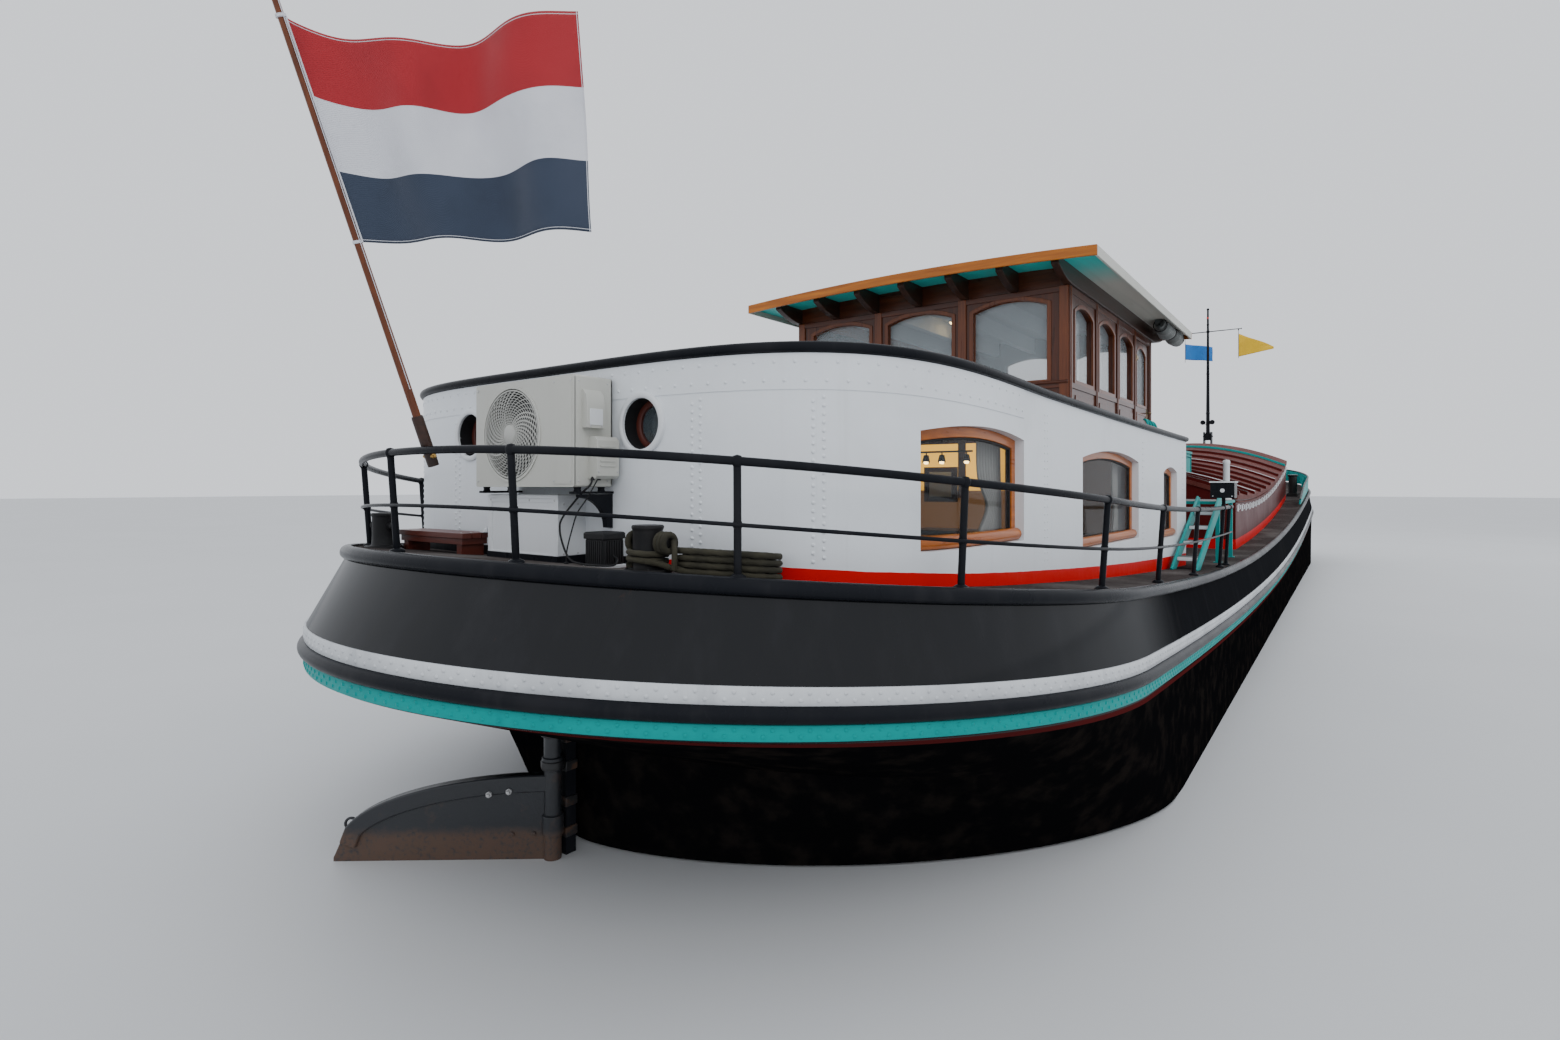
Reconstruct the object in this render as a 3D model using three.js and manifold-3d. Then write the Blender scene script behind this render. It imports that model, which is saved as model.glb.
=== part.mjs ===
// River barge turned into a live-aboard: riveted steel hull with a counter stern, stern cabin,
// wheelhouse, hatched hold and bow deck. Millimetres, +X to the bow, +Y to port, +Z up.
// The origin is on the flat bottom, on the centreline, 12.9 m forward of the stern.
import * as THREE from 'three';
import { mergeVertices } from 'three/addons/utils/BufferGeometryUtils.js';
import Module from 'manifold-3d';

const wasm = await Module();
wasm.setup();

// Driving dimensions of the hull
const LENGTH = 27300;
const STERN_X = -12900;
const BOW_X = STERN_X + LENGTH;
const WATERLINE = 950;
const SHEER = { low: -1000, aft: 3.74e-6, fore: 4.4e-6 }; // lowest at low, rise per mm squared from there
const DECK_SHEER = { low: -2500, aft: 5.3e-6, fore: 3.8e-6 };
const STRAKE_Z = WATERLINE + 830; // top of the white band at its lowest
const DECK_Z = WATERLINE + 1205; // deck edge at its lowest
const STERN_ROUND_X = -9720; // where the stern's round begins
const GAP = 0.3; // between pieces that touch

// Cabin on the stern
const CABIN = {
  aft: -11820, round: STERN_ROUND_X, front: -5600, half: 2080, halfFront: 2200, power: 4.4, wall: 100,
};
const CABIN_TOP = { low: WATERLINE + 2488, share: 0.443 }; // it follows a share of the sheer
const ROOF_CAMBER = 70;
const ROOF_THICK = 45;
const CABIN_FLOOR = 1760;

// Wheelhouse
const HOUSE = {
  aft: -7250, front: -3730, half: 1500, floor: WATERLINE + 1950, top: WATERLINE + 3910, wall: 60,
};
const SILL_Z = WATERLINE + 3050;

const solidOf = (geometry) => {
  const bare = geometry.clone();
  bare.deleteAttribute('normal');
  bare.deleteAttribute('uv');
  const merged = mergeVertices(bare, 1e-3);
  return new wasm.Manifold(new wasm.Mesh({
    numProp: 3,
    vertProperties: Float32Array.from(merged.attributes.position.array),
    triVerts: Uint32Array.from(merged.index.array),
  }));
};

const geometryOf = (solid) => {
  const mesh = solid.getMesh();
  const geometry = new THREE.BufferGeometry();
  geometry.setAttribute('position', new THREE.BufferAttribute(mesh.vertProperties, 3));
  geometry.setIndex(new THREE.BufferAttribute(mesh.triVerts, 1));
  geometry.computeVertexNormals();
  return geometry;
};

const join = (...geometries) => geometryOf(geometries.map(solidOf).reduce((all, one) => all.add(one)));
const cut = (body, ...tools) => geometryOf(
  tools.map(solidOf).reduce((left, tool) => left.subtract(tool), solidOf(body)));
const common = (a, b) => geometryOf(solidOf(a).intersect(solidOf(b)));

const box = (x0, x1, y0, y1, z0, z1) => new THREE.BoxGeometry(x1 - x0, y1 - y0, z1 - z0)
  .translate((x0 + x1) / 2, (y0 + y1) / 2, (z0 + z1) / 2);

// Round bar from one point to another
const bar = (from, to, radius, sides = 12, tip = radius) => {
  const a = new THREE.Vector3(...from);
  const b = new THREE.Vector3(...to);
  const along = b.clone().sub(a);
  const turn = new THREE.Quaternion().setFromUnitVectors(new THREE.Vector3(0, 1, 0), along.clone().normalize());
  return new THREE.CylinderGeometry(tip, radius, along.length(), sides)
    .applyQuaternion(turn).translate((a.x + b.x) / 2, (a.y + b.y) / 2, (a.z + b.z) / 2);
};

// Skin over a row of closed sections of like points, with ends or joined into a ring
const loft = (sections, ring = false) => {
  const count = sections[0].length;
  const index = [];
  const spans = ring ? sections.length : sections.length - 1;
  for (let i = 0; i < spans; i++) {
    const here = i * count;
    const next = ((i + 1) % sections.length) * count;
    for (let j = 0; j < count; j++) {
      const k = (j + 1) % count;
      index.push(here + j, here + k, next + k, here + j, next + k, next + j);
    }
  }
  if (!ring) {
    const end = (sections.length - 1) * count;
    for (let low = 0, high = count - 1; low + 1 < high; low++, high--) {
      index.push(low, high, low + 1, end + low, end + low + 1, end + high);
      if (low + 1 < high - 1) {
        index.push(low + 1, high, high - 1, end + low + 1, end + high - 1, end + high);
      }
    }
  }
  const geometry = new THREE.BufferGeometry();
  const points = sections.flat().flat();
  geometry.setAttribute('position', new THREE.BufferAttribute(new Float32Array(points), 3));
  const at = (n) => new THREE.Vector3(points[3 * n], points[3 * n + 1], points[3 * n + 2]);
  let volume = 0;
  for (let n = 0; n < index.length; n += 3) {
    volume += at(index[n]).dot(at(index[n + 1]).cross(at(index[n + 2])));
  }
  geometry.setIndex(volume < 0 ? index.reverse() : index);
  geometry.computeVertexNormals();
  return geometry;
};

const mirrored = (geometry) => {
  const copy = geometry.clone();
  const position = copy.attributes.position;
  for (let i = 0; i < position.count; i++) {
    position.setY(i, -position.getY(i));
  }
  if (copy.index) {
    copy.setIndex([...copy.index.array].reverse());
    return copy;
  }
  const flat = [...position.array];
  for (let i = 0; i < flat.length; i += 9) {
    for (let k = 0; k < 3; k++) {
      [flat[i + k], flat[i + 6 + k]] = [flat[i + 6 + k], flat[i + k]];
    }
  }
  copy.setAttribute('position', new THREE.BufferAttribute(new Float32Array(flat), 3));
  return copy;
};

const barge = new THREE.Group();
const addPiece = (name, geometry, finish, place = [0, 0, 0], turn = [0, 0, 0]) => {
  const material = new THREE.MeshStandardMaterial(finish);
  const mesh = new THREE.Mesh(geometry, material);
  mesh.name = name;
  mesh.position.set(...place);
  mesh.rotation.set(...turn);
  barge.add(mesh);
  return mesh;
};

// Finishes
const BLACK = { color: 0x15161a, roughness: 0.35, metalness: 0.1 };
const WHITE = { color: 0xe6e8ea, roughness: 0.4, metalness: 0 };
const TEAL = { color: 0x12a5a0, roughness: 0.4, metalness: 0 };
const GREY = { color: 0x7d838a, roughness: 0.7, metalness: 0 };
const CREAM = { color: 0xd8d6cc, roughness: 0.45, metalness: 0 };
const VARNISH = { color: 0x8a4a24, roughness: 0.3, metalness: 0 };
const DARK_WOOD = { color: 0x3d2015, roughness: 0.4, metalness: 0 };
const HATCH_RED = { color: 0x6b2320, roughness: 0.5, metalness: 0 };
const HATCH_TOP = { color: 0x9c7570, roughness: 0.6, metalness: 0 };
const GLASS = { color: 0x9db4bb, roughness: 0.05, metalness: 0 };
const BRONZE = { color: 0xa07a3c, roughness: 0.35, metalness: 0.9 };
const CLOTH = { color: 0xd9d9d9, roughness: 0.9, metalness: 0 };
const CANVAS = { color: 0x6d7372, roughness: 0.95, metalness: 0 };
const ROPE = { color: 0x2f2e22, roughness: 0.95, metalness: 0 };

const riseOf = ({ low, aft, fore }, x) => (x < low ? aft : fore) * (x - low) ** 2;
const sheer = (x) => riseOf(SHEER, x);
const deckAt = (x) => DECK_Z + riseOf(DECK_SHEER, x);
const cabinTop = (x) => CABIN_TOP.low + CABIN_TOP.share * sheer(x);

// Half of a level line of the hull, from the stern over starboard to the bow, as [x, half width]
const STERN_STEPS = 10;
const SIDE_STEPS = 7;
const BOW_STEPS = 8;
const halfLine = ({ half, stern, run, sternPower, bow, entry, bowPower }) => {
  const points = [];
  for (let i = 0; i < STERN_STEPS; i++) {
    const angle = (Math.PI / 2) * (i / STERN_STEPS);
    const power = 2 / sternPower;
    points.push([stern + run - run * Math.cos(angle) ** power, half * Math.sin(angle) ** power]);
  }
  const from = stern + run;
  const to = bow - entry;
  for (let i = 0; i < SIDE_STEPS; i++) {
    points.push([from + (to - from) * (i / SIDE_STEPS), half]);
  }
  for (let i = 0; i <= BOW_STEPS; i++) {
    const angle = (Math.PI / 2) * (i / BOW_STEPS);
    points.push([to + entry * Math.sin(angle) ** (2 / bowPower), half * Math.cos(angle) ** (2 / bowPower)]);
  }
  points[0][1] = 0;
  points[points.length - 1][1] = 0;
  return points;
};
const wholeLine = (row) => {
  const half = halfLine(row);
  const starboard = half.map(([x, y]) => [x, -y]);
  const port = half.slice(1, -1).reverse();
  return [...starboard, ...port];
};

// Lines of the hull. z is the height at the low point of the sheer, rise the share of the sheer.
const HULL_LINES = [
  { name: 'bottom', z: 0, rise: 0, half: 2330,
    stern: -9700, run: 3600, sternPower: 1.5, bow: BOW_X - 1400, entry: 3300, bowPower: 1.9 },
  { name: 'bilge', z: 70, rise: 0, half: 2520,
    stern: -10050, run: 3500, sternPower: 1.6, bow: BOW_X - 1000, entry: 3500, bowPower: 1.9 },
  { name: 'turn', z: 240, rise: 0, half: 2630,
    stern: -10350, run: 3300, sternPower: 1.6, bow: BOW_X - 650, entry: 3600, bowPower: 2 },
  { name: 'side', z: 560, rise: 0, half: 2645,
    stern: -10560, run: 3100, sternPower: 1.7, bow: BOW_X - 400, entry: 3700, bowPower: 2 },
  { name: 'arch', z: 905, rise: 0, half: 2650,
    stern: -10680, run: 2800, sternPower: 1.8, bow: BOW_X - 280, entry: 3700, bowPower: 2.1 },
  { name: 'water', z: WATERLINE + 20, rise: 0, half: 2650,
    stern: -11560, run: 2700, sternPower: 1.6, bow: BOW_X - 260, entry: 3700, bowPower: 2.1 },
  { name: 'knuckle', z: 1450, rise: 0.32, half: 2652,
    stern: -11640, run: 2100, sternPower: 1.9, bow: BOW_X - 180, entry: 3700, bowPower: 2.1 },
  { name: 'skirt', z: STRAKE_Z - 225, rise: 1, half: 2660,
    stern: STERN_X + 40, run: 3140, sternPower: 2, bow: BOW_X - 60, entry: 3700, bowPower: 2.15 },
  { name: 'strake', z: STRAKE_Z, rise: 1, half: 2660,
    stern: STERN_X + 30, run: 3150, sternPower: 2, bow: BOW_X - 30, entry: 3700, bowPower: 2.2 },
  { name: 'deck', z: DECK_Z, rise: 1, half: 2580,
    stern: -12636, run: 2916, sternPower: 2, bow: BOW_X - 50, entry: 3650, bowPower: 2.25 },
];
const heightOn = (row, x) => (row.name === 'deck' ? deckAt(x) : row.z + row.rise * sheer(x));
const lineNamed = (name) => HULL_LINES.find((row) => row.name === name);
const strakeLine = lineNamed('strake');
const deckLine = lineNamed('deck');

const ENGINE_WELL = { x0: -6900, x1: -4100, y: 900, z: 260 };
const HOLD_WELL = { x0: -2250, x1: 8800, y: 2000, z: 260 };
const ENGINE = { length: 1250, width: 720, height: 1050 };
const SHAFT_Z = 480;
const SHAFT_RADIUS = 38;
const PROPELLER_X = -11020;
const RUDDER_X = -11780;

function addHull() {
  const sections = HULL_LINES.map((row) => wholeLine(row).map(([x, y]) => [x, y, heightOn(row, x)]));
  const body = loft(sections);
  const cabinWell = box(-10500, HOUSE.aft - 100, -1650, 1650, CABIN_FLOOR, 4000);
  const engineWell = box(ENGINE_WELL.x0, ENGINE_WELL.x1, -ENGINE_WELL.y, ENGINE_WELL.y, ENGINE_WELL.z, 4000);
  const holdWell = box(HOLD_WELL.x0, HOLD_WELL.x1, -HOLD_WELL.y, HOLD_WELL.y, HOLD_WELL.z, 4000);
  const shaftBore = bar([-11500, 0, SHAFT_Z], [-9600, 0, SHAFT_Z], SHAFT_RADIUS + 1.2, 24);
  const postNotch = box(-11718 - GAP, -11650 + GAP, -38 - GAP, 38 + GAP, 0, 1790 + GAP);
  const soleNotch = box(-11900, -9900 + GAP, -48 - GAP, 48 + GAP, -10, 100 + GAP);
  const stockBore = bar([RUDDER_X, 0, 800], [RUDDER_X, 0, 1861], RUDDER.stock + 1.4, 20);
  const hollows = [cabinWell, engineWell, holdWell, shaftBore, postNotch, soleNotch, stockBore];
  addPiece('hull', cut(body, ...hollows), BLACK);
}

// Strip laid round the hull on a level line: out and up are the corners of its section
function girdle(row, dropTop, corners) {
  const line = wholeLine(row);
  const count = line.length;
  const sections = line.map(([x, y], i) => {
    const before = line[(i + count - 1) % count];
    const after = line[(i + 1) % count];
    const along = new THREE.Vector2(after[0] - before[0], after[1] - before[1]).normalize();
    const out = [along.y, -along.x];
    const sign = out[0] * x + out[1] * y > 0 ? 1 : -1;
    const z = heightOn(row, x) - dropTop;
    return corners.map(([reach, up]) => [x + sign * out[0] * reach, y + sign * out[1] * reach, z + up]);
  });
  return loft(sections, true);
}

const BAND = { white: 75, black: 75, teal: 65, plate: 10, proud: 42 };
// Rounded bar along the outside of the deck's edge: reach outward and height over the deck of its corners
const EDGE = [
  [GAP, 0], [GAP, 12], [18, 16], [38, 10], [52, -4], [57, -22], [54, -40], [42, -54], [36, -54],
];
function addBands() {
  const plate = (height) => [[GAP, 0], [GAP + BAND.plate, 0], [GAP + BAND.plate, -height], [GAP, -height]];
  const round = [];
  for (let i = 0; i <= 4; i++) {
    const angle = (Math.PI * i) / 4;
    round.push([GAP + BAND.proud * Math.sin(angle), (BAND.black / 2) * Math.cos(angle) - BAND.black / 2]);
  }
  addPiece('white_band', girdle(strakeLine, 0, plate(BAND.white - GAP)), WHITE);
  addPiece('rubbing_strake', girdle(strakeLine, BAND.white, round), BLACK);
  addPiece('teal_band', girdle(strakeLine, BAND.white + BAND.black + GAP, plate(BAND.teal)), TEAL);
  addPiece('deck_edge', girdle(deckLine, 0, EDGE), BLACK);
}

// Everything below the deck surface lifted by a little: what stands on the deck is cut by it
const belowDeck = (lift = GAP) => loft([
  wholeLine(deckLine).map(([x, y]) => [x, y, 0]),
  wholeLine(deckLine).map(([x, y]) => [x, y, deckAt(x) + lift]),
]);
const onDeck = (geometry) => cut(geometry, belowDeck());

// Outline with an arched head, centred on 0 at its foot
const archShape = (width, spring, rise) => {
  const shape = new THREE.Shape();
  shape.moveTo(-width / 2, 0);
  shape.lineTo(width / 2, 0);
  shape.lineTo(width / 2, spring);
  const steps = 8;
  for (let i = 1; i < steps; i++) {
    const across = width / 2 - (width * i) / steps;
    shape.lineTo(across, spring + rise * (1 - (2 * across / width) ** 2));
  }
  shape.lineTo(-width / 2, spring);
  shape.closePath();
  return shape;
};
// Arched block standing at a place: facing 'side' has its width along X, 'end' along Y
const archBlock = (facing, centre, foot, width, spring, rise, from, to) => {
  const shape = archShape(width, spring, rise);
  const block = new THREE.ExtrudeGeometry(shape, { depth: to - from, bevelEnabled: false });
  block.rotateX(Math.PI / 2);
  if (facing === 'side') {
    return block.translate(centre, to, foot);
  }
  return block.rotateZ(-Math.PI / 2).translate(to, centre, foot);
};

// Half of the cabin's plan from the stern to its front, as [x, half width]
const CABIN_STEPS = 12;
const SEAM_STEP = 5; // where the stern plate meets the side plates
const cabinLine = (inset) => {
  const run = CABIN.round - CABIN.aft - inset;
  const half = CABIN.half - inset;
  const points = [];
  for (let i = 0; i < CABIN_STEPS; i++) {
    const angle = (Math.PI / 2) * (i / CABIN_STEPS);
    const power = 2 / CABIN.power;
    points.push([CABIN.round - run * Math.cos(angle) ** power, half * Math.sin(angle) ** power]);
  }
  const widen = (CABIN.halfFront - CABIN.half) / (CABIN.front - CABIN.round);
  for (const x of [CABIN.round, -8000, -6800, CABIN.front]) {
    points.push([x, half + widen * (x - CABIN.round)]);
  }
  return points;
};
// Everything inside the cabin's plan: what stands against its wall is cut by it
const besideCabin = (geometry) => {
  const half = cabinLine(-GAP);
  const plan = [...half.slice(1).reverse().map(([x, y]) => [x, -y]), ...half];
  return cut(geometry, loft([1900, 4000].map((z) => plan.map(([x, y]) => [x, y, z]))));
};
const cabinHalfAt = (x, inset) => {
  if (x < CABIN.round) {
    const share = Math.min(1, (CABIN.round - x) / (CABIN.round - CABIN.aft - inset));
    return (CABIN.half - inset) * (1 - share ** CABIN.power) ** (1 / CABIN.power);
  }
  const widen = (CABIN.halfFront - CABIN.half) / (CABIN.front - CABIN.round);
  return CABIN.half - inset + widen * (x - CABIN.round);
};

// Side windows of the cabin: x of the middle, foot and size of the opening, rise of its arched head
const CABIN_WINDOWS = [
  { name: 'aft', x: -10655, width: 1090, foot: WATERLINE + 1765, spring: 570, rise: 45 },
  { name: 'middle', x: -8250, width: 1500, foot: WATERLINE + 1640, spring: 630, rise: 65 },
  { name: 'fore', x: -6305, width: 570, foot: WATERLINE + 1585, spring: 615, rise: 50 },
];
const WINDOW = { frame: 55, set: 52, depth: 40, pane: 8 };
const PORTHOLE = { y: 750, z: WATERLINE + 2385, radius: 128 };

function addCabinWalls() {
  const outer = cabinLine(0);
  const inner = cabinLine(CABIN.wall);
  const section = (i, sign) => [
    [outer[i][0], sign * outer[i][1], 2000],
    [outer[i][0], sign * outer[i][1], cabinTop(outer[i][0])],
    [inner[i][0], sign * inner[i][1], cabinTop(inner[i][0])],
    [inner[i][0], sign * inner[i][1], 2000],
  ];
  const stern = [];
  for (let i = -SEAM_STEP; i <= SEAM_STEP; i++) {
    stern.push(section(Math.abs(i), i < 0 ? -1 : 1));
  }
  const holes = [-PORTHOLE.y, PORTHOLE.y].map((y) => bar(
    [CABIN.aft - 200, y, PORTHOLE.z], [CABIN.aft + 400, y, PORTHOLE.z], PORTHOLE.radius, 24));
  addPiece('cabin_wall_stern', cut(onDeck(loft(stern)), ...holes), WHITE);
  const side = [];
  for (let i = SEAM_STEP; i < outer.length; i++) {
    side.push(section(i, -1));
  }
  side[0] = side[0].map(([x, y, z]) => [x + 0.4, y, z]);
  const openings = CABIN_WINDOWS.map(({ x, width, foot, spring, rise }) => archBlock(
    'side', x, foot, width, spring, rise, -2600, -1500));
  const front = box(CABIN.front - 60, CABIN.front, -2150, -HOUSE.half - GAP, 2000, cabinTop(CABIN.front));
  const starboard = cut(onDeck(join(loft(side), front)), ...openings);
  addPiece('cabin_wall_starboard', starboard, WHITE);
  addPiece('cabin_wall_port', mirrored(starboard), WHITE);
}

// Frame with its pane, standing in a wall's opening and following the wall's line
function addCabinWindows() {
  for (const { name, x, width, foot, spring, rise } of CABIN_WINDOWS) {
    const wide = width - 2 * GAP;
    const high = spring - 2 * GAP;
    const inner = wide - 2 * WINDOW.frame;
    const block = archBlock('side', x, foot + GAP, wide, high, rise, -2600, -1500);
    const lower = high - 2 * WINDOW.frame;
    const light = archBlock('side', x, foot + WINDOW.frame, inner, lower, rise, -2600, -1500);
    const slice = (near, far, from, to) => {
      const sections = [];
      for (let i = 0; i <= 4; i++) {
        const at = from + ((to - from) * i) / 4;
        sections.push([
          [at, -cabinHalfAt(at, near), foot - 50], [at, -cabinHalfAt(at, near), foot + 800],
          [at, -cabinHalfAt(at, far), foot + 800], [at, -cabinHalfAt(at, far), foot - 50],
        ]);
      }
      return loft(sections);
    };
    const from = x - width / 2 - 50;
    const to = x + width / 2 + 50;
    const frame = cut(common(block, slice(WINDOW.set, WINDOW.set + WINDOW.depth, from, to)), light);
    const middle = WINDOW.set + WINDOW.depth / 2;
    const pane = common(block, slice(middle - WINDOW.pane / 2, middle + WINDOW.pane / 2, from, to));
    const whole = join(frame, pane);
    addPiece(`cabin_window_starboard_${name}`, whole, VARNISH);
    addPiece(`cabin_window_port_${name}`, mirrored(whole), VARNISH);
  }
}

const RIM = { radius: 28, sides: 8, middle: 26.17 };
function addCabinTop() {
  const half = cabinLine(0);
  const line = [...half.slice().reverse().map(([x, y]) => [x, -y]), ...half.slice(1)];
  const sections = line.map(([x, y], i) => {
    const before = line[Math.max(0, i - 1)];
    const after = line[Math.min(line.length - 1, i + 1)];
    const along = new THREE.Vector2(after[0] - before[0], after[1] - before[1]).normalize();
    const circle = [];
    for (let k = 0; k < RIM.sides; k++) {
      const angle = (2 * Math.PI * (k + 0.5)) / RIM.sides;
      const reach = RIM.radius * Math.cos(angle);
      const at = x + along.y * reach;
      circle.push([at, y - along.x * reach, cabinTop(at) + RIM.middle + RIM.radius * Math.sin(angle)]);
    }
    return circle;
  });
  addPiece('cabin_rim', loft(sections), BLACK);

  const stations = [-11786, -11760, -11700, -11550, -11250, -10800, -10550, CABIN.round, -8000, CABIN.front];
  const inset = RIM.radius + 4;
  const slabs = stations.map((x) => {
    const width = cabinHalfAt(x, inset);
    const rise = ROOF_CAMBER * (width / CABIN.half) ** 2;
    const top = [];
    const under = [];
    for (let k = -5; k <= 5; k++) {
      const y = (width * k) / 5;
      const z = cabinTop(x) + GAP + rise * (1 - (k / 5) ** 2);
      under.push([x, y, z]);
      top.unshift([x, y, z + ROOF_THICK]);
    }
    return [...under, ...top];
  });
  const hole = box(HOUSE.aft - GAP, 0, -HOUSE.half - GAP, HOUSE.half + GAP, 3000, 5000);
  addPiece('cabin_roof', cut(loft(slabs), hole), CREAM);
}

function addCasingAndEngine() {
  const shell = box(HOUSE.aft, HOUSE.front, -HOUSE.half, HOUSE.half, 2150, HOUSE.floor - 40 - GAP);
  const inside = box(HOUSE.aft + 50, HOUSE.front - 50, -HOUSE.half + 50, HOUSE.half - 50, 2000, HOUSE.floor);
  addPiece('engine_casing', onDeck(cut(shell, inside)), WHITE);
  const planks = box(HOUSE.aft, HOUSE.front, -HOUSE.half, HOUSE.half, HOUSE.floor - 40, HOUSE.floor);
  addPiece('wheelhouse_floor', planks, DARK_WOOD);
  const middle = (ENGINE_WELL.x0 + ENGINE_WELL.x1) / 2;
  const reach = ENGINE.length / 2;
  const aside = ENGINE.width / 2;
  addPiece('engine', box(
    middle - reach, middle + reach, -aside, aside, ENGINE_WELL.z + GAP, ENGINE_WELL.z + ENGINE.height), GREY);
}

// Lights of the wheelhouse: middle of each, width
const END_LIGHTS = [-945, 0, 945];
const END_LIGHT_WIDTH = 738;
const SIDE_LIGHTS = [-6750, -5900, -5050];
const SIDE_LIGHT_WIDTH = 620;
const LIGHT = { endSpring: 715, sideSpring: 650, rise: 75, glass: 6 };
const DOOR = { aft: -4600, front: -3860, head: WATERLINE + 3830, light: 480, clear: 5, clearFront: 8 };
const HINGE = {
  x: -4597.5, y: -1511, pin: 6, bore: 6.35, knuckle: 10, lug: 30, strap: 45, levels: [3150, 4500],
};

function addWheelhouse() {
  const foot = HOUSE.floor + GAP;
  const endWall = (x) => cut(
    box(x, x + HOUSE.wall, -HOUSE.half, HOUSE.half, foot, HOUSE.top),
    ...END_LIGHTS.map((y) => archBlock(
      'end', y, SILL_Z, END_LIGHT_WIDTH, LIGHT.endSpring, LIGHT.rise, x - 50, x + HOUSE.wall + 50)));
  addPiece('wheelhouse_wall_aft', endWall(HOUSE.aft), VARNISH);
  const glassFoot = SILL_Z - 30;
  const glassHead = SILL_Z + LIGHT.endSpring + LIGHT.rise + 20;
  const frontFace = HOUSE.front - HOUSE.wall;
  const frontGlass = box(frontFace - LIGHT.glass, frontFace, -1340, 1340, glassFoot, glassHead);
  addPiece('wheelhouse_wall_front', join(endWall(frontFace), frontGlass), VARNISH);
  const sideFrom = HOUSE.aft + HOUSE.wall + GAP;
  const sideTo = HOUSE.front - HOUSE.wall - GAP;
  const inner = HOUSE.half - HOUSE.wall;
  const sideWall = cut(
    box(sideFrom, sideTo, -HOUSE.half, -inner, foot, HOUSE.top),
    ...SIDE_LIGHTS.map((x) => archBlock(
      'side', x, SILL_Z, SIDE_LIGHT_WIDTH, LIGHT.sideSpring, LIGHT.rise, -1600, -1300)),
    box(DOOR.aft, DOOR.front, -1600, -1300, 2000, DOOR.head));
  const lugs = HINGE.levels.map((z) => cut(
    join(
      box(HINGE.x - 27, HINGE.x, HINGE.y - HINGE.knuckle, -HOUSE.half + 1, z, z + HINGE.lug),
      bar([HINGE.x, HINGE.y, z], [HINGE.x, HINGE.y, z + HINGE.lug], HINGE.knuckle, 16)),
    box(DOOR.aft, 0, -HOUSE.half, 0, z - 1, z + HINGE.lug + 1),
    bar([HINGE.x, HINGE.y, z - 10], [HINGE.x, HINGE.y, z + HINGE.lug + 10], HINGE.bore, 16)));
  const wall = join(sideWall, ...lugs);
  addPiece('wheelhouse_wall_starboard', wall, VARNISH);
  addPiece('wheelhouse_wall_port', mirrored(wall), VARNISH);

  const aftFace = HOUSE.aft + HOUSE.wall + GAP;
  const sideFace = inner - GAP;
  const aftGlass = box(aftFace, aftFace + LIGHT.glass, -sideFace, sideFace, glassFoot, glassHead);
  const sideGlass = box(aftFace, -4700, -sideFace, -sideFace + LIGHT.glass, glassFoot, glassHead - 40);
  addPiece('wheelhouse_glass', join(aftGlass, sideGlass, mirrored(sideGlass)), GLASS);

  const leaf = box(
    DOOR.aft + DOOR.clear, DOOR.front - DOOR.clearFront, -HOUSE.half + 8, -inner - 8,
    foot + DOOR.clear, DOOR.head - DOOR.clear);
  const middle = (DOOR.aft + DOOR.front) / 2;
  const light = archBlock('side', middle, SILL_Z, DOOR.light, LIGHT.sideSpring - 20, LIGHT.rise, -1600, -1300);
  const lap = DOOR.light / 2 + 20;
  const pane = box(middle - lap, middle + lap, -1474, -1468, SILL_Z - 20, SILL_Z + 745);
  const straps = HINGE.levels.flatMap((level) => {
    const z = level + HINGE.lug + GAP;
    return [
      box(HINGE.x + 7.5, HINGE.x + 130, HINGE.y - HINGE.knuckle, -HOUSE.half + 10, z, z + HINGE.strap),
      box(HINGE.x, HINGE.x + 8, HINGE.y - HINGE.knuckle, HINGE.y + HINGE.knuckle, z, z + HINGE.strap),
      bar([HINGE.x, HINGE.y, z], [HINGE.x, HINGE.y, z + HINGE.strap], HINGE.knuckle, 16),
      bar([HINGE.x, HINGE.y, level + 1], [HINGE.x, HINGE.y, z + 5], HINGE.pin, 16)];
  });
  const door = join(cut(leaf, light), pane, ...straps);
  addPiece('wheelhouse_door_starboard', door, VARNISH);
  addPiece('wheelhouse_door_port', mirrored(door), VARNISH);
}

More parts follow.
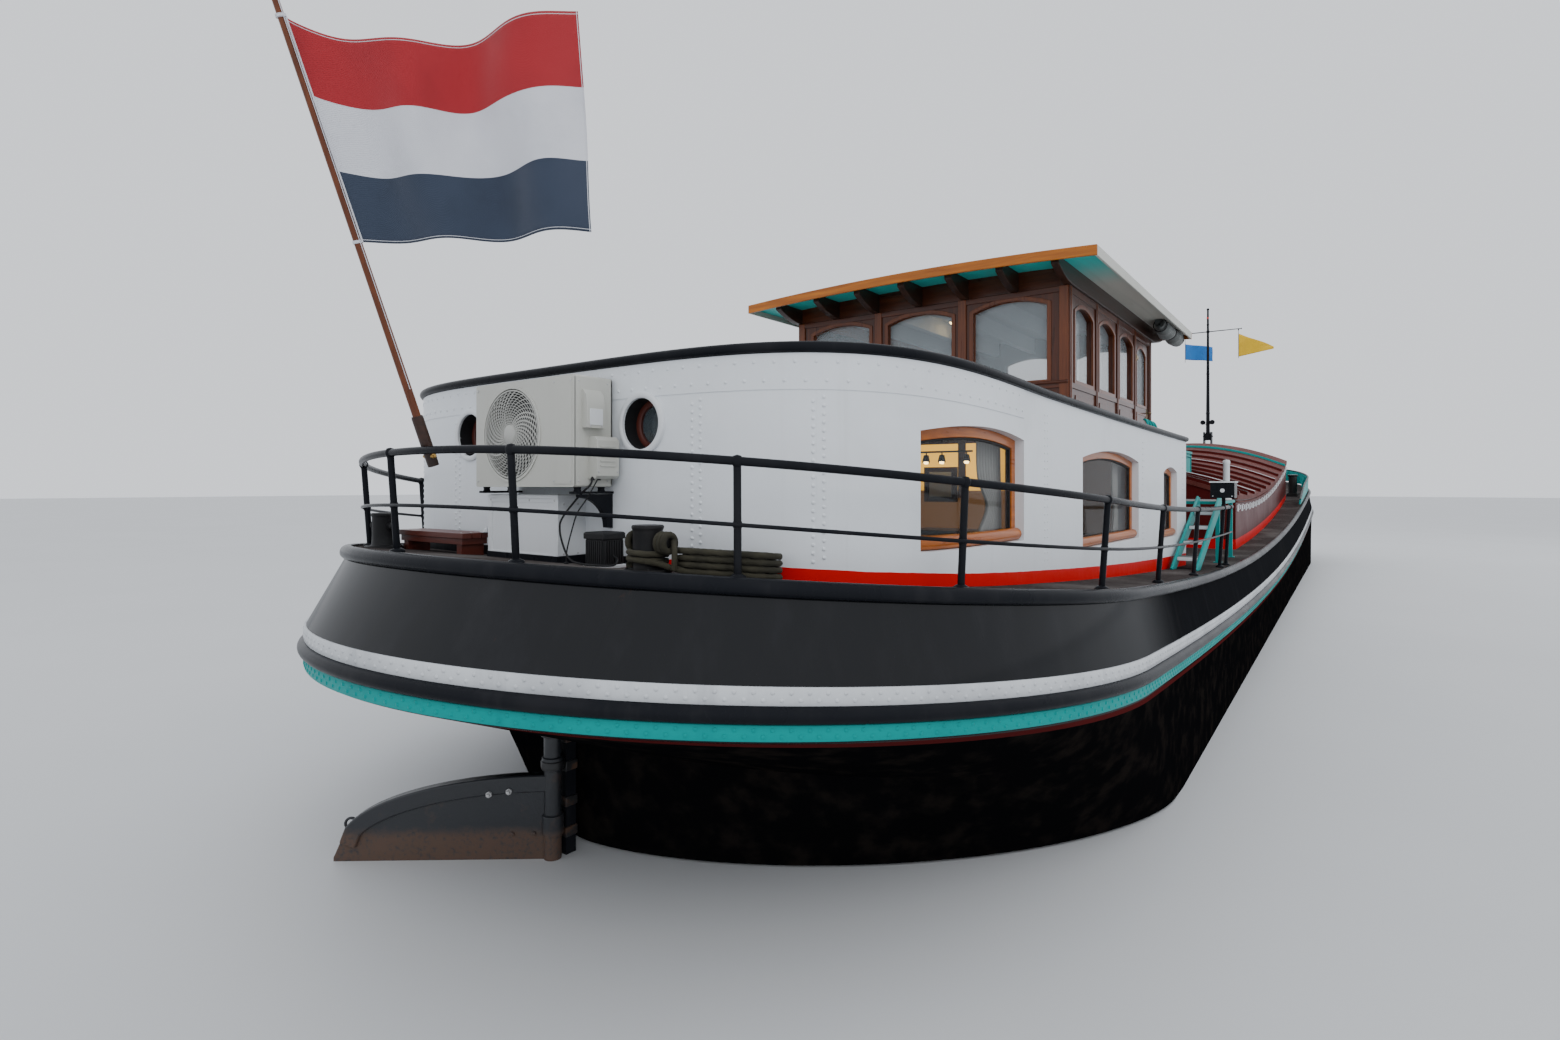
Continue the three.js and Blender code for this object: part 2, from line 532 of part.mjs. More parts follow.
const ROOF = {
  aft: -7730, front: -3050, half: 1870, edge: WATERLINE + 4057, camber: 55, thick: 30, fascia: 90, board: 22,
};
const RAFTERS = [-1500, -1000, -500, 0, 500, 1000, 1500];
const roofUnder = (y) => ROOF.edge + ROOF.camber * (1 - (y / ROOF.half) ** 2);
const roofProfile = (x, half, low, high) => {
  const steps = 8;
  const under = [];
  const top = [];
  for (let k = 0; k <= steps; k++) {
    const y = -half + (2 * half * k) / steps;
    under.push([x, y, low(y)]);
    top.unshift([x, y, high(y)]);
  }
  return [...under, ...top];
};
function addWheelhouseRoof() {
  const edge = ROOF.half - ROOF.board - GAP;
  const panel = [ROOF.aft + ROOF.board + GAP, ROOF.front - ROOF.board - GAP].map((x) => roofProfile(
    x, edge, roofUnder, (y) => roofUnder(y) + ROOF.thick));
  addPiece('wheelhouse_roof', loft(panel), CREAM);

  const head = HOUSE.top + GAP;
  const seat = (y) => roofUnder(y) - GAP;
  const slab = loft([ROOF.aft + 60, ROOF.front - 60].map((x) => roofProfile(x, edge, () => head, seat)));
  const plates = join(
    box(HOUSE.aft + 5, HOUSE.aft + 50, -1520, 1520, head - 20, head + 300),
    box(HOUSE.front - 50, HOUSE.front - 5, -1520, 1520, head - 20, head + 300),
    ...RAFTERS.map((y) => box(ROOF.aft + 70, ROOF.front - 70, y - 35, y + 35, head - 20, head + 300)));
  addPiece('wheelhouse_rafters', common(slab, plates), DARK_WOOD);

  const ring = (grow, low, high) => loft([ROOF.aft, ROOF.front].map((x, i) => roofProfile(
    x - (i ? grow : -grow), ROOF.half - grow, low, high)));
  const lowZ = (y) => roofUnder(y) + ROOF.thick + 6 - ROOF.fascia;
  const highZ = (y) => roofUnder(y) + ROOF.thick + 6;
  const far = () => 0;
  const high = () => 9000;
  addPiece('wheelhouse_fascia', cut(ring(0, lowZ, highZ), ring(ROOF.board, far, high)), VARNISH);
}

const HELM = { x: -4330, z: HOUSE.floor + 620, radius: 400, axle: 22 };
function addHelm() {
  addPiece('helm_console', box(-4100, -3830, -480, 480, HOUSE.floor + GAP, HOUSE.floor + 980), DARK_WOOD);
  const rim = new THREE.TorusGeometry(HELM.radius, 20, 6, 24).rotateY(Math.PI / 2).translate(HELM.x, 0, HELM.z);
  const spokes = [];
  for (let i = 0; i < 6; i++) {
    const angle = (Math.PI * i) / 3;
    const reach = HELM.radius + 90;
    const end = [HELM.x, reach * Math.cos(angle), HELM.z + reach * Math.sin(angle)];
    spokes.push(bar([HELM.x, 0, HELM.z], end, 15, 6));
  }
  const axle = bar([HELM.x - 60, 0, HELM.z], [-4100 - 0.5, 0, HELM.z], 45, 12);
  addPiece('steering_wheel', join(rim, axle, ...spokes), VARNISH);
}

// Top of the cambered hatch roof and the coaming under it
const HOLD = {
  aft: -2400, front: 9000, half: 2300, frontHalf: 2180, coaming: WATERLINE + 1870, lift: 7.6e-6,
  camber: 465, frontCamber: 520, wall: 60, thick: 60,
};
const HOLD_STATIONS = [0, 1, 2, 3, 4, 5].map((i) => HOLD.aft + ((HOLD.front - HOLD.aft) * i) / 5);
const HATCH_STATIONS = [HOLD.aft - 20, ...HOLD_STATIONS.slice(1, -1), HOLD.front + 20];
const HATCH_EDGE = 25; // overhang of the hatches past the coaming
const coamingTop = (x) => {
  const rise = (at) => HOLD.coaming + HOLD.lift * (at - SHEER.low) ** 2;
  const span = Math.max(0, Math.min(4, Math.floor(((x - HOLD.aft) * 5) / (HOLD.front - HOLD.aft))));
  const [a, b] = [HOLD_STATIONS[span], HOLD_STATIONS[span + 1]];
  return rise(a) + ((rise(b) - rise(a)) * (x - a)) / (b - a);
};
const alongHold = (atAft, atFront, x) => atAft + ((atFront - atAft) * (x - HOLD.aft)) / (HOLD.front - HOLD.aft);
const holdHalf = (x) => alongHold(HOLD.half, HOLD.frontHalf, x);
const camberAt = (x) => alongHold(HOLD.camber, HOLD.frontCamber, x);
const HATCH_STRIPS = 10;
// Underside of the hatches across the hold at x, from starboard to port
const hatchUnder = (x, lift = 0) => {
  const half = holdHalf(x) + HATCH_EDGE;
  return Array.from({ length: HATCH_STRIPS + 1 }, (_, k) => {
    const y = -half + (2 * half * k) / HATCH_STRIPS;
    return [x, y, coamingTop(x) + GAP + camberAt(x) * (1 - (y / half) ** 2) + lift];
  });
};
const underHatches = (lift) => loft(HATCH_STATIONS.map((x) => {
  const half = holdHalf(x) + HATCH_EDGE;
  return [...hatchUnder(x, lift), [x, half, 1500], [x, -half, 1500]];
}));
const hatchTop = (x, y) => {
  const share = y / (holdHalf(x) + HATCH_EDGE);
  return coamingTop(x) + GAP + HOLD.thick + camberAt(x) * (1 - share ** 2);
};

function addHold() {
  const block = (inset) => loft(HOLD_STATIONS.map((x, i) => {
    const at = x + (i === 0 ? inset : 0) - (i === HOLD_STATIONS.length - 1 ? inset : 0);
    const half = holdHalf(at) - inset;
    const low = 1900 - inset;
    const high = 4600 + inset;
    return [[at, -half, low], [at, half, low], [at, half, high], [at, -half, high]];
  }));
  const walls = cut(block(0), block(HOLD.wall));
  addPiece('hold_coaming', onDeck(common(walls, underHatches(-GAP))), HATCH_RED);

  const { x0, x1, y0, y1, board } = SKYLIGHT;
  const hole = box(x0 + board, x1 - board, y0 + board, y1 - board, 2500, 5000);
  const hatches = loft(HATCH_STATIONS.map((x) => [...hatchUnder(x), ...hatchUnder(x, HOLD.thick).reverse()]));
  addPiece('hatch_roof', cut(hatches, hole), HATCH_TOP);
}

const SKYLIGHT = { x0: -1300, x1: 900, y0: -1250, y1: -350, high: 190, board: 60, lid: 40 };
function addSkylight() {
  const { x0, x1, y0, y1, board } = SKYLIGHT;
  const top = hatchTop(x1, y1) + SKYLIGHT.high;
  const frame = cut(
    box(x0, x1, y0, y1, 3000, top),
    box(x0 + board, x1 - board, y0 + board, y1 - board, 2000, 5000));
  addPiece('skylight_frame', cut(frame, underHatches(HOLD.thick + GAP)), TEAL);
  addPiece('skylight_lid', box(x0 - 25, x1 + 25, y0 - 25, y1 + 5, top + GAP, top + GAP + SKYLIGHT.lid), TEAL);
}

const MAST = {
  x: 12200, pivot: WATERLINE + 3560, top: WATERLINE + 7410, radius: 55, tip: 26, cheek: 40, apart: 150,
};
const SPREADER = { z: WATERLINE + 6740, half: 880, radius: 14, halyard: 6, drop: 880 };
const PENNANT = { thick: 5, heading: -52, waves: 1.2, depth: 28, sag: 60, columns: 6 };
// Each pennant: its halyard's place, its length, its height at the hoist and at the tip, and its foot
const PENNANTS = [
  { name: 'blue', y: 620, fly: 870, hoist: 480, tip: 440, foot: WATERLINE + 5950, color: 0x2f74c8 },
  { name: 'yellow', y: -805, fly: 1080, hoist: 690, tip: 70, foot: WATERLINE + 5905, color: 0xe3b912 },
];
function addMast() {
  const { x, pivot, apart, cheek } = MAST;
  const half = apart / 2 + cheek;
  const cheekPlate = (y0) => box(x - 110, x + 110, y0, y0 + cheek, 2400, pivot + 130);
  const pin = bar([x, -half - 20, pivot], [x, half + 20, pivot], 20, 24);
  const back = box(x + 70, x + 110, -half, half, 2400, pivot - 300);
  const step = box(x - 150, x + 150, -half - 40, half + 40, 2400, deckAt(x) + 40);
  addPiece('mast_tabernacle', onDeck(join(cheekPlate(-half), cheekPlate(apart / 2), back, step, pin)), BLACK);
  const heel = box(x - 60, x + 60, -apart / 2 + 6, apart / 2 - 6, pivot - 120, pivot + 90);
  const bore = bar([x, -half - 60, pivot], [x, half + 60, pivot], 20.35, 24);
  const pole = bar([x, 0, pivot + 60], [x, 0, MAST.top], MAST.radius, 12, MAST.tip);
  const spreader = bar([x, -SPREADER.half, SPREADER.z], [x, SPREADER.half, SPREADER.z], SPREADER.radius, 8);
  const halyards = PENNANTS.map(({ y }) => bar(
    [x, y, SPREADER.z], [x, y, SPREADER.z - SPREADER.drop], SPREADER.halyard, 6));
  const truck = new THREE.SphereGeometry(38, 10, 8).translate(x, 0, MAST.top + 10);
  addPiece('mast', cut(join(heel, pole, spreader, truck, ...halyards), bore), BLACK);
}

// Plain pennants that fly from the halyards under the spreader
function addPennants() {
  const heading = THREE.MathUtils.degToRad(PENNANT.heading);
  const ahead = [Math.cos(heading), Math.sin(heading)];
  for (const { name, y, fly, hoist, tip, foot, color } of PENNANTS) {
    const sections = Array.from({ length: PENNANT.columns + 1 }, (_, i) => {
      const share = i / PENNANT.columns;
      const run = SPREADER.halyard + GAP + fly * share;
      const swing = PENNANT.depth * Math.min(1, 3 * share) * Math.sin(2 * Math.PI * PENNANT.waves * share);
      const high = hoist + (tip - hoist) * share;
      const low = foot + (hoist - high) / 2 - PENNANT.sag * share;
      return [[-1, 0], [-1, 1], [1, 1], [1, 0]].map(([face, up]) => {
        const aside = swing + (face * PENNANT.thick) / 2;
        const forward = ahead[0] * run - ahead[1] * aside;
        return [MAST.x + forward, y + ahead[1] * run + ahead[0] * aside, low + up * high];
      });
    });
    addPiece(`pennant_${name}`, loft(sections), { color, roughness: 0.9, metalness: 0 });
  }
}

const BOLLARDS = [
  { name: 'stern_starboard', x: -12060, y: -1050 },
  { name: 'stern_port', x: -12180, y: 1080 },
];
const BOW_BOLLARDS = { x: 10100, y: 2270, radius: 85, high: 540, apart: 420 };
function addBollards() {
  for (const { name, x, y } of BOLLARDS) {
    const foot = deckAt(x);
    const body = bar([x, y, foot - 60], [x, y, foot + 200], 68, 20);
    const cap = bar([x, y, foot + 195], [x, y, foot + 211], 73, 20);
    const horn = bar([x, y - 125, foot + 135], [x, y + 125, foot + 135], 22, 10);
    const plate = bar([x, y, foot - 60], [x, y, foot + 16], 110, 20);
    addPiece(`bollard_${name}`, onDeck(join(body, cap, horn, plate)), BLACK);
  }
  const { x, y, radius, high, apart } = BOW_BOLLARDS;
  const posts = [-1, 1].flatMap((side) => {
    const at = x + (side * apart) / 2;
    const top = deckAt(x) + high;
    return [
      bar([at, -y, 2300], [at, -y, top], radius, 16),
      bar([at, -y, top - 30], [at, -y, top], radius + 25, 16)];
  });
  const plate = box(x - apart / 2 - 150, x + apart / 2 + 150, -y - 120, -y + 120, 2300, deckAt(x + 360) + 20);
  const pair = onDeck(join(plate, ...posts));
  addPiece('bollard_bow_starboard', pair, BLACK);
  addPiece('bollard_bow_port', mirrored(pair), BLACK);
}

const RAIL = {
  stern: -12540, half: 2550, round: 2.1, front: -5050, level: WATERLINE + 1845, rise: 0.1574, power: 3.4,
  rod: 265, tube: 19, thin: 9, post: 17, lean: 34,
};
const STERN_POSTS = [-2200, -1540, -620, 330, 1250, 2100]; // y of each
const SIDE_POSTS = [-10100, -8700, -7250, -5700, -5250]; // x of each pair
const RAIL_BOX = { x: -5600, y: -2540, half: 105, foot: WATERLINE + 1950, top: WATERLINE + 2105 };
const railAt = (x) => RAIL.level + RAIL.rise * (Math.max(0, DECK_SHEER.low - x) / 1000) ** RAIL.power;
const RAIL_RUN = STERN_ROUND_X - RAIL.stern;
const besideOf = (share) => (1 - Math.abs(share) ** RAIL.round) ** (1 / RAIL.round);
const railXAt = (y) => STERN_ROUND_X - RAIL_RUN * besideOf(y / RAIL.half);
const railYAt = (x) => (x > STERN_ROUND_X ? RAIL.half : RAIL.half * besideOf((STERN_ROUND_X - x) / RAIL_RUN));
const STAFF = { foot: [-12497, 0, WATERLINE + 2230], lean: 19.7, length: 2150, radius: 19, tip: 14 };
const staffPoint = (along) => {
  const angle = THREE.MathUtils.degToRad(STAFF.lean);
  return [STAFF.foot[0] - along * Math.sin(angle), 0, STAFF.foot[2] + along * Math.cos(angle)];
};
function railTube(drop, radius, sides) {
  const steps = 10;
  const half = [];
  for (let i = 0; i <= steps; i++) {
    const angle = (Math.PI / 2) * (i / steps);
    const y = RAIL.half * Math.sin(angle) ** (2 / RAIL.round);
    half.push([STERN_ROUND_X - RAIL_RUN * Math.cos(angle) ** (2 / RAIL.round), y]);
  }
  half.push([-8700, RAIL.half], [-7250, RAIL.half], [RAIL.front, RAIL.half]);
  const line = [...half.slice().reverse().map(([x, y]) => [x, -y]), ...half.slice(1)];
  return loft(line.map(([x, y], i) => {
    const before = line[Math.max(0, i - 1)];
    const after = line[Math.min(line.length - 1, i + 1)];
    const along = new THREE.Vector2(after[0] - before[0], after[1] - before[1]).normalize();
    const circle = [];
    for (let k = 0; k < sides; k++) {
      const angle = (2 * Math.PI * k) / sides;
      const reach = radius * Math.cos(angle);
      circle.push([x + along.y * reach, y - along.x * reach, railAt(x) - drop + radius * Math.sin(angle)]);
    }
    return circle;
  }));
}
function addRailing() {
  const post = (x, y) => {
    const aft = Math.max(0, STERN_ROUND_X - x) / RAIL_RUN;
    const foot = [x + RAIL.lean * aft, y - (RAIL.lean * y) / RAIL.half, 2100];
    return bar(foot, [x, y, railAt(x)], RAIL.post, 6);
  };
  const posts = [
    ...STERN_POSTS.map((y) => post(railXAt(y), y)),
    ...SIDE_POSTS.flatMap((x) => [post(x, -railYAt(x)), post(x, railYAt(x))]),
  ];
  const { x: boxX, y: boxY, half, foot, top } = RAIL_BOX;
  const lid = half + 8;
  const corner = [
    box(boxX - half, boxX + half, boxY - half, boxY + half, foot, top),
    box(boxX - lid, boxX + lid, boxY - lid, boxY + lid, top - 1, top + 12),
    bar([boxX, boxY, railAt(boxX)], [boxX, boxY, foot + 10], RAIL.post, 8),
  ];
  const socket = bar(staffPoint(-60), staffPoint(190), 31, 12);
  const bore = bar(staffPoint(-20), staffPoint(260), 20, 12);
  const rails = [railTube(0, RAIL.tube, 8), railTube(RAIL.rod, RAIL.thin, 4)];
  const whole = join(...rails, socket, ...corner, ...posts);
  addPiece('stern_railing', onDeck(cut(whole, bore)), BLACK);
}

function addFlag() {
  const staff = bar(staffPoint(-18.8), staffPoint(STAFF.length), STAFF.radius, 12, STAFF.tip);
  const ball = new THREE.SphereGeometry(27, 10, 8).translate(...staffPoint(STAFF.length + 12));
  addPiece('flagstaff', join(staff, ball), VARNISH);
  addPiece('flag', loft(flagSections()), CLOTH);
}
const FLAG = {
  hoist: 920, fly: 1045, low: 1000, thick: 5, heading: -56.7, waves: 2.1, depth: 55, columns: 16,
  sag: { top: 130, foot: 15 }, lift: { top: 115, foot: 30 },
};
function flagSections() {
  const heading = THREE.MathUtils.degToRad(FLAG.heading);
  const ahead = [Math.cos(heading), Math.sin(heading)];
  const aside = [-ahead[1], ahead[0]];
  const between = ({ top, foot }, down) => top + (foot - top) * down;
  const sections = [];
  for (let i = 0; i <= FLAG.columns; i++) {
    const share = i / FLAG.columns;
    const run = share * FLAG.fly;
    const swing = FLAG.depth * Math.min(1, 2.2 * share) * Math.sin(2 * Math.PI * FLAG.waves * share);
    const ring = [];
    for (const face of [-1, 1]) {
      const rows = [0, 0.5, 1];
      for (const down of face < 0 ? rows : rows.slice().reverse()) {
        const along = FLAG.low + FLAG.hoist * (1 - down);
        const base = staffPoint(along);
        const start = STAFF.radius - ((STAFF.radius - STAFF.tip) * along) / STAFF.length + GAP;
        const shift = swing + (face * FLAG.thick) / 2;
        const upright = base[0] + (staffPoint(FLAG.low)[0] - base[0]) * share * 0.75;
        const sag = between(FLAG.sag, down) * Math.sin(Math.PI * share ** 0.8);
        ring.push([
          upright + ahead[0] * (run + start) + aside[0] * shift,
          base[1] + ahead[1] * (run + start) + aside[1] * shift,
          base[2] + between(FLAG.lift, down) * share - sag,
        ]);
      }
    }
    sections.push(ring);
  }
  return sections;
}

const RUDDER = {
  rest: 52, stock: 48, length: 1200, top: WATERLINE + 470, low: WATERLINE + 110, foot: 190,
  plate: 34, flange: 95,
};
// Rounded upper edge of the blade, from its aft end to the stock
const rudderTop = (share) => {
  const rise = (RUDDER.top - RUDDER.low) * Math.sqrt(1 - (1 - share) ** 2);
  return [-(RUDDER.length - 40) * (1 - share), RUDDER.low + rise];
};
function addSternGear() {
  const post = box(-11718, -11650, -38, 38, 20, 1790);
  const sole = box(-11900, -9900, -48, 48, 20, 100);
  const frame = cut(join(post, sole), box(-11900, -11760, -60, 60, 101, 3000));
  addPiece('stern_frame', frame, BLACK);

  const outline = new THREE.Shape();
  outline.moveTo(0, RUDDER.foot);
  outline.lineTo(-RUDDER.length, RUDDER.foot);
  outline.lineTo(-RUDDER.length, RUDDER.low - 90);
  const upper = Array.from({ length: 11 }, (_, i) => rudderTop(i / 10));
  upper.forEach(([x, z]) => outline.lineTo(x, z));
  outline.closePath();
  const flange = new THREE.Shape();
  flange.moveTo(...upper[0]);
  upper.slice(1).forEach(([x, z]) => flange.lineTo(x, z));
  upper.slice().reverse().forEach(([x, z], i) => {
    flange.lineTo(Math.min(0, x + 6 * i), z - RUDDER.flange);
  });
  flange.closePath();
  const upright = (shape, thick) => new THREE.ExtrudeGeometry(shape, { depth: thick, bevelEnabled: false })
    .rotateX(Math.PI / 2).translate(0, thick / 2, 0);
  const stock = bar([0, 0, 100.8], [0, 0, 1860], RUDDER.stock, 20);
  const eye = new THREE.TorusGeometry(32, 8, 6, 16).rotateX(Math.PI / 2)
    .translate(-RUDDER.length + 90, 0, RUDDER.low + 90);
  const whole = join(upright(outline, RUDDER.plate), upright(flange, 74), stock, eye);
  addPiece('rudder', whole, BLACK, [RUDDER_X, 0, 0], [0, 0, THREE.MathUtils.degToRad(-RUDDER.rest)]);

  const blades = [0, 1, 2, 3].map((n) => {
    const shape = new THREE.Shape();
    shape.absellipse(0, 210, 120, 150, 0, 2 * Math.PI);
    const blade = new THREE.ExtrudeGeometry(shape, { depth: 16, bevelEnabled: false, curveSegments: 8 });
    return blade.translate(0, 0, -8).rotateY(THREE.MathUtils.degToRad(60)).rotateX((Math.PI / 2) * n);
  });
  const hub = bar([-85, 0, 0], [85, 0, 0], 68, 16);
  const cone = bar([-85, 0, 0], [-150, 0, 0], 68, 16, 20);
  const shaft = bar([60, 0, 0], [1300, 0, 0], SHAFT_RADIUS, 16);
  addPiece('propeller', join(...blades, hub, cone, shaft), BRONZE, [PROPELLER_X, 0, SHAFT_Z]);
}

const AIR = {
  x0: -12080, x1: -11840, y0: -560, y1: 270, z0: WATERLINE + 2070, z1: WATERLINE + 2620,
  wall: 10, fan: 240, fanY: -50,
};
function addAirUnit() {
  const { x0, x1, y0, y1, z0, z1, wall } = AIR;
  const middle = (z0 + z1) / 2;
  const shell = cut(
    box(x0, x1, y0, y1, z0, z1),
    box(x0 + wall, x1 - wall, y0 + 250, y1 - wall, z0 + wall, z1 - wall),
    bar([x0 - 50, AIR.fanY, middle], [x0 + 60, AIR.fanY, middle], AIR.fan, 32));
  const cover = box(x0 + 90, x1 - 10, y0 - 65, y0 + 5, z0 + 40, z0 + 250);
  const service = box(x0 + 50, x1 - 80, y0 - 40, y0 + 5, z0 + 290, z0 + 480);
  const foot = (y) => box(x0 + 10, x1 + 40, y - 20, y + 20, z0 - 34, z0 + 5);
  const gusset = (y) => {
    const shape = new THREE.Shape();
    shape.moveTo(x0 + 60, z0 - 20);
    shape.lineTo(x1 + 40, z0 - 20);
    shape.lineTo(x1 + 40, z0 - 210);
    shape.lineTo(x1 - 20, z0 - 210);
    shape.closePath();
    return new THREE.ExtrudeGeometry(shape, { depth: 30, bevelEnabled: false })
      .rotateX(Math.PI / 2).translate(0, y + 15, 0);
  };
  const casing = join(shell, cover, service, foot(y0 + 30), foot(y1 - 30), gusset(y0 + 30));
  addPiece('air_unit', besideCabin(casing), CREAM);

  const rim = new THREE.TorusGeometry(AIR.fan - 9, 7, 4, 28).rotateY(Math.PI / 2);
  const vanes = [];
  for (let i = 0; i < 12; i++) {
    const angle = (Math.PI * i) / 6;
    const at = (reach) => [0, reach * Math.cos(angle), reach * Math.sin(angle)];
    vanes.push(bar(at(40), at(AIR.fan - 10), 3.5, 4));
  }
  const hub = bar([-6, 0, 0], [6, 0, 0], 48, 20);
  addPiece('air_grille', join(rim, hub, ...vanes), CREAM, [x0 + 8, AIR.fanY, middle]);

  const fanBlades = [0, 1, 2].map((n) => {
    const shape = new THREE.Shape();
    shape.absarc(0, 0, AIR.fan - 30, 0.2, 1.5, false);
    shape.lineTo(20, 50);
    shape.lineTo(50, 10);
    shape.closePath();
    return new THREE.ExtrudeGeometry(shape, { depth: 6, bevelEnabled: false, curveSegments: 6 })
      .rotateY(Math.PI / 2).rotateX((2 * Math.PI * n) / 3);
  });
  const fanHub = bar([-20, 0, 0], [40, 0, 0], 62, 16);
  const axle = bar([30, 0, 0], [x1 - wall - (x0 + 90) - 0.5, 0, 0], 20, 12);
  addPiece('air_fan', join(fanHub, axle, ...fanBlades), GREY, [x0 + 90, AIR.fanY, middle]);

  addPiece('air_duct', onDeck(besideCabin(box(-12000, CABIN.aft + 40, -330, 270, 2400, z0 - 40))), WHITE);
}

const VENT = { x: -11975, y: -660, half: 62, lid: 70, high: 172, ribs: [-50, -25, 0, 25, 50] };
const BENCH = { aft: -12085, front: -11905, from: 400, to: 1110, high: 125, board: 65, leg: 50, inset: 20 };
function addSternDeckPieces() {
  const { x, y, half, lid, high } = VENT;
  const vent = deckAt(x);
  const rib = half + 8;
  const ribs = VENT.ribs.map((at) => box(x - rib, x + rib, y + at - 6, y + at + 6, vent + 20, vent + 130));
  addPiece('vent_box', onDeck(join(
    box(x - half, x + half, y - half - 3, y + half + 3, 2500, vent + high - 22),
    box(x - lid, x + lid, y - lid - 3, y + lid + 3, vent + high - 32, vent + high), ...ribs)), BLACK);

  const { aft, front, from, to, board, leg, inset } = BENCH;
  const seat = deckAt(-12000) + BENCH.high;
  const legs = [from + 40, to - 40 - leg].map((side) => box(
    aft + inset, front - inset, side, side + leg, 2400, seat - board + 5));
  addPiece('stern_bench', onDeck(join(box(aft, front, from, to, seat - board, seat), ...legs)), DARK_WOOD);

  addPiece('side_steps', onDeck(sideSteps()), TEAL);
}

// Steps from the side deck to a landing at the starboard door
const STEPS = { foot: -6600, top: -4960, wide: 235, out: -2442, in: -2240, board: 26, treads: 4 };
const LANDING = { aft: -4960, front: -3760, out: -2440, top: HOUSE.floor - 45, thick: 34 };
function sideSteps() {
  const low = deckAt(STEPS.foot) - 60;
  const high = LANDING.top + 40;
  const cheek = (y) => {
    const shape = new THREE.Shape();
    shape.moveTo(STEPS.foot, low);
    shape.lineTo(STEPS.foot + STEPS.wide, low);
    shape.lineTo(STEPS.top, high - 110);
    shape.lineTo(STEPS.top, high);
    shape.lineTo(STEPS.top - 90, high);
    shape.closePath();
    return new THREE.ExtrudeGeometry(shape, { depth: STEPS.board, bevelEnabled: false })
      .rotateX(Math.PI / 2).translate(0, y + STEPS.board, 0);
  };
  const treads = Array.from({ length: STEPS.treads }, (_, n) => {
    const share = (n + 1) / (STEPS.treads + 1);
    const x = STEPS.foot + (STEPS.top - STEPS.foot) * share;
    const z = low + (LANDING.top - low) * share;
    return box(x - 60, x + 190, STEPS.out + 5, STEPS.in + 5, z, z + 24);
  });
  const plate = box(
    LANDING.aft, LANDING.front, LANDING.out, -HOUSE.half - GAP, LANDING.top - LANDING.thick, LANDING.top);
  const legs = [LANDING.aft + 60, LANDING.front - 60].map((x) => box(
    x - 20, x + 20, LANDING.out + 20, LANDING.out + 60, 2100, LANDING.top - 5));
  return join(cheek(STEPS.out), cheek(STEPS.in), plate, ...treads, ...legs);
}

// Rope that leaves the starboard stern bollard over its foot plate and lies wound up beside it
const ROPE_TAIL = {
  from: { x: -12126, y: -1102, high: 48 }, to: { x: -12011, y: -1264, high: 18 }, radius: 15,
};
const COIL = { x: -11875, y: -1365, turn: -71, long: 502, wide: 222, wound: 60, high: 122 };
function addRopeCoil() {
  const stadium = (long, wide, path) => {
    const r = wide / 2;
    const reach = long / 2 - r;
    path.absarc(reach, 0, r, -Math.PI / 2, Math.PI / 2, false);
    path.absarc(-reach, 0, r, Math.PI / 2, (3 * Math.PI) / 2, false);
    return path;
  };
  const shape = stadium(COIL.long, COIL.wide, new THREE.Shape());
  shape.holes.push(stadium(COIL.long - 2 * COIL.wound, COIL.wide - 2 * COIL.wound, new THREE.Path()));
  const foot = deckAt(COIL.x) - 60;
  const depth = COIL.high + 60;
  const hank = new THREE.ExtrudeGeometry(shape, { depth, bevelEnabled: false, curveSegments: 6 })
    .rotateZ(THREE.MathUtils.degToRad(COIL.turn)).translate(COIL.x, COIL.y, foot);
  const { from, to, radius } = ROPE_TAIL;
  const at = (end) => [end.x, end.y, deckAt(end.x) + end.high];
  addPiece('rope_coil', onDeck(join(hank, bar(at(from), at(to), radius, 10))), ROPE);
}

// Awning rolled up under the starboard eave, thick between its ties: x and radius along it
const AWNING = { y: -1720, rows: [
  { x: -4360, r: 58 }, { x: -4160, r: 96 }, { x: -3930, r: 108 }, { x: -3740, r: 76 },
  { x: -3560, r: 106 }, { x: -3310, r: 102 }, { x: -3140, r: 60 },
] };
function addAwning() {
  const sides = 12;
  const roll = loft(AWNING.rows.map(({ x, r }) => {
    const z = roofUnder(AWNING.y) - 0.9 * r;
    return Array.from({ length: sides }, (_, k) => {
      const angle = (2 * Math.PI * k) / sides;
      return [x, AWNING.y + r * Math.cos(angle), z + r * Math.sin(angle)];
    });
  }));
  const edge = ROOF.half - ROOF.board - GAP;
  const below = loft([ROOF.aft, ROOF.front].map((x) => roofProfile(
    x, edge, () => 4000, (y) => roofUnder(y) - GAP)));
  addPiece('canvas_roll', common(roll, below), CANVAS);
}

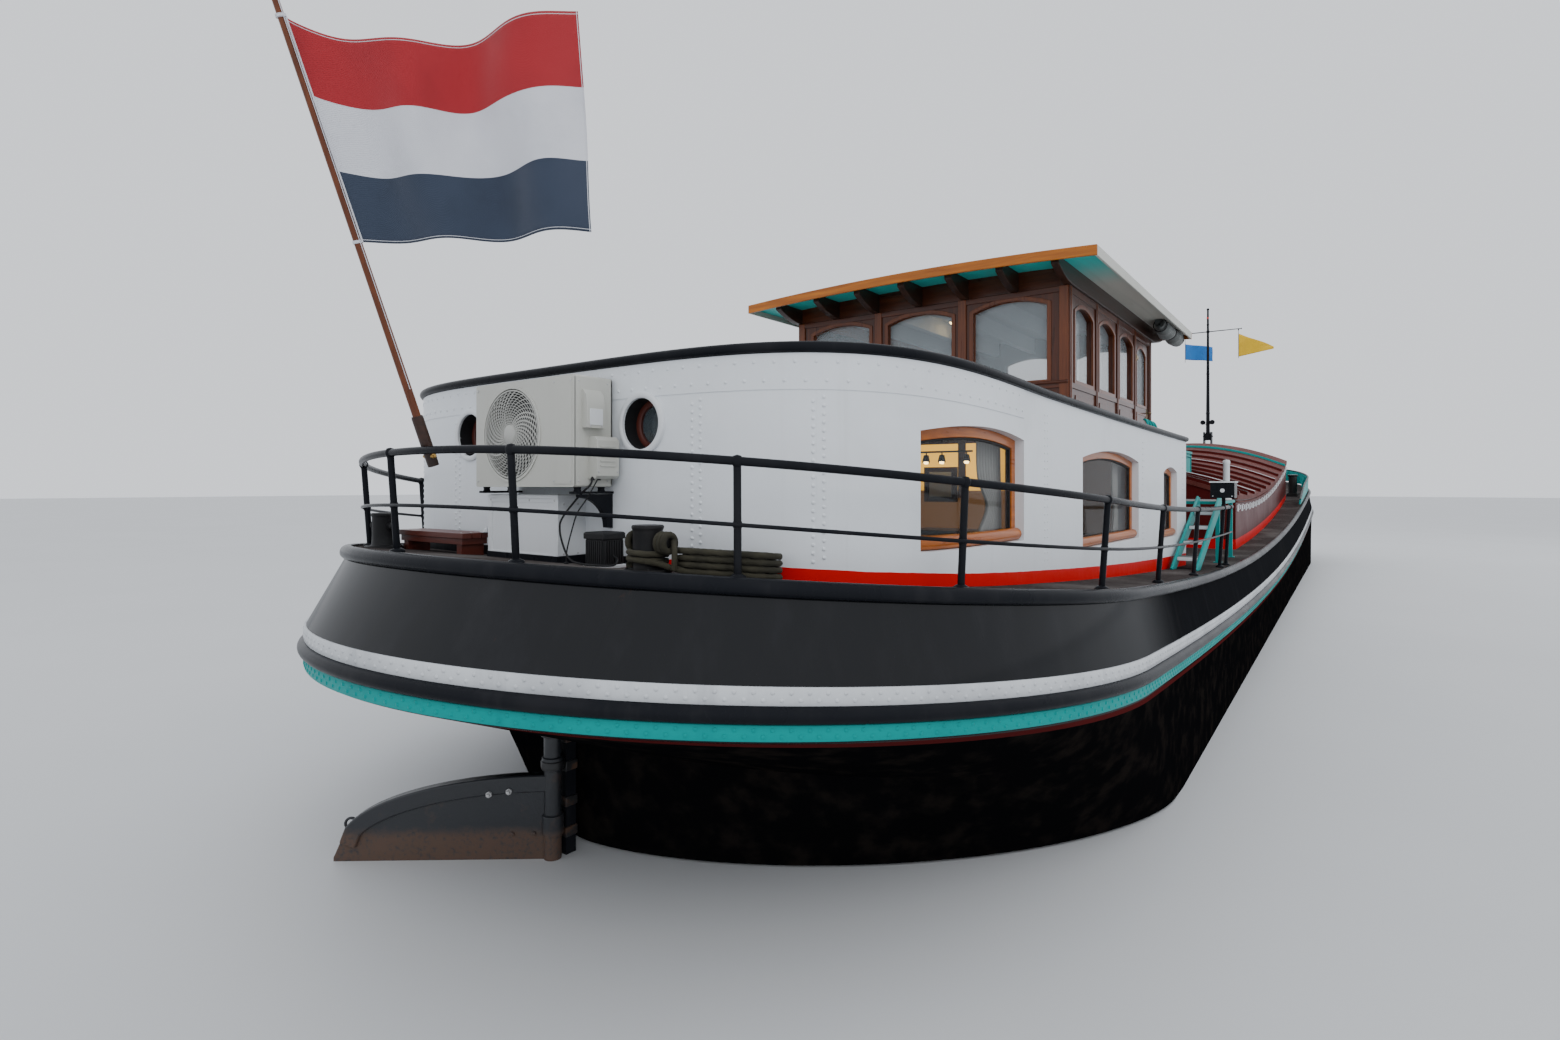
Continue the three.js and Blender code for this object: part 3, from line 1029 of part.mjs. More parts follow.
const BULWARK = { from: 7000, high: 380, thick: 30 };
function addBowPieces() {
  const half = halfLine(deckLine).filter(([x]) => x > BULWARK.from);
  const line = [...half.map(([x, y]) => [x, -y]), ...half.slice(0, -1).reverse()];
  const sections = line.map(([x, y], i) => {
    const before = line[Math.max(0, i - 1)];
    const after = line[Math.min(line.length - 1, i + 1)];
    const along = new THREE.Vector2(after[0] - before[0], after[1] - before[1]).normalize();
    const rise = BULWARK.high * Math.min(1, 0.35 + (x - BULWARK.from) / 3000);
    const point = (reach, up) => [x + along.y * reach, y - along.x * reach, deckAt(x) + up];
    return [point(-6, GAP), point(-6 - BULWARK.thick, GAP), point(4 - BULWARK.thick, rise), point(4, rise)];
  });
  addPiece('bow_bulwark', loft(sections), TEAL);

  const x = BOW_X - 1480;
  const high = deckAt(x) + 620;
  const cheeks = [-1, 1].map((side) => box(x - 190, x + 190, side * 330 - 25, side * 330 + 25, 2300, high));
  const barrel = bar([x, -620, high - 130], [x, 620, high - 130], 55, 10);
  const drums = [-1, 1].map((side) => bar([x, side * 620, high - 130], [x, side * 420, high - 130], 130, 12));
  const gears = [-1, 1].map((side) => bar([x, side * 230, high - 130], [x, side * 180, high - 130], 210, 16));
  const sill = box(x - 260, x + 260, -400, 400, 2300, deckAt(x + 260) + 45);
  addPiece('windlass', onDeck(join(...cheeks, barrel, ...drums, ...gears, sill)), BLACK);
}

addHull();
addBands();
addCabinWalls();
addCabinWindows();
addCabinTop();
addCasingAndEngine();
addWheelhouse();
addWheelhouseRoof();
addHelm();
addHold();
addSkylight();
addMast();
addPennants();
addBollards();
addRailing();
addFlag();
addSternGear();
addAirUnit();
addSternDeckPieces();
addRopeCoil();
addAwning();
addBowPieces();

export default barge;
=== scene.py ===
"""Looks of a steel river barge turned into a live-aboard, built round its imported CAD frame."""
import math

import bmesh
import bpy
from mathutils import Matrix, Vector
from mathutils.geometry import tessellate_polygon


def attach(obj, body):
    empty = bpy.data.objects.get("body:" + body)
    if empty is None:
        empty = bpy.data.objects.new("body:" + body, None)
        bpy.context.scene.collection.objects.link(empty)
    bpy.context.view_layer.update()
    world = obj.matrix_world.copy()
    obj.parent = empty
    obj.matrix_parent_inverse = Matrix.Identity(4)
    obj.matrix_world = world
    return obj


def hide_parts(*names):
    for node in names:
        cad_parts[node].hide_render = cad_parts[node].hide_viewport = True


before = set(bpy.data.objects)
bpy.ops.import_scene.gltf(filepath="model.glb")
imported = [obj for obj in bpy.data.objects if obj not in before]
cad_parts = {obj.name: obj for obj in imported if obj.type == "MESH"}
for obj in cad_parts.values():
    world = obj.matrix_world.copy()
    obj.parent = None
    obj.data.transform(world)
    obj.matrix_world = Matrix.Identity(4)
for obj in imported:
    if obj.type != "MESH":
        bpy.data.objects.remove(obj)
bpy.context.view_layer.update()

bl_info = {
    "name": "River barge",
    "version": (1, 0, 0),
    "blender": (4, 5, 0),
    "location": "View3D > Sidebar > Barge",
    "description": "Finishes and fittings of a steel river barge round its packed frame",
    "category": "Object",
}

# Sizes shared with the CAD source, in metres: +X to the bow, +Y to port, +Z up
WATERLINE = 0.95
SHEER = (-1.0, 3.74e-3, 4.4e-3)  # lowest x, rise per metre squared aft and forward of it
DECK_SHEER = (-2.5, 5.3e-3, 3.8e-3)
STRAKE_Z = WATERLINE + 0.83
DECK_Z = WATERLINE + 1.205
STERN_X = -12.9
BOW_X = 14.4
STERN_ROUND_X = -9.72
GAP = 0.0003

# Level lines of the hull: height, share of the sheer, half width, stern x, length and power of the
# stern's round, bow x, length and power of the bow's round
HULL_LINES = {
    "bottom": (0.0, 0.0, 2.33, -9.7, 3.6, 1.5, BOW_X - 1.4, 3.3, 1.9),
    "bilge": (0.07, 0.0, 2.52, -10.05, 3.5, 1.6, BOW_X - 1.0, 3.5, 1.9),
    "turn": (0.24, 0.0, 2.63, -10.35, 3.3, 1.6, BOW_X - 0.65, 3.6, 2.0),
    "side": (0.56, 0.0, 2.645, -10.56, 3.1, 1.7, BOW_X - 0.4, 3.7, 2.0),
    "arch": (0.905, 0.0, 2.65, -10.68, 2.8, 1.8, BOW_X - 0.28, 3.7, 2.1),
    "water": (WATERLINE + 0.02, 0.0, 2.65, -11.56, 2.7, 1.6, BOW_X - 0.26, 3.7, 2.1),
    "knuckle": (1.45, 0.32, 2.652, -11.64, 2.1, 1.9, BOW_X - 0.18, 3.7, 2.1),
    "skirt": (STRAKE_Z - 0.225, 1.0, 2.66, STERN_X + 0.04, 3.14, 2.0, BOW_X - 0.06, 3.7, 2.15),
    "strake": (STRAKE_Z, 1.0, 2.66, STERN_X + 0.03, 3.15, 2.0, BOW_X - 0.03, 3.7, 2.2),
    "deck": (DECK_Z, 1.0, 2.58, -12.636, 2.916, 2.0, BOW_X - 0.05, 3.65, 2.25),
}
BAND = {"white": 0.075, "black": 0.075, "teal": 0.065, "plate": 0.010, "proud": 0.042}
CABIN = {"aft": -11.82, "front": -5.6, "half": 2.08, "half_front": 2.2, "power": 4.4, "wall": 0.1}
CABIN_TOP = (WATERLINE + 2.488, 0.443)  # height at the low point of the sheer, share of the sheer
ROOF_CAMBER = 0.07
WINDOWS = (  # name, x, width, foot, spring, rise
    ("aft", -10.655, 1.09, WATERLINE + 1.765, 0.57, 0.045),
    ("middle", -8.25, 1.5, WATERLINE + 1.64, 0.63, 0.065),
    ("fore", -6.305, 0.57, WATERLINE + 1.585, 0.615, 0.05),
)
WINDOW = {"frame": 0.055, "set": 0.052, "depth": 0.04}
PORTHOLE = {"y": 0.75, "z": WATERLINE + 2.385, "radius": 0.128}
HOUSE = {
    "aft": -7.25, "front": -3.73, "half": 1.5, "floor": WATERLINE + 1.95, "top": WATERLINE + 3.91,
    "wall": 0.06
}
SILL_Z = WATERLINE + 3.05
LIGHT = {"end_width": 0.738, "end_spring": 0.715, "side_width": 0.62, "side_spring": 0.65, "rise": 0.075}
DOOR = {"aft": -4.6, "front": -3.86, "head": WATERLINE + 3.83, "light": 0.48}
ROOF = {
    "aft": -7.73, "front": -3.05, "half": 1.87, "edge": WATERLINE + 4.057, "camber": 0.055, "thick": 0.03,
    "board": 0.022
}
HOLD = {"aft": -2.4, "front": 9.0, "half": 2.3, "front_half": 2.18, "coaming": WATERLINE + 1.87, "lift": 7.6e-3,
        "camber": 0.465, "front_camber": 0.52, "wall": 0.06, "thick": 0.06, "edge": 0.025}
SKYLIGHT = {"x0": -1.3, "x1": 0.9, "y0": -1.25, "y1": -0.35, "top": 3.577, "board": 0.06, "lid": 0.04}
EDGE = (
    (0.0003, 0.0), (0.0003, 0.012), (0.018, 0.016), (0.038, 0.010), (0.052, -0.004), (0.057, -0.022),
    (0.054, -0.040), (0.042, -0.054), (0.036, -0.054)
)
RAIL = {"stern": -12.54, "half": 2.55, "round": 2.1, "front": -5.05, "level": WATERLINE + 1.845, "rise": 1.574e-4, "power": 3.4,
        "drop": 0.265, "tube": 0.019, "rod": 0.009, "post": 0.017, "lean": 0.034}
STERN_POSTS = (-2.2, -1.54, -0.62, 0.33, 1.25, 2.1)
SIDE_POSTS = (-10.1, -8.7, -7.25, -5.7, -5.25)
RAIL_BOX = {"x": -5.6, "y": -2.54, "half": 0.105, "foot": WATERLINE + 1.95, "top": WATERLINE + 2.105}
STAFF = {"foot": (-12.497, 0.0, WATERLINE + 2.23), "lean": math.radians(19.7), "length": 2.15}
MAST = {"x": 12.2, "pivot": WATERLINE + 3.56, "top": WATERLINE + 7.41, "radius": 0.055, "tip": 0.026}
SPREADER = {"z": WATERLINE + 6.74, "half": 0.88, "radius": 0.014, "halyard": 0.006, "drop": 0.88}
RUDDER_X = -11.78
RUDDER = {
    "rest": 52.0, "stock": 0.048, "length": 1.2, "top": WATERLINE + 0.47, "low": WATERLINE + 0.11,
    "foot": 0.19
}
AIR = {
    "x0": -12.08, "x1": -11.84, "y0": -0.56, "y1": 0.27, "z0": WATERLINE + 2.07, "z1": WATERLINE + 2.62,
    "fan": 0.24, "fan_y": -0.05
}


def rise_of(line, x):
    low, aft, fore = line
    return (aft if x < low else fore) * (x - low) ** 2


def sheer(x):
    """Rise of the bands over their lowest point"""
    return rise_of(SHEER, x)


def deck_at(x):
    """Height of the deck"""
    return DECK_Z + rise_of(DECK_SHEER, x)


def cabin_top(x):
    return CABIN_TOP[0] + CABIN_TOP[1] * sheer(x)


def rail_at(x):
    """Height of the top rail"""
    return RAIL["level"] + RAIL["rise"] * max(0.0, DECK_SHEER[0] - x) ** RAIL["power"]


def rail_side(share):
    """Share of the rail's half width at a share of its run round the stern"""
    return (1 - abs(share) ** RAIL["round"]) ** (1 / RAIL["round"])


def roof_under(y):
    return ROOF["edge"] + ROOF["camber"] * (1 - (y / ROOF["half"]) ** 2)


def coaming_top(x):
    return HOLD["coaming"] + HOLD["lift"] * (x - SHEER[0]) ** 2


def along_hold(aft, front, x):
    return aft + (front - aft) * (x - HOLD["aft"]) / (HOLD["front"] - HOLD["aft"])


def hold_half(x):
    return along_hold(HOLD["half"], HOLD["front_half"], x)


def hatch_at(x, y):
    """Height of the hatches' underside"""
    share = min(1.0, abs(y) / (hold_half(x) + HOLD["edge"]))
    return coaming_top(x) + GAP + along_hold(HOLD["camber"], HOLD["front_camber"], x) * (1 - share ** 2)


def level_line(name, round_steps=40, side_steps=24):
    """Points (x, y) round the hull on one of its level lines, from the stern over starboard"""
    _, _, half, stern, run, stern_power, bow, entry, bow_power = HULL_LINES[name]
    points = []
    for i in range(round_steps):
        angle = math.pi / 2 * i / round_steps
        points.append((
            stern + run - run * math.cos(angle) ** (2 / stern_power),
            half * math.sin(angle) ** (2 / stern_power)
        ))
    start, end = stern + run, bow - entry
    points += [(start + (end - start) * i / side_steps, half) for i in range(side_steps)]
    for i in range(round_steps + 1):
        angle = math.pi / 2 * i / round_steps
        across = max(0.0, math.cos(angle))
        points.append((end + entry * math.sin(angle) ** (2 / bow_power), half * across ** (2 / bow_power)))
    points[0] = (points[0][0], 0.0)
    points[-1] = (points[-1][0], 0.0)
    return [(x, -y) for x, y in points] + [(x, y) for x, y in points[-2:0:-1]]


def level_height(name, x):
    """Height of a level line at x"""
    return deck_at(x) if name == "deck" else HULL_LINES[name][0] + HULL_LINES[name][1] * sheer(x)


def cabin_half(x, inset=0.0):
    """Half width of the cabin's plan at x"""
    if x < STERN_ROUND_X:
        share = min(1.0, (STERN_ROUND_X - x) / (STERN_ROUND_X - CABIN["aft"] - inset))
        return (CABIN["half"] - inset) * (1 - share ** CABIN["power"]) ** (1 / CABIN["power"])
    widen = (CABIN["half_front"] - CABIN["half"]) / (CABIN["front"] - STERN_ROUND_X)
    return CABIN["half"] - inset + widen * (x - STERN_ROUND_X)


def cabin_line(inset=0.0, steps=36, front=None):
    """Points (x, y) of the cabin's plan from starboard front over the stern to port front"""
    run = STERN_ROUND_X - CABIN["aft"] - inset
    half = CABIN["half"] - inset
    points = []
    for i in range(steps):
        angle = math.pi / 2 * i / steps
        points.append((
            STERN_ROUND_X - run * math.cos(angle) ** (2 / CABIN["power"]),
            half * math.sin(angle) ** (2 / CABIN["power"])
        ))
    last = CABIN["front"] if front is None else front
    for i in range(9):
        x = STERN_ROUND_X + (last - STERN_ROUND_X) * i / 8
        points.append((x, cabin_half(x, inset)))
    return [(x, -y) for x, y in reversed(points)] + points[1:]


def cabin_at(angle, inset=0.0):
    """Point (x, y) of the cabin's plan at an angle round its stern, starboard negative"""
    across = abs(angle)
    x = STERN_ROUND_X - (STERN_ROUND_X - CABIN["aft"] - inset) * math.cos(across) ** (2 / CABIN["power"])
    y = (CABIN["half"] - inset) * math.sin(across) ** (2 / CABIN["power"])
    return x, math.copysign(y, angle)


def cabin_skin(y):
    """Point (x, y) on the stern wall's outside and the outward direction there"""
    power = CABIN["power"]
    run = STERN_ROUND_X - CABIN["aft"]
    share = (1 - (abs(y) / CABIN["half"]) ** power) ** (1 / power)
    out = Vector((
        -share ** (power - 1) / run,
        math.copysign((abs(y) / CABIN["half"]) ** (power - 1) / CABIN["half"], y), 0
    ))
    return STERN_ROUND_X - run * share, y, out.normalized()


def arch_loop(width, spring, rise, inset=0.0, steps=(12, 6, 20)):
    """Outline (across, up) of an opening with an arched head, from its foot, drawn in by an inset"""
    half = width / 2 - inset

    def head(across):
        return spring + rise * (1 - (2 * across / width) ** 2) - inset
    low, side, top = steps
    corner = head(half)
    loop = [(-half + 2 * half * i / low, inset) for i in range(low)]
    loop += [(half, inset + (corner - inset) * i / side) for i in range(side)]
    loop += [(half - 2 * half * i / top, head(half - 2 * half * i / top)) for i in range(top)]
    return loop + [(-half, corner + (inset - corner) * i / side) for i in range(side)]


# ---- Shader building

class Link:
    """A shader socket that Python's operators work on"""

    def __init__(self, finish, socket):
        self.finish = finish
        self.socket = socket

    def _math(self, operation, *values):
        return self.finish.node("ShaderNodeMath", {"operation": operation}, dict(enumerate(values)))

    def __add__(self, other):
        return self._math("ADD", self, other)

    __radd__ = __add__

    def __sub__(self, other):
        return self._math("SUBTRACT", self, other)

    def __rsub__(self, other):
        return self._math("SUBTRACT", other, self)

    def __mul__(self, other):
        return self._math("MULTIPLY", self, other)

    __rmul__ = __mul__

    def __truediv__(self, other):
        return self._math("DIVIDE", self, other)

    def __rtruediv__(self, other):
        return self._math("DIVIDE", other, self)

    def __pow__(self, other):
        return self._math("POWER", self, other)

    def __lt__(self, other):
        return self._math("LESS_THAN", self, other)

    def __gt__(self, other):
        return self._math("GREATER_THAN", self, other)

    def clamp(self):
        return self.finish.node("ShaderNodeClamp", {}, {0: self})


class Finish:
    """A procedural material: nodes are added by one method, and what varies drives the shader"""

    DRIVEN = ("Base Color", "Roughness", "Metallic", "Coat Weight", "Alpha", "Emission Color", "Normal")

    def __init__(self, name, **constants):
        self.material = bpy.data.materials.new(name)
        self.material.use_nodes = True
        self.nodes = self.material.node_tree.nodes
        self.links = self.material.node_tree.links
        self.shader = self.nodes["Principled BSDF"]
        for key, value in constants.items():
            self.shader.inputs[key.replace("_", " ")].default_value = value
        self.place = self.node("ShaderNodeTexCoord", {}, {}, "Object")

    def node(self, kind, settings, sockets, output=0):
        made = self.nodes.new(kind)
        for key, value in settings.items():
            if key == "stops":
                ramp = made.color_ramp
                while len(ramp.elements) < len(value):
                    ramp.elements.new(0.5)
                for element, (place, colour) in zip(ramp.elements, value):
                    element.position = place
                    element.color = (*colour, 1.0) if len(colour) == 3 else colour
            else:
                setattr(made, key, value)
        for key, value in sockets.items():
            if isinstance(value, Link):
                self.links.new(value.socket, made.inputs[key])
            else:
                made.inputs[key].default_value = value
        return Link(self, made.outputs[output])

    def stretched(self, scale, shift=(0, 0, 0)):
        """The place on the piece, stretched by a scale for each axis"""
        return self.node("ShaderNodeMapping", {}, {"Vector": self.place, "Scale": scale, "Location": shift})

    def noise(self, scale, detail=3.0, rough=0.55, place=None, warp=0.0):
        sockets = {
            "Vector": place or self.place, "Scale": scale, "Detail": detail, "Roughness": rough,
            "Distortion": warp
        }
        return self.node("ShaderNodeTexNoise", {}, sockets, 0)

    def ramp(self, value, stops):
        return self.node("ShaderNodeValToRGB", {"stops": stops}, {0: value})

    def band(self, value, low, high):
        """0 below low, 1 above high, smooth between"""
        sockets = {"Value": value, "From Min": low, "From Max": high}
        return self.node("ShaderNodeMapRange", {"interpolation_type": "SMOOTHSTEP"}, sockets)

    def mix(self, share, one, other):
        """Colours mixed by a share"""
        def colour(value):
            return value if isinstance(value, Link) else (*value, 1.0) if len(value) == 3 else value
        return self.node(
            "ShaderNodeMix", {"data_type": "RGBA"}, {0: share, 6: colour(one), 7: colour(other)}, 2
        )

    def axis(self, name, place=None):
        return self.node("ShaderNodeSeparateXYZ", {}, {0: place or self.place}, name)

    def facing_up(self):
        """Share of the surface that faces up, from the piece's own normal"""
        normal = self.node("ShaderNodeTexCoord", {}, {}, "Normal")
        return self.axis("Z", normal)

    def drive(self, **values):
        for key, value in values.items():
            name = key.replace("_", " ")
            if name not in self.DRIVEN:
                raise ValueError(name + " is set as a constant")
            self.links.new(value.socket, self.shader.inputs[name])
        return self

    def bump(self, height, distance, strength=1.0):
        sockets = {"Height": height, "Distance": distance, "Strength": strength}
        return self.drive(Normal=self.node("ShaderNodeBump", {}, sockets))


FINISHES = {}


def finish(name):
    """The material of that name, which was made by the operator for finishes"""
    return FINISHES[name].material


def over_line(look, line):
    """Height over a sheer line's rise, for paint lines that follow it"""
    low, aft, fore = line
    x = look.axis("X")
    ahead = x > low
    span = (x - low) * (x - low)
    return look.axis("Z") - span * (1 - ahead) * aft - span * ahead * fore


def worn_paint(name, colour, dark, rough=0.35, grime=0.35, ripple=0.0012, **constants):
    """Oil paint on plate: clouds of tint, runs down the plate, brush ripple"""
    look = Finish(name, Roughness=rough, **constants)
    cloud = look.noise(1.7, 4.0, 0.6)
    runs = look.noise(1.0, 5.0, 0.6, look.stretched((9.0, 9.0, 0.7)))
    specks = look.noise(42.0, 2.0, 0.6)
    mask = (look.band(cloud, 0.45, 0.75) * 0.5 + look.band(runs, 0.5, 0.8) * 0.5) * grime
    base = look.mix(mask, colour, dark)
    look.drive(
        Base_Color=base,
        Roughness=(cloud * 0.25 + rough - 0.1 + look.band(specks, 0.55, 0.8) * 0.08).clamp()
    )
    look.bump(look.noise(5.0, 3.0, 0.5) * 0.8 + look.noise(60.0, 2.0, 0.5) * 0.2, ripple)
    return look


def make_hull_finish(paint):
    """Gloss black topsides with lapped plates and lighter streaks that are paint runs and partly painted reflections,
    painted deck, red line under the bands, dull black below
    """
    look = Finish("hull_black", Coat_Roughness=0.12, Specular_IOR_Level=0.0)
    height = over_line(look, SHEER)
    cloud = look.noise(0.9, 4.0, 0.6)
    runs = look.noise(1.0, 5.0, 0.6, look.stretched((5.0, 5.0, 0.45)))
    # Lighter vertical streaks and brownish clouds on the topsides: paint runs and wear, and partly painted reflections
    # of the surroundings on the gloss
    black = look.mix(look.band(runs, 0.45, 0.85) * 0.35, tuple(paint.hull), (0.026, 0.026, 0.030))
    black = look.mix(look.band(cloud, 0.55, 0.8) * 0.25, black, (0.040, 0.036, 0.034))
    rust = look.noise(3.2, 6.0, 0.7, look.stretched((1.0, 1.0, 0.6)))
    black = look.mix(look.band(rust, 0.66, 0.74) * 0.5, black, (0.085, 0.030, 0.014))
    under = look.mix(
        look.band(look.noise(6.0, 5.0), 0.45, 0.7), (0.0035, 0.0035, 0.004), (0.011, 0.009, 0.008)
    )
    topside = look.band(height, STRAKE_Z - 0.235, STRAKE_Z - 0.225)
    line = look.band(height, STRAKE_Z - 0.262, STRAKE_Z - 0.258)
    body = look.mix(line, under, (0.075, 0.012, 0.012))
    body = look.mix(topside, body, black)
    deck = look.facing_up() > 0.6
    grit = look.noise(38.0, 3.0)
    deck_paint = look.mix(look.band(grit, 0.4, 0.75), tuple(paint.deck), (0.030, 0.026, 0.025))
    deck_paint = look.mix(look.band(cloud, 0.45, 0.7) * 0.75, deck_paint, (0.16, 0.148, 0.140))
    look.drive(Base_Color=look.mix(deck, body, deck_paint))
    gloss = (0.12 + runs * 0.16 + cloud * 0.06) * topside + (1 - topside) * 0.6
    look.drive(Roughness=(gloss * (1 - deck) + deck * (0.16 + cloud * 0.35)).clamp())
    counter = 1 - look.band(look.axis("X"), -10.8, -8.6)
    look.drive(Coat_Weight=topside * (1 - deck) * counter * 0.5 + topside * (1 - deck) * 0.015)
    side = look.axis("Y")
    seams = look.band(look.axis("X"), -9.302, -9.298) + look.band(look.axis("X"), -6.502, -6.498)
    seams = seams + look.band(side, -0.102, -0.098) + look.band(side, -1.202, -1.198) + look.band(
        look.axis("X"), -11.222, -11.218
    )
    grain = look.noise(2.2, 3.0, 0.5) * 0.008 + look.noise(24.0, 2.0, 0.5) * 0.0005
    look.bump(grain + seams * topside * 0.003, 1.0)
    return look


def make_wall_finish(name, wall, dark, foot, slope, paint_foot):
    """Wall paint with the red foot band that follows the deck and grows wider forward"""
    look = Finish(name, Specular_IOR_Level=0.03)
    height = over_line(look, DECK_SHEER) - look.axis("X") * slope
    edge = look.noise(9.0, 3.0) * 0.006
    above = look.band(height + edge, DECK_Z + foot, DECK_Z + foot + 0.002)
    cloud = look.noise(1.1, 4.0, 0.6)
    runs = look.noise(1.0, 5.0, 0.65, look.stretched((11.0, 11.0, 0.5)))
    stain = (look.band(runs, 0.52, 0.85) * 0.35 + look.band(cloud, 0.5, 0.8) * 0.3)
    body = look.mix(stain, wall, dark)
    aft = look.band(look.axis("Y"), -0.66, -0.65) * (1 - look.band(look.axis("X"), -11.46, -11.45))
    foot_paint = look.mix(aft, paint_foot, (0.010, 0.010, 0.012))
    look.drive(Base_Color=look.mix(above, foot_paint, body))
    look.drive(Roughness=(0.22 + cloud * 0.22).clamp())
    look.bump(look.noise(2.6, 3.0, 0.55) + look.noise(30.0, 2.0, 0.5) * 0.05, 0.008)
    return look


def make_varnish(name, pale, deep, along="X", rough=0.22):
    """Varnished hardwood with grain along one axis"""
    look = Finish(name, Coat_Weight=0.16, Coat_Roughness=0.12, Specular_IOR_Level=0.3)
    tight, loose = 26.0, 1.6
    scale = {"X": (loose, tight, tight), "Y": (tight, loose, tight), "Z": (tight, tight, loose)}[along]
    grain = look.noise(1.0, 6.0, 0.6, look.stretched(scale), 0.6)
    broad = look.noise(2.0, 3.0, 0.5)
    tint = look.ramp(
        grain, [(0.30, deep), (0.52, tuple(0.5 * (a + b) for a, b in zip(pale, deep))), (0.72, pale)]
    )
    look.drive(Base_Color=look.mix(look.band(broad, 0.4, 0.7) * 0.45, tint, deep))
    look.drive(Roughness=(rough + grain * 0.15).clamp())
    look.bump(grain, 0.0006)
    return look


def make_glass(name, tint=(0.75, 0.82, 0.84), rough=0.02, alpha=0.35):
    look = Finish(name, Roughness=rough, IOR=1.5, Specular_IOR_Level=0.8, Alpha=alpha)
    smear = look.noise(3.0, 3.0)
    look.drive(Base_Color=look.mix(smear, tint, tuple(0.85 * c for c in tint)))
    look.drive(Roughness=(rough + smear * 0.05).clamp())
    return look


def make_cloth(name, colour, dark):
    """Woven bunting: fine crossed threads and a soft change of tint"""
    look = Finish(name, Roughness=0.85, Sheen_Weight=0.25, Sheen_Roughness=0.4)

    def threads_along(direction, scale):
        settings = {"wave_type": "BANDS", "bands_direction": direction}
        wave = look.node("ShaderNodeTexWave", settings, {"Vector": look.place, "Scale": scale})
        return look.node("ShaderNodeSeparateColor", {}, {0: wave})
    crossed = {0: threads_along("Z", 170.0), 1: threads_along("DIAGONAL", 120.0)}
    threads = look.node("ShaderNodeMath", {"operation": "MAXIMUM"}, crossed)
    cloud = look.noise(4.0, 4.0)
    look.drive(Base_Color=look.mix(
        (look.band(cloud, 0.4, 0.8) * 0.4 + threads * 0.12).clamp(), colour, dark
    ))
    look.bump(threads, 0.0006)
    return look


def make_rope(name, colour, dark):
    look = Finish(name, Roughness=0.95)
    fibre = look.noise(260.0, 3.0)
    cloud = look.noise(9.0, 4.0)
    look.drive(Base_Color=look.mix((look.band(cloud, 0.35, 0.7) * 0.6 + fibre * 0.4).clamp(), colour, dark))
    look.bump(fibre, 0.002)
    return look


def rusty(name, colour, rust=(0.13, 0.05, 0.02), cover=0.62):
    """Old paint on iron with rust that breaks through"""
    look = Finish(name, Roughness=0.5)
    patch = look.noise(7.0, 6.0, 0.65)
    fine = look.noise(55.0, 4.0)
    mask = look.band(patch + fine * 0.12, cover, cover + 0.12)
    look.drive(Base_Color=look.mix(mask, colour, rust), Roughness=(0.35 + mask * 0.45).clamp())
    look.bump(patch * 0.6 + fine * 0.4, 0.002)
    return look


def make_rudder_finish():
    """Black paint above, rusty brown where the water works"""
    look = Finish("rudder", Specular_IOR_Level=0.5)
    height = look.axis("Z")
    patch = look.noise(5.0, 6.0, 0.65)
    fine = look.noise(45.0, 4.0)
    wet = 1 - look.band(height + patch * 0.10, WATERLINE + 0.17, WATERLINE + 0.24)
    mask = (look.band(patch, 0.55, 0.68) * 0.4 + wet * look.band(fine + patch * 0.3, 0.35, 0.7)).clamp()
    look.drive(Base_Color=look.mix(mask, (0.022, 0.024, 0.028), (0.085, 0.050, 0.034)))
    look.drive(Roughness=(0.30 + mask * 0.3 + fine * 0.08).clamp())
    look.bump(patch * 0.5 + fine * 0.5, 0.003)
    return look


def make_roof_finish(trim):
    """Pale deck paint on top; below it a teal painted brighter than the trim paint as painted light on the shaded
    soffit, fading to cream forward as a painted lit area of the same teal
    """
    look = Finish("roof_panel", Coat_Weight=0.1)
    x = look.axis("X")
    boards = look.noise(1.0, 4.0, 0.6, look.stretched((0.6, 14.0, 14.0)))
    # Teal under the stern end fading to cream forward between x -7.45 and -6.3: painted light, a lighter lit copy of
    # the same teal soffit paint
    under = look.mix(look.band(x, -7.45, -6.3), trim, (0.55, 0.54, 0.48))
    under = look.mix(look.band(boards, 0.5, 0.8) * 0.3, under, (0.30, 0.31, 0.29))
    inside = (look.axis("Y") < 1.45) * (look.axis("Y") > -1.45) * (x > -7.2) * (x < -3.78)
    under = look.mix(inside, under, (0.62, 0.63, 0.65))
    top = look.mix(look.noise(1.5, 4.0), (0.52, 0.53, 0.53), (0.36, 0.37, 0.37))
    look.drive(
        Base_Color=look.mix(look.facing_up() > 0.0, under, top), Roughness=(0.4 + boards * 0.2).clamp()
    )
    look.bump(boards, 0.002)
    return look


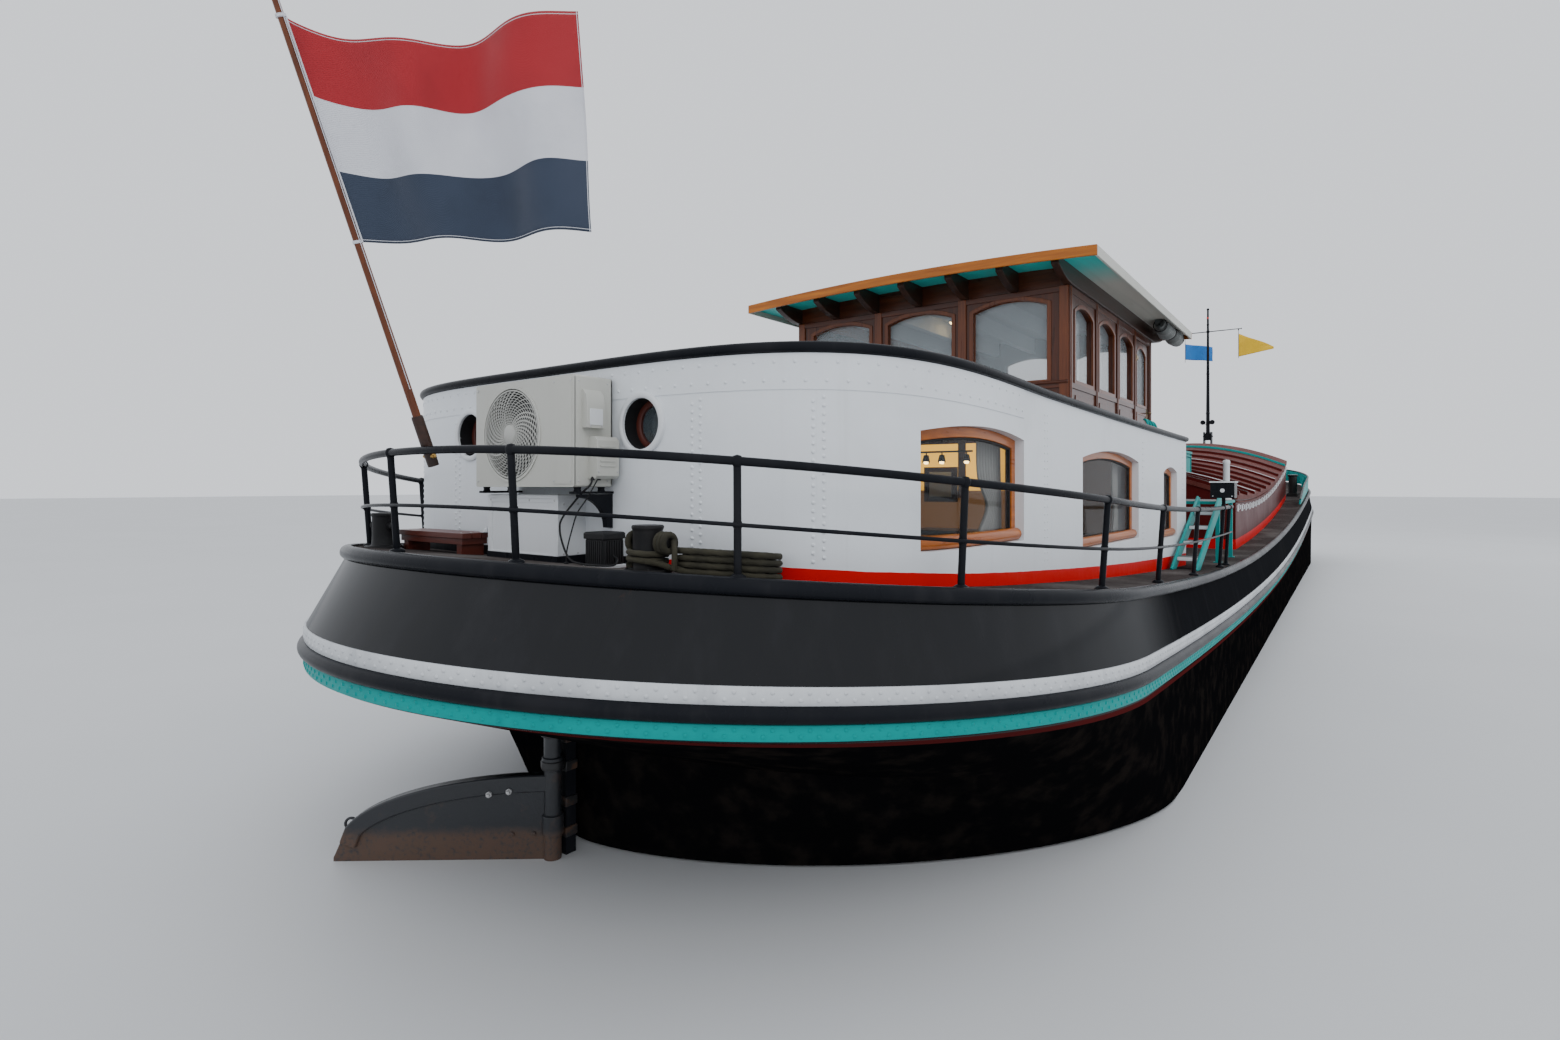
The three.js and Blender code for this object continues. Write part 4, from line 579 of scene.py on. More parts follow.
def make_lining():
    """Cream saloon panelling with painted lamplight: it glows with painted pools of light round the lamps and a dim
    painted glow elsewhere
    """
    look = Finish("lining", Roughness=0.6, Emission_Strength=1.9)
    # Painted pools of lamplight round three spots near the lamp rail, emitted by the panel itself
    near = [(look.axis("Y") - y) * (look.axis("Y") - y) + (look.axis("Z") - z) * (look.axis("Z") - z)
            for y, z in ((-0.11, 3.38), (-0.36, 3.44), (-0.58, 3.26))]
    glow = sum((0.055 / (spot + 0.055) for spot in near[1:]), 0.055 / (near[0] + 0.055)).clamp()
    wood = look.band(look.axis("Z"), 2.97, 2.98)
    near_lamps = look.axis("Y") > -1.5
    grain = look.noise(1.0, 5.0, 0.6, look.stretched((24.0, 3.0, 24.0)))
    lower = look.mix(grain, (0.16, 0.075, 0.03), (0.05, 0.022, 0.010))
    look.drive(Base_Color=look.mix(wood * near_lamps, lower, (0.50, 0.25, 0.04)))
    # Painted lamplight emitted by the panel: warm pools near the lamps, a dim painted glow elsewhere
    lit = look.mix(glow, (0.24, 0.10, 0.008), (0.95, 0.50, 0.05))
    dim = look.mix(near_lamps, (0.012, 0.007, 0.004), (0.075, 0.034, 0.010))
    look.drive(Emission_Color=look.mix(wood * near_lamps, dim, lit))
    look.bump(grain, 0.001)
    return look


def lamp_glow(name, colour, strength):
    look = Finish(name, Roughness=0.4, Emission_Strength=strength)
    look.drive(
        Base_Color=look.mix(look.noise(8.0), colour, colour),
        Emission_Color=look.mix(look.noise(20.0), colour, tuple(0.9 * c for c in colour))
    )
    return look


SHINE = {
    "edge_black": 0.06, "cast_black": 0.15, "band_teal": 0.10, "teal": 0.12, "band_white": 0.2,
    "hatch_top": 0.08
}


def make_finishes(paint):
    trim = tuple(paint.trim)
    foot = tuple(paint.foot)
    hatch = tuple(paint.hatch)
    plain = (
        ("edge_black", (0.010, 0.011, 0.014), (0.05, 0.048, 0.05), 0.26, 0.35, 0.0015),
        ("cast_black", (0.016, 0.016, 0.017), (0.065, 0.06, 0.055), 0.45, 0.8, 0.004),
        ("band_white", (0.62, 0.64, 0.66), (0.26, 0.27, 0.29), 0.35, 0.8, 0.0020),
        ("band_teal", trim, (0.001, 0.17, 0.18), 0.35, 0.6, 0.0015),
        ("white", (0.74, 0.76, 0.78), (0.50, 0.50, 0.50), 0.35, 0.4, 0.001),
        ("roof_grey", (0.46, 0.47, 0.47), (0.30, 0.31, 0.31), 0.5, 0.6, 0.001),
        ("teal", trim, (0.002, 0.19, 0.19), 0.38, 0.5, 0.001),
        ("tread", (0.20, 0.21, 0.21), (0.09, 0.095, 0.095), 0.7, 0.6, 0.002),
        ("casing", (0.53, 0.53, 0.485), (0.38, 0.375, 0.33), 0.45, 0.35, 0.0004),
        ("fan_grey", (0.06, 0.06, 0.065), (0.02, 0.02, 0.02), 0.5, 0.4, 0.0004),
        ("grille", (0.46, 0.46, 0.43), (0.30, 0.30, 0.27), 0.45, 0.3, 0.0004),
        ("rubber", (0.012, 0.012, 0.013), (0.03, 0.03, 0.032), 0.6, 0.5, 0.001),
        ("ceiling", (0.56, 0.57, 0.60), (0.42, 0.43, 0.46), 0.5, 0.3, 0.001),
        ("bench_red", (0.10, 0.022, 0.014), (0.045, 0.012, 0.009), 0.35, 0.6, 0.001),
        ("hatch_top", (0.125, 0.034, 0.028), (0.055, 0.014, 0.012), 0.55, 0.8, 0.002),
        ("signal_red", (0.60, 0.02, 0.015), (0.35, 0.01, 0.01), 0.3, 0.3, 0.0005),
        ("steel", (0.50, 0.50, 0.50), (0.30, 0.30, 0.30), 0.3, 0.3, 0.0005),
        ("paper", (0.75, 0.75, 0.74), (0.60, 0.60, 0.60), 0.8, 0.2, 0.0003),
    )
    for name, *values in plain:
        FINISHES[name] = worn_paint(name, *values, Specular_IOR_Level=SHINE.get(name, 0.35))
    FINISHES["hull_black"] = make_hull_finish(paint)
    FINISHES["cabin_white"] = make_wall_finish(
        "cabin_white", tuple(paint.cabin), (0.56, 0.575, 0.59), 0.187, 0.011, foot
    )
    FINISHES["coaming"] = make_wall_finish("coaming", hatch, (0.035, 0.007, 0.006), 0.14, 0.0, foot)
    FINISHES["varnish"] = make_varnish("varnish", (0.112, 0.027, 0.009), (0.036, 0.009, 0.004), "Z")
    FINISHES["varnish_rail"] = make_varnish(
        "varnish_rail", (0.112, 0.027, 0.009), (0.036, 0.009, 0.004), "Y"
    )
    FINISHES["varnish_long"] = make_varnish("varnish_long", (0.56, 0.155, 0.010), (0.29, 0.066, 0.004), "X")
    FINISHES["varnish_cross"] = make_varnish(
        "varnish_cross", (0.54, 0.170, 0.008), (0.28, 0.072, 0.004), "Y"
    )
    FINISHES["varnish_bright"] = make_varnish(
        "varnish_bright", (0.19, 0.050, 0.013), (0.09, 0.022, 0.007), "Z"
    )
    FINISHES["varnish_side"] = make_varnish(
        "varnish_side", (0.112, 0.027, 0.009), (0.036, 0.009, 0.004), "X"
    )
    FINISHES["dark_wood"] = make_varnish(
        "dark_wood", (0.055, 0.022, 0.013), (0.014, 0.007, 0.005), "X", 0.35
    )
    FINISHES["glass"] = make_glass("glass", (0.62, 0.70, 0.74), 0.02, 0.22)
    FINISHES["cabin_glass"] = make_glass("cabin_glass", (0.05, 0.06, 0.065), 0.02, 0.20)
    FINISHES["dark_glass"] = make_glass("dark_glass", (0.10, 0.13, 0.15), 0.02, 0.55)
    FINISHES["brass"] = worn_paint(
        "brass", (0.55, 0.34, 0.10), (0.30, 0.17, 0.05), 0.3, 0.5, 0.0005, Metallic=0.85
    )
    FINISHES["bronze"] = rusty("bronze", (0.28, 0.17, 0.06), (0.10, 0.09, 0.05), 0.55)
    FINISHES["engine"] = rusty("engine", (0.06, 0.10, 0.085), (0.05, 0.03, 0.02), 0.6)
    FINISHES["iron"] = rusty("iron", (0.020, 0.020, 0.021), (0.075, 0.038, 0.022), 0.60)
    FINISHES["rudder"] = make_rudder_finish()
    # Soffit teal given brighter than the trim paint: painted light that lifts the soffit's shade
    FINISHES["roof_panel"] = make_roof_finish((0.0, 0.55, 0.51))
    FINISHES["lining"] = make_lining()
    FINISHES["warm_lamp"] = lamp_glow("warm_lamp", (1.0, 0.72, 0.30), 9.0)
    for name, colour, dark in (
        ("ensign_red", (0.42, 0.020, 0.028), (0.20, 0.010, 0.015)),
        ("ensign_white", (0.76, 0.77, 0.82), (0.55, 0.56, 0.62)),
        ("ensign_navy", (0.040, 0.055, 0.090), (0.016, 0.024, 0.042)),
        ("pennant_cloth_blue", (0.03, 0.19, 0.56), (0.02, 0.10, 0.36)),
        ("pennant_cloth_yellow", (0.74, 0.46, 0.015), (0.48, 0.28, 0.01)),
        ("canvas", (0.13, 0.14, 0.135), (0.055, 0.06, 0.058)),
        ("curtain", (0.50, 0.50, 0.47), (0.34, 0.35, 0.34)),
    ):
        FINISHES[name] = make_cloth(name, colour, dark)
    FINISHES["rope"] = make_rope("rope", (0.055, 0.050, 0.032), (0.016, 0.015, 0.010))
    floor = Finish("floor", Roughness=0.55)
    floor.drive(Base_Color=floor.mix(floor.noise(0.35, 3.0), (0.60, 0.61, 0.62), (0.66, 0.67, 0.68)))
    FINISHES["floor"] = floor


CAD_LOOKS = {
    "white": ("engine_casing",),
    "varnish": ("steering_wheel",),
    "dark_wood": ("wheelhouse_floor", "helm_console"),
    "edge_black": ("mast_tabernacle", "stern_frame"),
    "bronze": ("propeller",),
    "fan_grey": ("air_fan",),
    "engine": ("engine",),
}


def finish_cad_nodes():
    for look, nodes in CAD_LOOKS.items():
        for name in nodes:
            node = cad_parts[name]
            for place in node.material_slots:
                place.material = finish(look)


# ---- Mesh building

def around(one, two, k, sides, radius=1.0):
    """Step k of a circle of so many sides, in the plane of two unit vectors"""
    angle = 2 * math.pi * k / sides
    return radius * (math.cos(angle) * one + math.sin(angle) * two)


class Shape:
    """Points and faces of one piece, in the row frame in metres"""

    def __init__(self):
        self.points = []
        self.faces = []
        self.looks = []

    def add(self, points, faces, look=0):
        start = len(self.points)
        self.points += [tuple(p) for p in points]
        self.faces += [tuple(start + i for i in face) for face in faces]
        self.looks += [look] * len(faces)
        return self

    def skin(self, rows, closed_rows=True, ring=False, caps=True, look=0):
        """Faces over rows of like points; each row is closed, and the rows may join into a ring"""
        count = len(rows[0])
        points = [p for row in rows for p in row]
        faces = []
        for i in range(len(rows) if ring else len(rows) - 1):
            here, after = i * count, ((i + 1) % len(rows)) * count
            for j in range(count if closed_rows else count - 1):
                k = (j + 1) % count
                faces.append((here + j, here + k, after + k, after + j))
        if caps and closed_rows and not ring:
            faces.append(tuple(range(count - 1, -1, -1)))
            faces.append(tuple((len(rows) - 1) * count + j for j in range(count)))
        return self.add(points, faces, look)

    def box(self, low, high, look=0, turn=None, about=None):
        (x0, y0, z0), (x1, y1, z1) = low, high
        points = [Vector(p) for p in (
            (x0, y0, z0), (x1, y0, z0), (x1, y1, z0), (x0, y1, z0), (x0, y0, z1), (x1, y0, z1),
            (x1, y1, z1), (x0, y1, z1)
        )]
        if turn:
            about = Vector(about)
            points = [about + turn @ (p - about) for p in points]
        faces = [(0, 3, 2, 1), (4, 5, 6, 7), (0, 1, 5, 4), (1, 2, 6, 5), (2, 3, 7, 6), (3, 0, 4, 7)]
        return self.add(points, faces, look)

    def tube(self, path, radius, sides=8, ring=False, look=0, flat=1.0):
        """Round bar along a path; radius is one number or one for each point"""
        path = [Vector(p) for p in path]
        radii = radius if isinstance(radius, (list, tuple)) else [radius] * len(path)
        rows = []
        normal = None
        for i, point in enumerate(path):
            before = path[i - 1] if (i or ring) else point
            after = path[(i + 1) % len(path)] if (i < len(path) - 1 or ring) else point
            along = (after - before).normalized()
            if normal is None:
                guide = Vector((0, 0, 1)) if abs(along.z) < 0.9 else Vector((1, 0, 0))
                normal = (guide - along * guide.dot(along)).normalized()
            else:
                normal = (normal - along * normal.dot(along)).normalized()
            other = along.cross(normal)
            rows.append([point + around(normal * flat, other, k, sides, radii[i]) for k in range(sides)])
        return self.skin(rows, ring=ring, look=look)

    def board(self, outline, holes, near, far, place, look=0):
        """Flat or bent board with holes: loops of (u, v) and a function that places (u, v, depth)"""
        loops = [outline, *holes]
        flat = [point for loop in loops for point in loop]
        cells = tessellate_polygon([[Vector((u, v, 0)) for u, v in loop] for loop in loops])
        count = len(flat)
        points = [place(u, v, near) for u, v in flat] + [place(u, v, far) for u, v in flat]
        faces = [tuple(cell) for cell in cells] + [tuple(count + i for i in reversed(cell)) for cell in cells]
        start = 0
        for loop in loops:
            for i in range(len(loop)):
                a, b = start + i, start + (i + 1) % len(loop)
                faces.append((a, b, count + b, count + a))
            start += len(loop)
        return self.add(points, faces, look)

    def surround(self, outer, inner, near, far, place, look=0):
        """Frame between two outlines of as many points"""
        rows = [
            [place(*a, near), place(*a, far), place(*b, far), place(*b, near)] for a,
            b in zip(outer, inner)
        ]
        return self.skin(rows, ring=True, look=look)

    def pane(self, width, spring, rise, inset, near, far, place, look=0, columns=18):
        """Glass in an arched opening"""
        half = width / 2 - inset
        rows = []
        for i in range(columns + 1):
            u = -half + 2 * half * i / columns
            top = spring + rise * (1 - (2 * u / width) ** 2) - inset
            rows.append([
                place(u, inset, near), place(u, top, near), place(u, top, far), place(u, inset, far)
            ])
        return self.skin(rows, look=look)

    def lathe(self, profile, at, axis, sides=24, look=0, ring=False):
        """Profile of (radius, height along the axis), turned about the axis"""
        at, axis = Vector(at), Vector(axis).normalized()
        guide = Vector((0, 0, 1)) if abs(axis.z) < 0.9 else Vector((1, 0, 0))
        one = (guide - axis * guide.dot(axis)).normalized()
        two = axis.cross(one)
        rows = []
        for radius, height in profile:
            reach = max(radius, 1e-5)
            rows.append([at + axis * height + around(one, two, k, sides, reach) for k in range(sides)])
        return self.skin(rows, ring=ring, look=look)

    def dome(self, at, normal, radius, height, sides=6, look=0):
        """Low rivet or screw head on a surface"""
        at, normal = Vector(at), Vector(normal).normalized()
        guide = Vector((0, 0, 1)) if abs(normal.z) < 0.9 else Vector((1, 0, 0))
        one = (guide - normal * guide.dot(normal)).normalized()
        two = normal.cross(one)
        turn = [around(one, two, k, sides) for k in range(sides)]
        points = [at - normal * 0.001 + radius * t for t in turn]
        points += [at + normal * height * 0.7 + radius * 0.72 * t for t in turn]
        points.append(at + normal * height)
        faces = [tuple(range(sides - 1, -1, -1))]
        for k in range(sides):
            n = (k + 1) % sides
            faces.append((k, n, sides + n, sides + k))
            faces.append((sides + k, sides + n, 2 * sides))
        return self.add(points, faces, look)

    def piece(
        self, name, body, slot, *looks, replaces=(), bevel=0.0, smooth=40.0, segments=2, outward=True
    ):
        mesh = bpy.data.meshes.new(name)
        mesh.from_pydata([tuple(p) for p in self.points], [], self.faces)
        for look in looks:
            mesh.materials.append(finish(look))
        mesh.polygons.foreach_set("material_index", self.looks)
        obj = bpy.data.objects.new(name, mesh)
        bpy.context.scene.collection.objects.link(obj)
        if outward:
            work = bmesh.new()
            work.from_mesh(mesh)
            bmesh.ops.recalc_face_normals(work, faces=work.faces)
            work.to_mesh(mesh)
            work.free()
        mesh.shade_smooth()
        mesh.set_sharp_from_angle(angle=math.radians(smooth))
        if bevel:
            modifier = obj.modifiers.new("edge", "BEVEL")
            modifier.width = bevel
            modifier.segments = segments
            modifier.limit_method = "ANGLE"
            modifier.angle_limit = math.radians(35)
            modifier.harden_normals = False
        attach(obj, body)
        if replaces:
            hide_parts(*replaces)
        return obj


def cut_by(obj, tools, smooth=30.0):
    """Cuts closed shapes out of a closed piece for good"""
    for number, tool in enumerate(tools):
        mesh = bpy.data.meshes.new("tool")
        mesh.from_pydata([tuple(p) for p in tool.points], [], tool.faces)
        work = bmesh.new()
        work.from_mesh(mesh)
        bmesh.ops.recalc_face_normals(work, faces=work.faces)
        work.to_mesh(mesh)
        work.free()
        cutter = bpy.data.objects.new("tool_%d" % number, mesh)
        bpy.context.scene.collection.objects.link(cutter)
        modifier = obj.modifiers.new("cut", "BOOLEAN")
        modifier.object = cutter
        modifier.operation = "DIFFERENCE"
        modifier.solver = "EXACT"
        with bpy.context.temp_override(object=obj, active_object=obj, selected_objects=[obj]):
            bpy.ops.object.modifier_apply(modifier=modifier.name)
        bpy.data.objects.remove(cutter)
    obj.data.shade_smooth()
    obj.data.set_sharp_from_angle(angle=math.radians(smooth))


def outward_of(line, i, ring=True):
    """Outward direction in plan at point i of a line that runs from starboard over the bow or stern"""
    count = len(line)
    before = line[(i - 1) % count] if ring else line[max(0, i - 1)]
    after = line[(i + 1) % count] if ring else line[min(count - 1, i + 1)]
    along = Vector((after[0] - before[0], after[1] - before[1], 0)).normalized()
    return Vector((along.y, -along.x, 0))


# ---- Settings a user may change

class BargePaint(bpy.types.PropertyGroup):
    """Colours of the barge"""

    hull: bpy.props.FloatVectorProperty(
        name="Topsides", description="Gloss paint of the hull", subtype="COLOR", size=3,
        default=(0.006, 0.0065, 0.008), min=0, max=1
    )
    cabin: bpy.props.FloatVectorProperty(
        name="Cabin", description="Paint of the cabin's walls", subtype="COLOR", size=3,
        default=(0.79, 0.82, 0.85), min=0, max=1
    )
    foot: bpy.props.FloatVectorProperty(
        name="Foot band", description="Band where walls meet the deck", subtype="COLOR", size=3,
        default=(0.64, 0.002, 0.003), min=0, max=1
    )
    trim: bpy.props.FloatVectorProperty(
        name="Trim", description="Lower band, soffit, steps and skylight", subtype="COLOR", size=3,
        default=(0.0, 0.30, 0.285), min=0, max=1
    )
    deck: bpy.props.FloatVectorProperty(
        name="Deck", description="Non-slip paint of the decks", subtype="COLOR", size=3,
        default=(0.070, 0.060, 0.058), min=0, max=1
    )
    hatch: bpy.props.FloatVectorProperty(
        name="Hatches", description="Paint of coaming and hatches", subtype="COLOR", size=3,
        default=(0.085, 0.010, 0.009), min=0, max=1
    )


class BargeTrim(bpy.types.PropertyGroup):
    """Sizes of fittings"""

    rivet_pitch: bpy.props.FloatProperty(
        name="Rivet pitch", description="Distance between rivets on the bands", default=0.075, min=0.04,
        max=0.3, unit="LENGTH"
    )
    rivet_radius: bpy.props.FloatProperty(
        name="Rivet radius", description="Radius of a rivet's head", default=0.011, min=0.003, max=0.03,
        unit="LENGTH"
    )
    rope: bpy.props.FloatProperty(
        name="Rope", description="Diameter of the mooring rope", default=0.030, min=0.01, max=0.03,
        unit="LENGTH"
    )


class BargeStage(bpy.types.PropertyGroup):
    """Camera, floor and light"""

    focal: bpy.props.FloatProperty(
        name="Focal length", description="Focal length on a 36 mm wide sensor", default=17.885, min=8,
        max=200, unit="CAMERA"
    )
    shift: bpy.props.FloatProperty(
        name="Shift", description="Upward shift that keeps walls upright in the frame", default=-35 / 1560,
        min=-0.2, max=0.2
    )
    light: bpy.props.FloatProperty(
        name="Sky light", description="Strength of the even light all round", default=1.25, min=0, max=5
    )


# ---- Pieces

def add_stage(settings):
    world = bpy.data.worlds.new("sky")
    bpy.context.scene.world = world
    world.use_nodes = True
    world.node_tree.nodes["Background"].inputs[0].default_value = (0.84, 0.87, 0.92, 1)
    world.node_tree.nodes["Background"].inputs[1].default_value = settings.light
    half = 160.0
    mesh = bpy.data.meshes.new("floor")
    corners = [
        (-half, -half, WATERLINE), (half, -half, WATERLINE), (half, half, WATERLINE),
        (-half, half, WATERLINE)
    ]
    mesh.from_pydata(corners, [], [(0, 1, 2, 3)])
    floor = bpy.data.objects.new("floor", mesh)
    bpy.context.scene.collection.objects.link(floor)
    mesh.materials.append(finish("floor"))
    for name, place, aim, size, power in (
        ("key", (-24.0, -20.0, 22.0), (-8.0, 0.0, 2.0), 22.0, 2200.0),
        ("bow", (16.0, -16.0, 18.0), (4.0, 0.0, 2.0), 16.0, 1100.0),
    ):
        data = bpy.data.lights.new(name, "AREA")
        data.shape = "DISK"
        data.size = size
        data.energy = power
        lamp = bpy.data.objects.new(name, data)
        bpy.context.scene.collection.objects.link(lamp)
        lamp.location = place
        lamp.visible_glossy = False
        lamp.rotation_euler = (Vector(aim) - Vector(place)).to_track_quat("-Z", "Y").to_euler()
    data = bpy.data.cameras.new("camera")
    data.sensor_width = 36.0
    data.sensor_fit = "HORIZONTAL"
    data.lens = settings.focal
    data.shift_y = settings.shift
    data.clip_start = 0.05
    data.clip_end = 500.0
    camera = bpy.data.objects.new("camera", data)
    bpy.context.scene.collection.objects.link(camera)
    camera.location = (-14.5, -3.6, 3.03)
    camera.rotation_euler = (math.pi / 2, 0, math.atan2(0.596, 0.803) - math.pi / 2)
    bpy.context.scene.camera = camera


BOLLARD = {"x": -12.06, "y": -1.05, "radius": 0.068, "high": 0.211, "horn_high": 0.135}
COIL = {
    "x": -11.875, "y": -1.365, "turn": math.radians(-71), "straight": 0.28, "radius": 0.081, "layers": 4,
    "across": 2
}


def coil_path(thick):
    """Route of the mooring rope: off the bollard, over the deck and into its coil"""
    along = Vector((math.cos(COIL["turn"]), math.sin(COIL["turn"]), 0))
    aside = Vector((-along.y, along.x, 0))
    centre = Vector((COIL["x"], COIL["y"], 0))
    half = COIL["straight"] / 2
    turns = COIL["layers"] * COIL["across"]
    samples = 36

    def place(share, radius):
        """Point on a turn: straight, far bend, straight, near bend"""
        quarter = share * 4
        if quarter < 1:
            return centre + along * (-half + 2 * half * quarter) - aside * radius
        if quarter < 2:
            angle = math.pi * (quarter - 1) - math.pi / 2
            return centre + along * (half + radius * math.cos(angle)) + aside * radius * math.sin(angle)
        if quarter < 3:
            return centre + along * (half - 2 * half * (quarter - 2)) + aside * radius
        angle = math.pi * (quarter - 3) + math.pi / 2
        return centre + along * (-half + radius * math.cos(angle)) + aside * radius * math.sin(angle)

    def spot(turn):
        layer, place_in = divmod(turn, COIL["across"])
        column = place_in if layer % 2 == 0 else COIL["across"] - 1 - place_in
        return COIL["radius"] + ((COIL["across"] - 1) / 2 - column) * thick, thick * (layer + 0.5)
    wound = []
    for i in range(turns * samples + 1):
        turn, share = divmod(i, samples)
        share /= samples
        radius, high = spot(min(turn, turns - 1))
        later = spot(min(turn + 1, turns - 1))
        ease = max(0.0, (share - 0.55) / 0.45)
        ease = ease * ease * (3 - 2 * ease)
        point = place(share, radius + (later[0] - radius) * ease)
        point.z = deck_at(point.x) + high + (later[1] - high) * ease + 0.0005
        wound.append(point)
    exit_at = Vector((-12.126, -1.102, deck_at(-12.126) + 0.048))
    first = wound[0]
    tail = []
    lead = (wound[1] - wound[0]).normalized() * 0.07
    out = Vector((0.617, -0.787, -0.05)) * 0.07
    for i in range(12):
        t = i / 12
        s = 1 - t
        tail.append(exit_at * s ** 3 + (exit_at + out) * 3 * s * s * t + (first - lead) * 3 * s * t * t + first * t ** 3)
    return tail + wound


def laid_tube(shape, path, thick, pitch, steps=1, sides=12):
    """Three-strand rope along a path: its section has three lobes that turn with the lay"""
    points = []
    for i in range(len(path) - 1):
        points += [path[i].lerp(path[i + 1], k / steps) for k in range(steps)]
    points.append(path[-1])
    rows = []
    normal = None
    run = 0.0
    for i, point in enumerate(points):
        before, after = points[max(0, i - 1)], points[min(len(points) - 1, i + 1)]
        along = (after - before).normalized()
        guide = Vector((0, 0, 1)) if normal is None else normal
        normal = (guide - along * guide.dot(along)).normalized()
        other = along.cross(normal)
        if i:
            run += (point - points[i - 1]).length
        row = []
        for k in range(sides):
            angle = 2 * math.pi * k / sides
            radius = thick / 2 * (0.93 + 0.07 * math.cos(3 * angle - 2 * math.pi * run / pitch))
            row.append(point + radius * (math.cos(angle) * normal + math.sin(angle) * other))
        rows.append(row)
    return shape.skin(rows)


def add_rope(thick):
    path = coil_path(thick)
    rope = laid_tube(Shape(), path, thick, 0.075, 2).piece(
        "mooring_rope", "barge", "rope", "rope", replaces=("rope_coil",), smooth=80
    )
    length = sum((b - a).length for a, b in zip(path, path[1:]))
    tuple(path[0])
    [tuple(p) for p in path]
    turns = []
    foot = Vector((BOLLARD["x"], BOLLARD["y"], deck_at(BOLLARD["x"]) + 0.016))
    reach = BOLLARD["radius"] + thick / 2
    for i in range(2 * 28 + 1):
        angle = math.radians(-218) - 2 * math.pi * i / 28
        turns.append(foot + Vector((
            reach * math.cos(angle), reach * math.sin(angle), thick * (0.6 + i / 28)
        )))
    made = laid_tube(Shape(), turns, thick, 0.075, 2)
    for side in (-1, 1):
        at = Vector((
            BOLLARD["x"], BOLLARD["y"] + side * 0.105, deck_at(BOLLARD["x"]) + BOLLARD["horn_high"]
        ))
        for n in range(3 if side < 0 else 1):
            ring = [at + Vector((
                0.037 * math.cos(a), side * 0.022 * n - side * 0.016, 0.037 * math.sin(a)
            )) for a in (2 * math.pi * k / 18 for k in range(18))]
            made.tube(ring, thick / 2, 10, ring=True)
    end = Vector((BOLLARD["x"], BOLLARD["y"] - 0.15, deck_at(BOLLARD["x"]) + 0.10))
    made.tube(
        smooth_path(
            [end + Vector(p) for p in (
                (0.020, 0.010, 0.045), (0.004, -0.012, 0.0), (0.0, -0.016, -0.040), (0.004, -0.010, -0.080)
            )],
            5
        ),
        thick * 0.45, 10
    )
    made.piece("bollard_rope", "barge", "rope", "rope", smooth=80)


STAFF_AXIS = Vector((-math.sin(STAFF["lean"]), 0, math.cos(STAFF["lean"])))
FLAG = {"hoist": 0.92, "fly": 1.045, "low": 1.0, "heading": math.radians(-56.7), "waves": 2.1, "depth": 0.055,
        "sag": (0.130, 0.015), "lift": (0.115, 0.030), "columns": 84, "rows": 36}


def flag_point(share, down):
    """Point of the ensign: share along the fly, down from its head"""
    ahead = Vector((math.cos(FLAG["heading"]), math.sin(FLAG["heading"]), 0))
    aside = Vector((-ahead.y, ahead.x, 0))
    foot = Vector(STAFF["foot"])
    along = FLAG["low"] + FLAG["hoist"] * (1 - down)
    base = foot + STAFF_AXIS * along
    low = foot + STAFF_AXIS * FLAG["low"]
    start = 0.019 - 0.005 * along / STAFF["length"] + GAP
    swing = FLAG["depth"] * min(
        1, 2.2 * share
    ) * math.sin(2 * math.pi * FLAG["waves"] * share + 0.35 * math.sin(5 * down) * share)
    swing += 0.009 * min(
        1, 3 * share
    ) * math.sin(23 * share + 6.0 * down) * math.sin(math.pi * down * 0.9 + 0.3)
    lift = FLAG["lift"][0] + (FLAG["lift"][1] - FLAG["lift"][0]) * down
    sag = FLAG["sag"][0] + (FLAG["sag"][1] - FLAG["sag"][0]) * down
    point = base + ahead * (start + share * FLAG["fly"]) + aside * swing
    point.x += (low.x - base.x) * share * 0.75
    point.z += lift * share - sag * math.sin(math.pi * share ** 0.8)
    return point


def cloth_piece(name, body, slot, point, columns, rows, looks, pick, replaces=(), thick=0.0012):
    """Sheet of cloth from a function of (share, down)"""
    shape = Shape()
    shape.points = [tuple(point(
        i / columns, j / rows
    )) for i in range(columns + 1) for j in range(rows + 1)]
    for i in range(columns):
        for j in range(rows):
            a = i * (rows + 1) + j
            shape.faces.append((a, a + 1, a + rows + 2, a + rows + 1))
            shape.looks.append(pick(i, j))
    cloth = shape.piece(name, body, slot, *looks, replaces=replaces, outward=False, smooth=180)
    layer = cloth.modifiers.new("thickness", "SOLIDIFY")
    layer.thickness = thick
    layer.offset = 0
    return cloth


def cloth_size(point, columns, rows):
    """Area of a sheet measured over its grid"""
    area = 0.0
    for i in range(columns):
        for j in range(rows):
            a, b = Vector(point(i / columns, j / rows)), Vector(point((i + 1) / columns, j / rows))
            c, d = Vector(point(
                (i + 1) / columns, (j + 1) / rows
            )), Vector(point(i / columns, (j + 1) / rows))
            area += (c - a).cross(d - b).length / 2
    return area


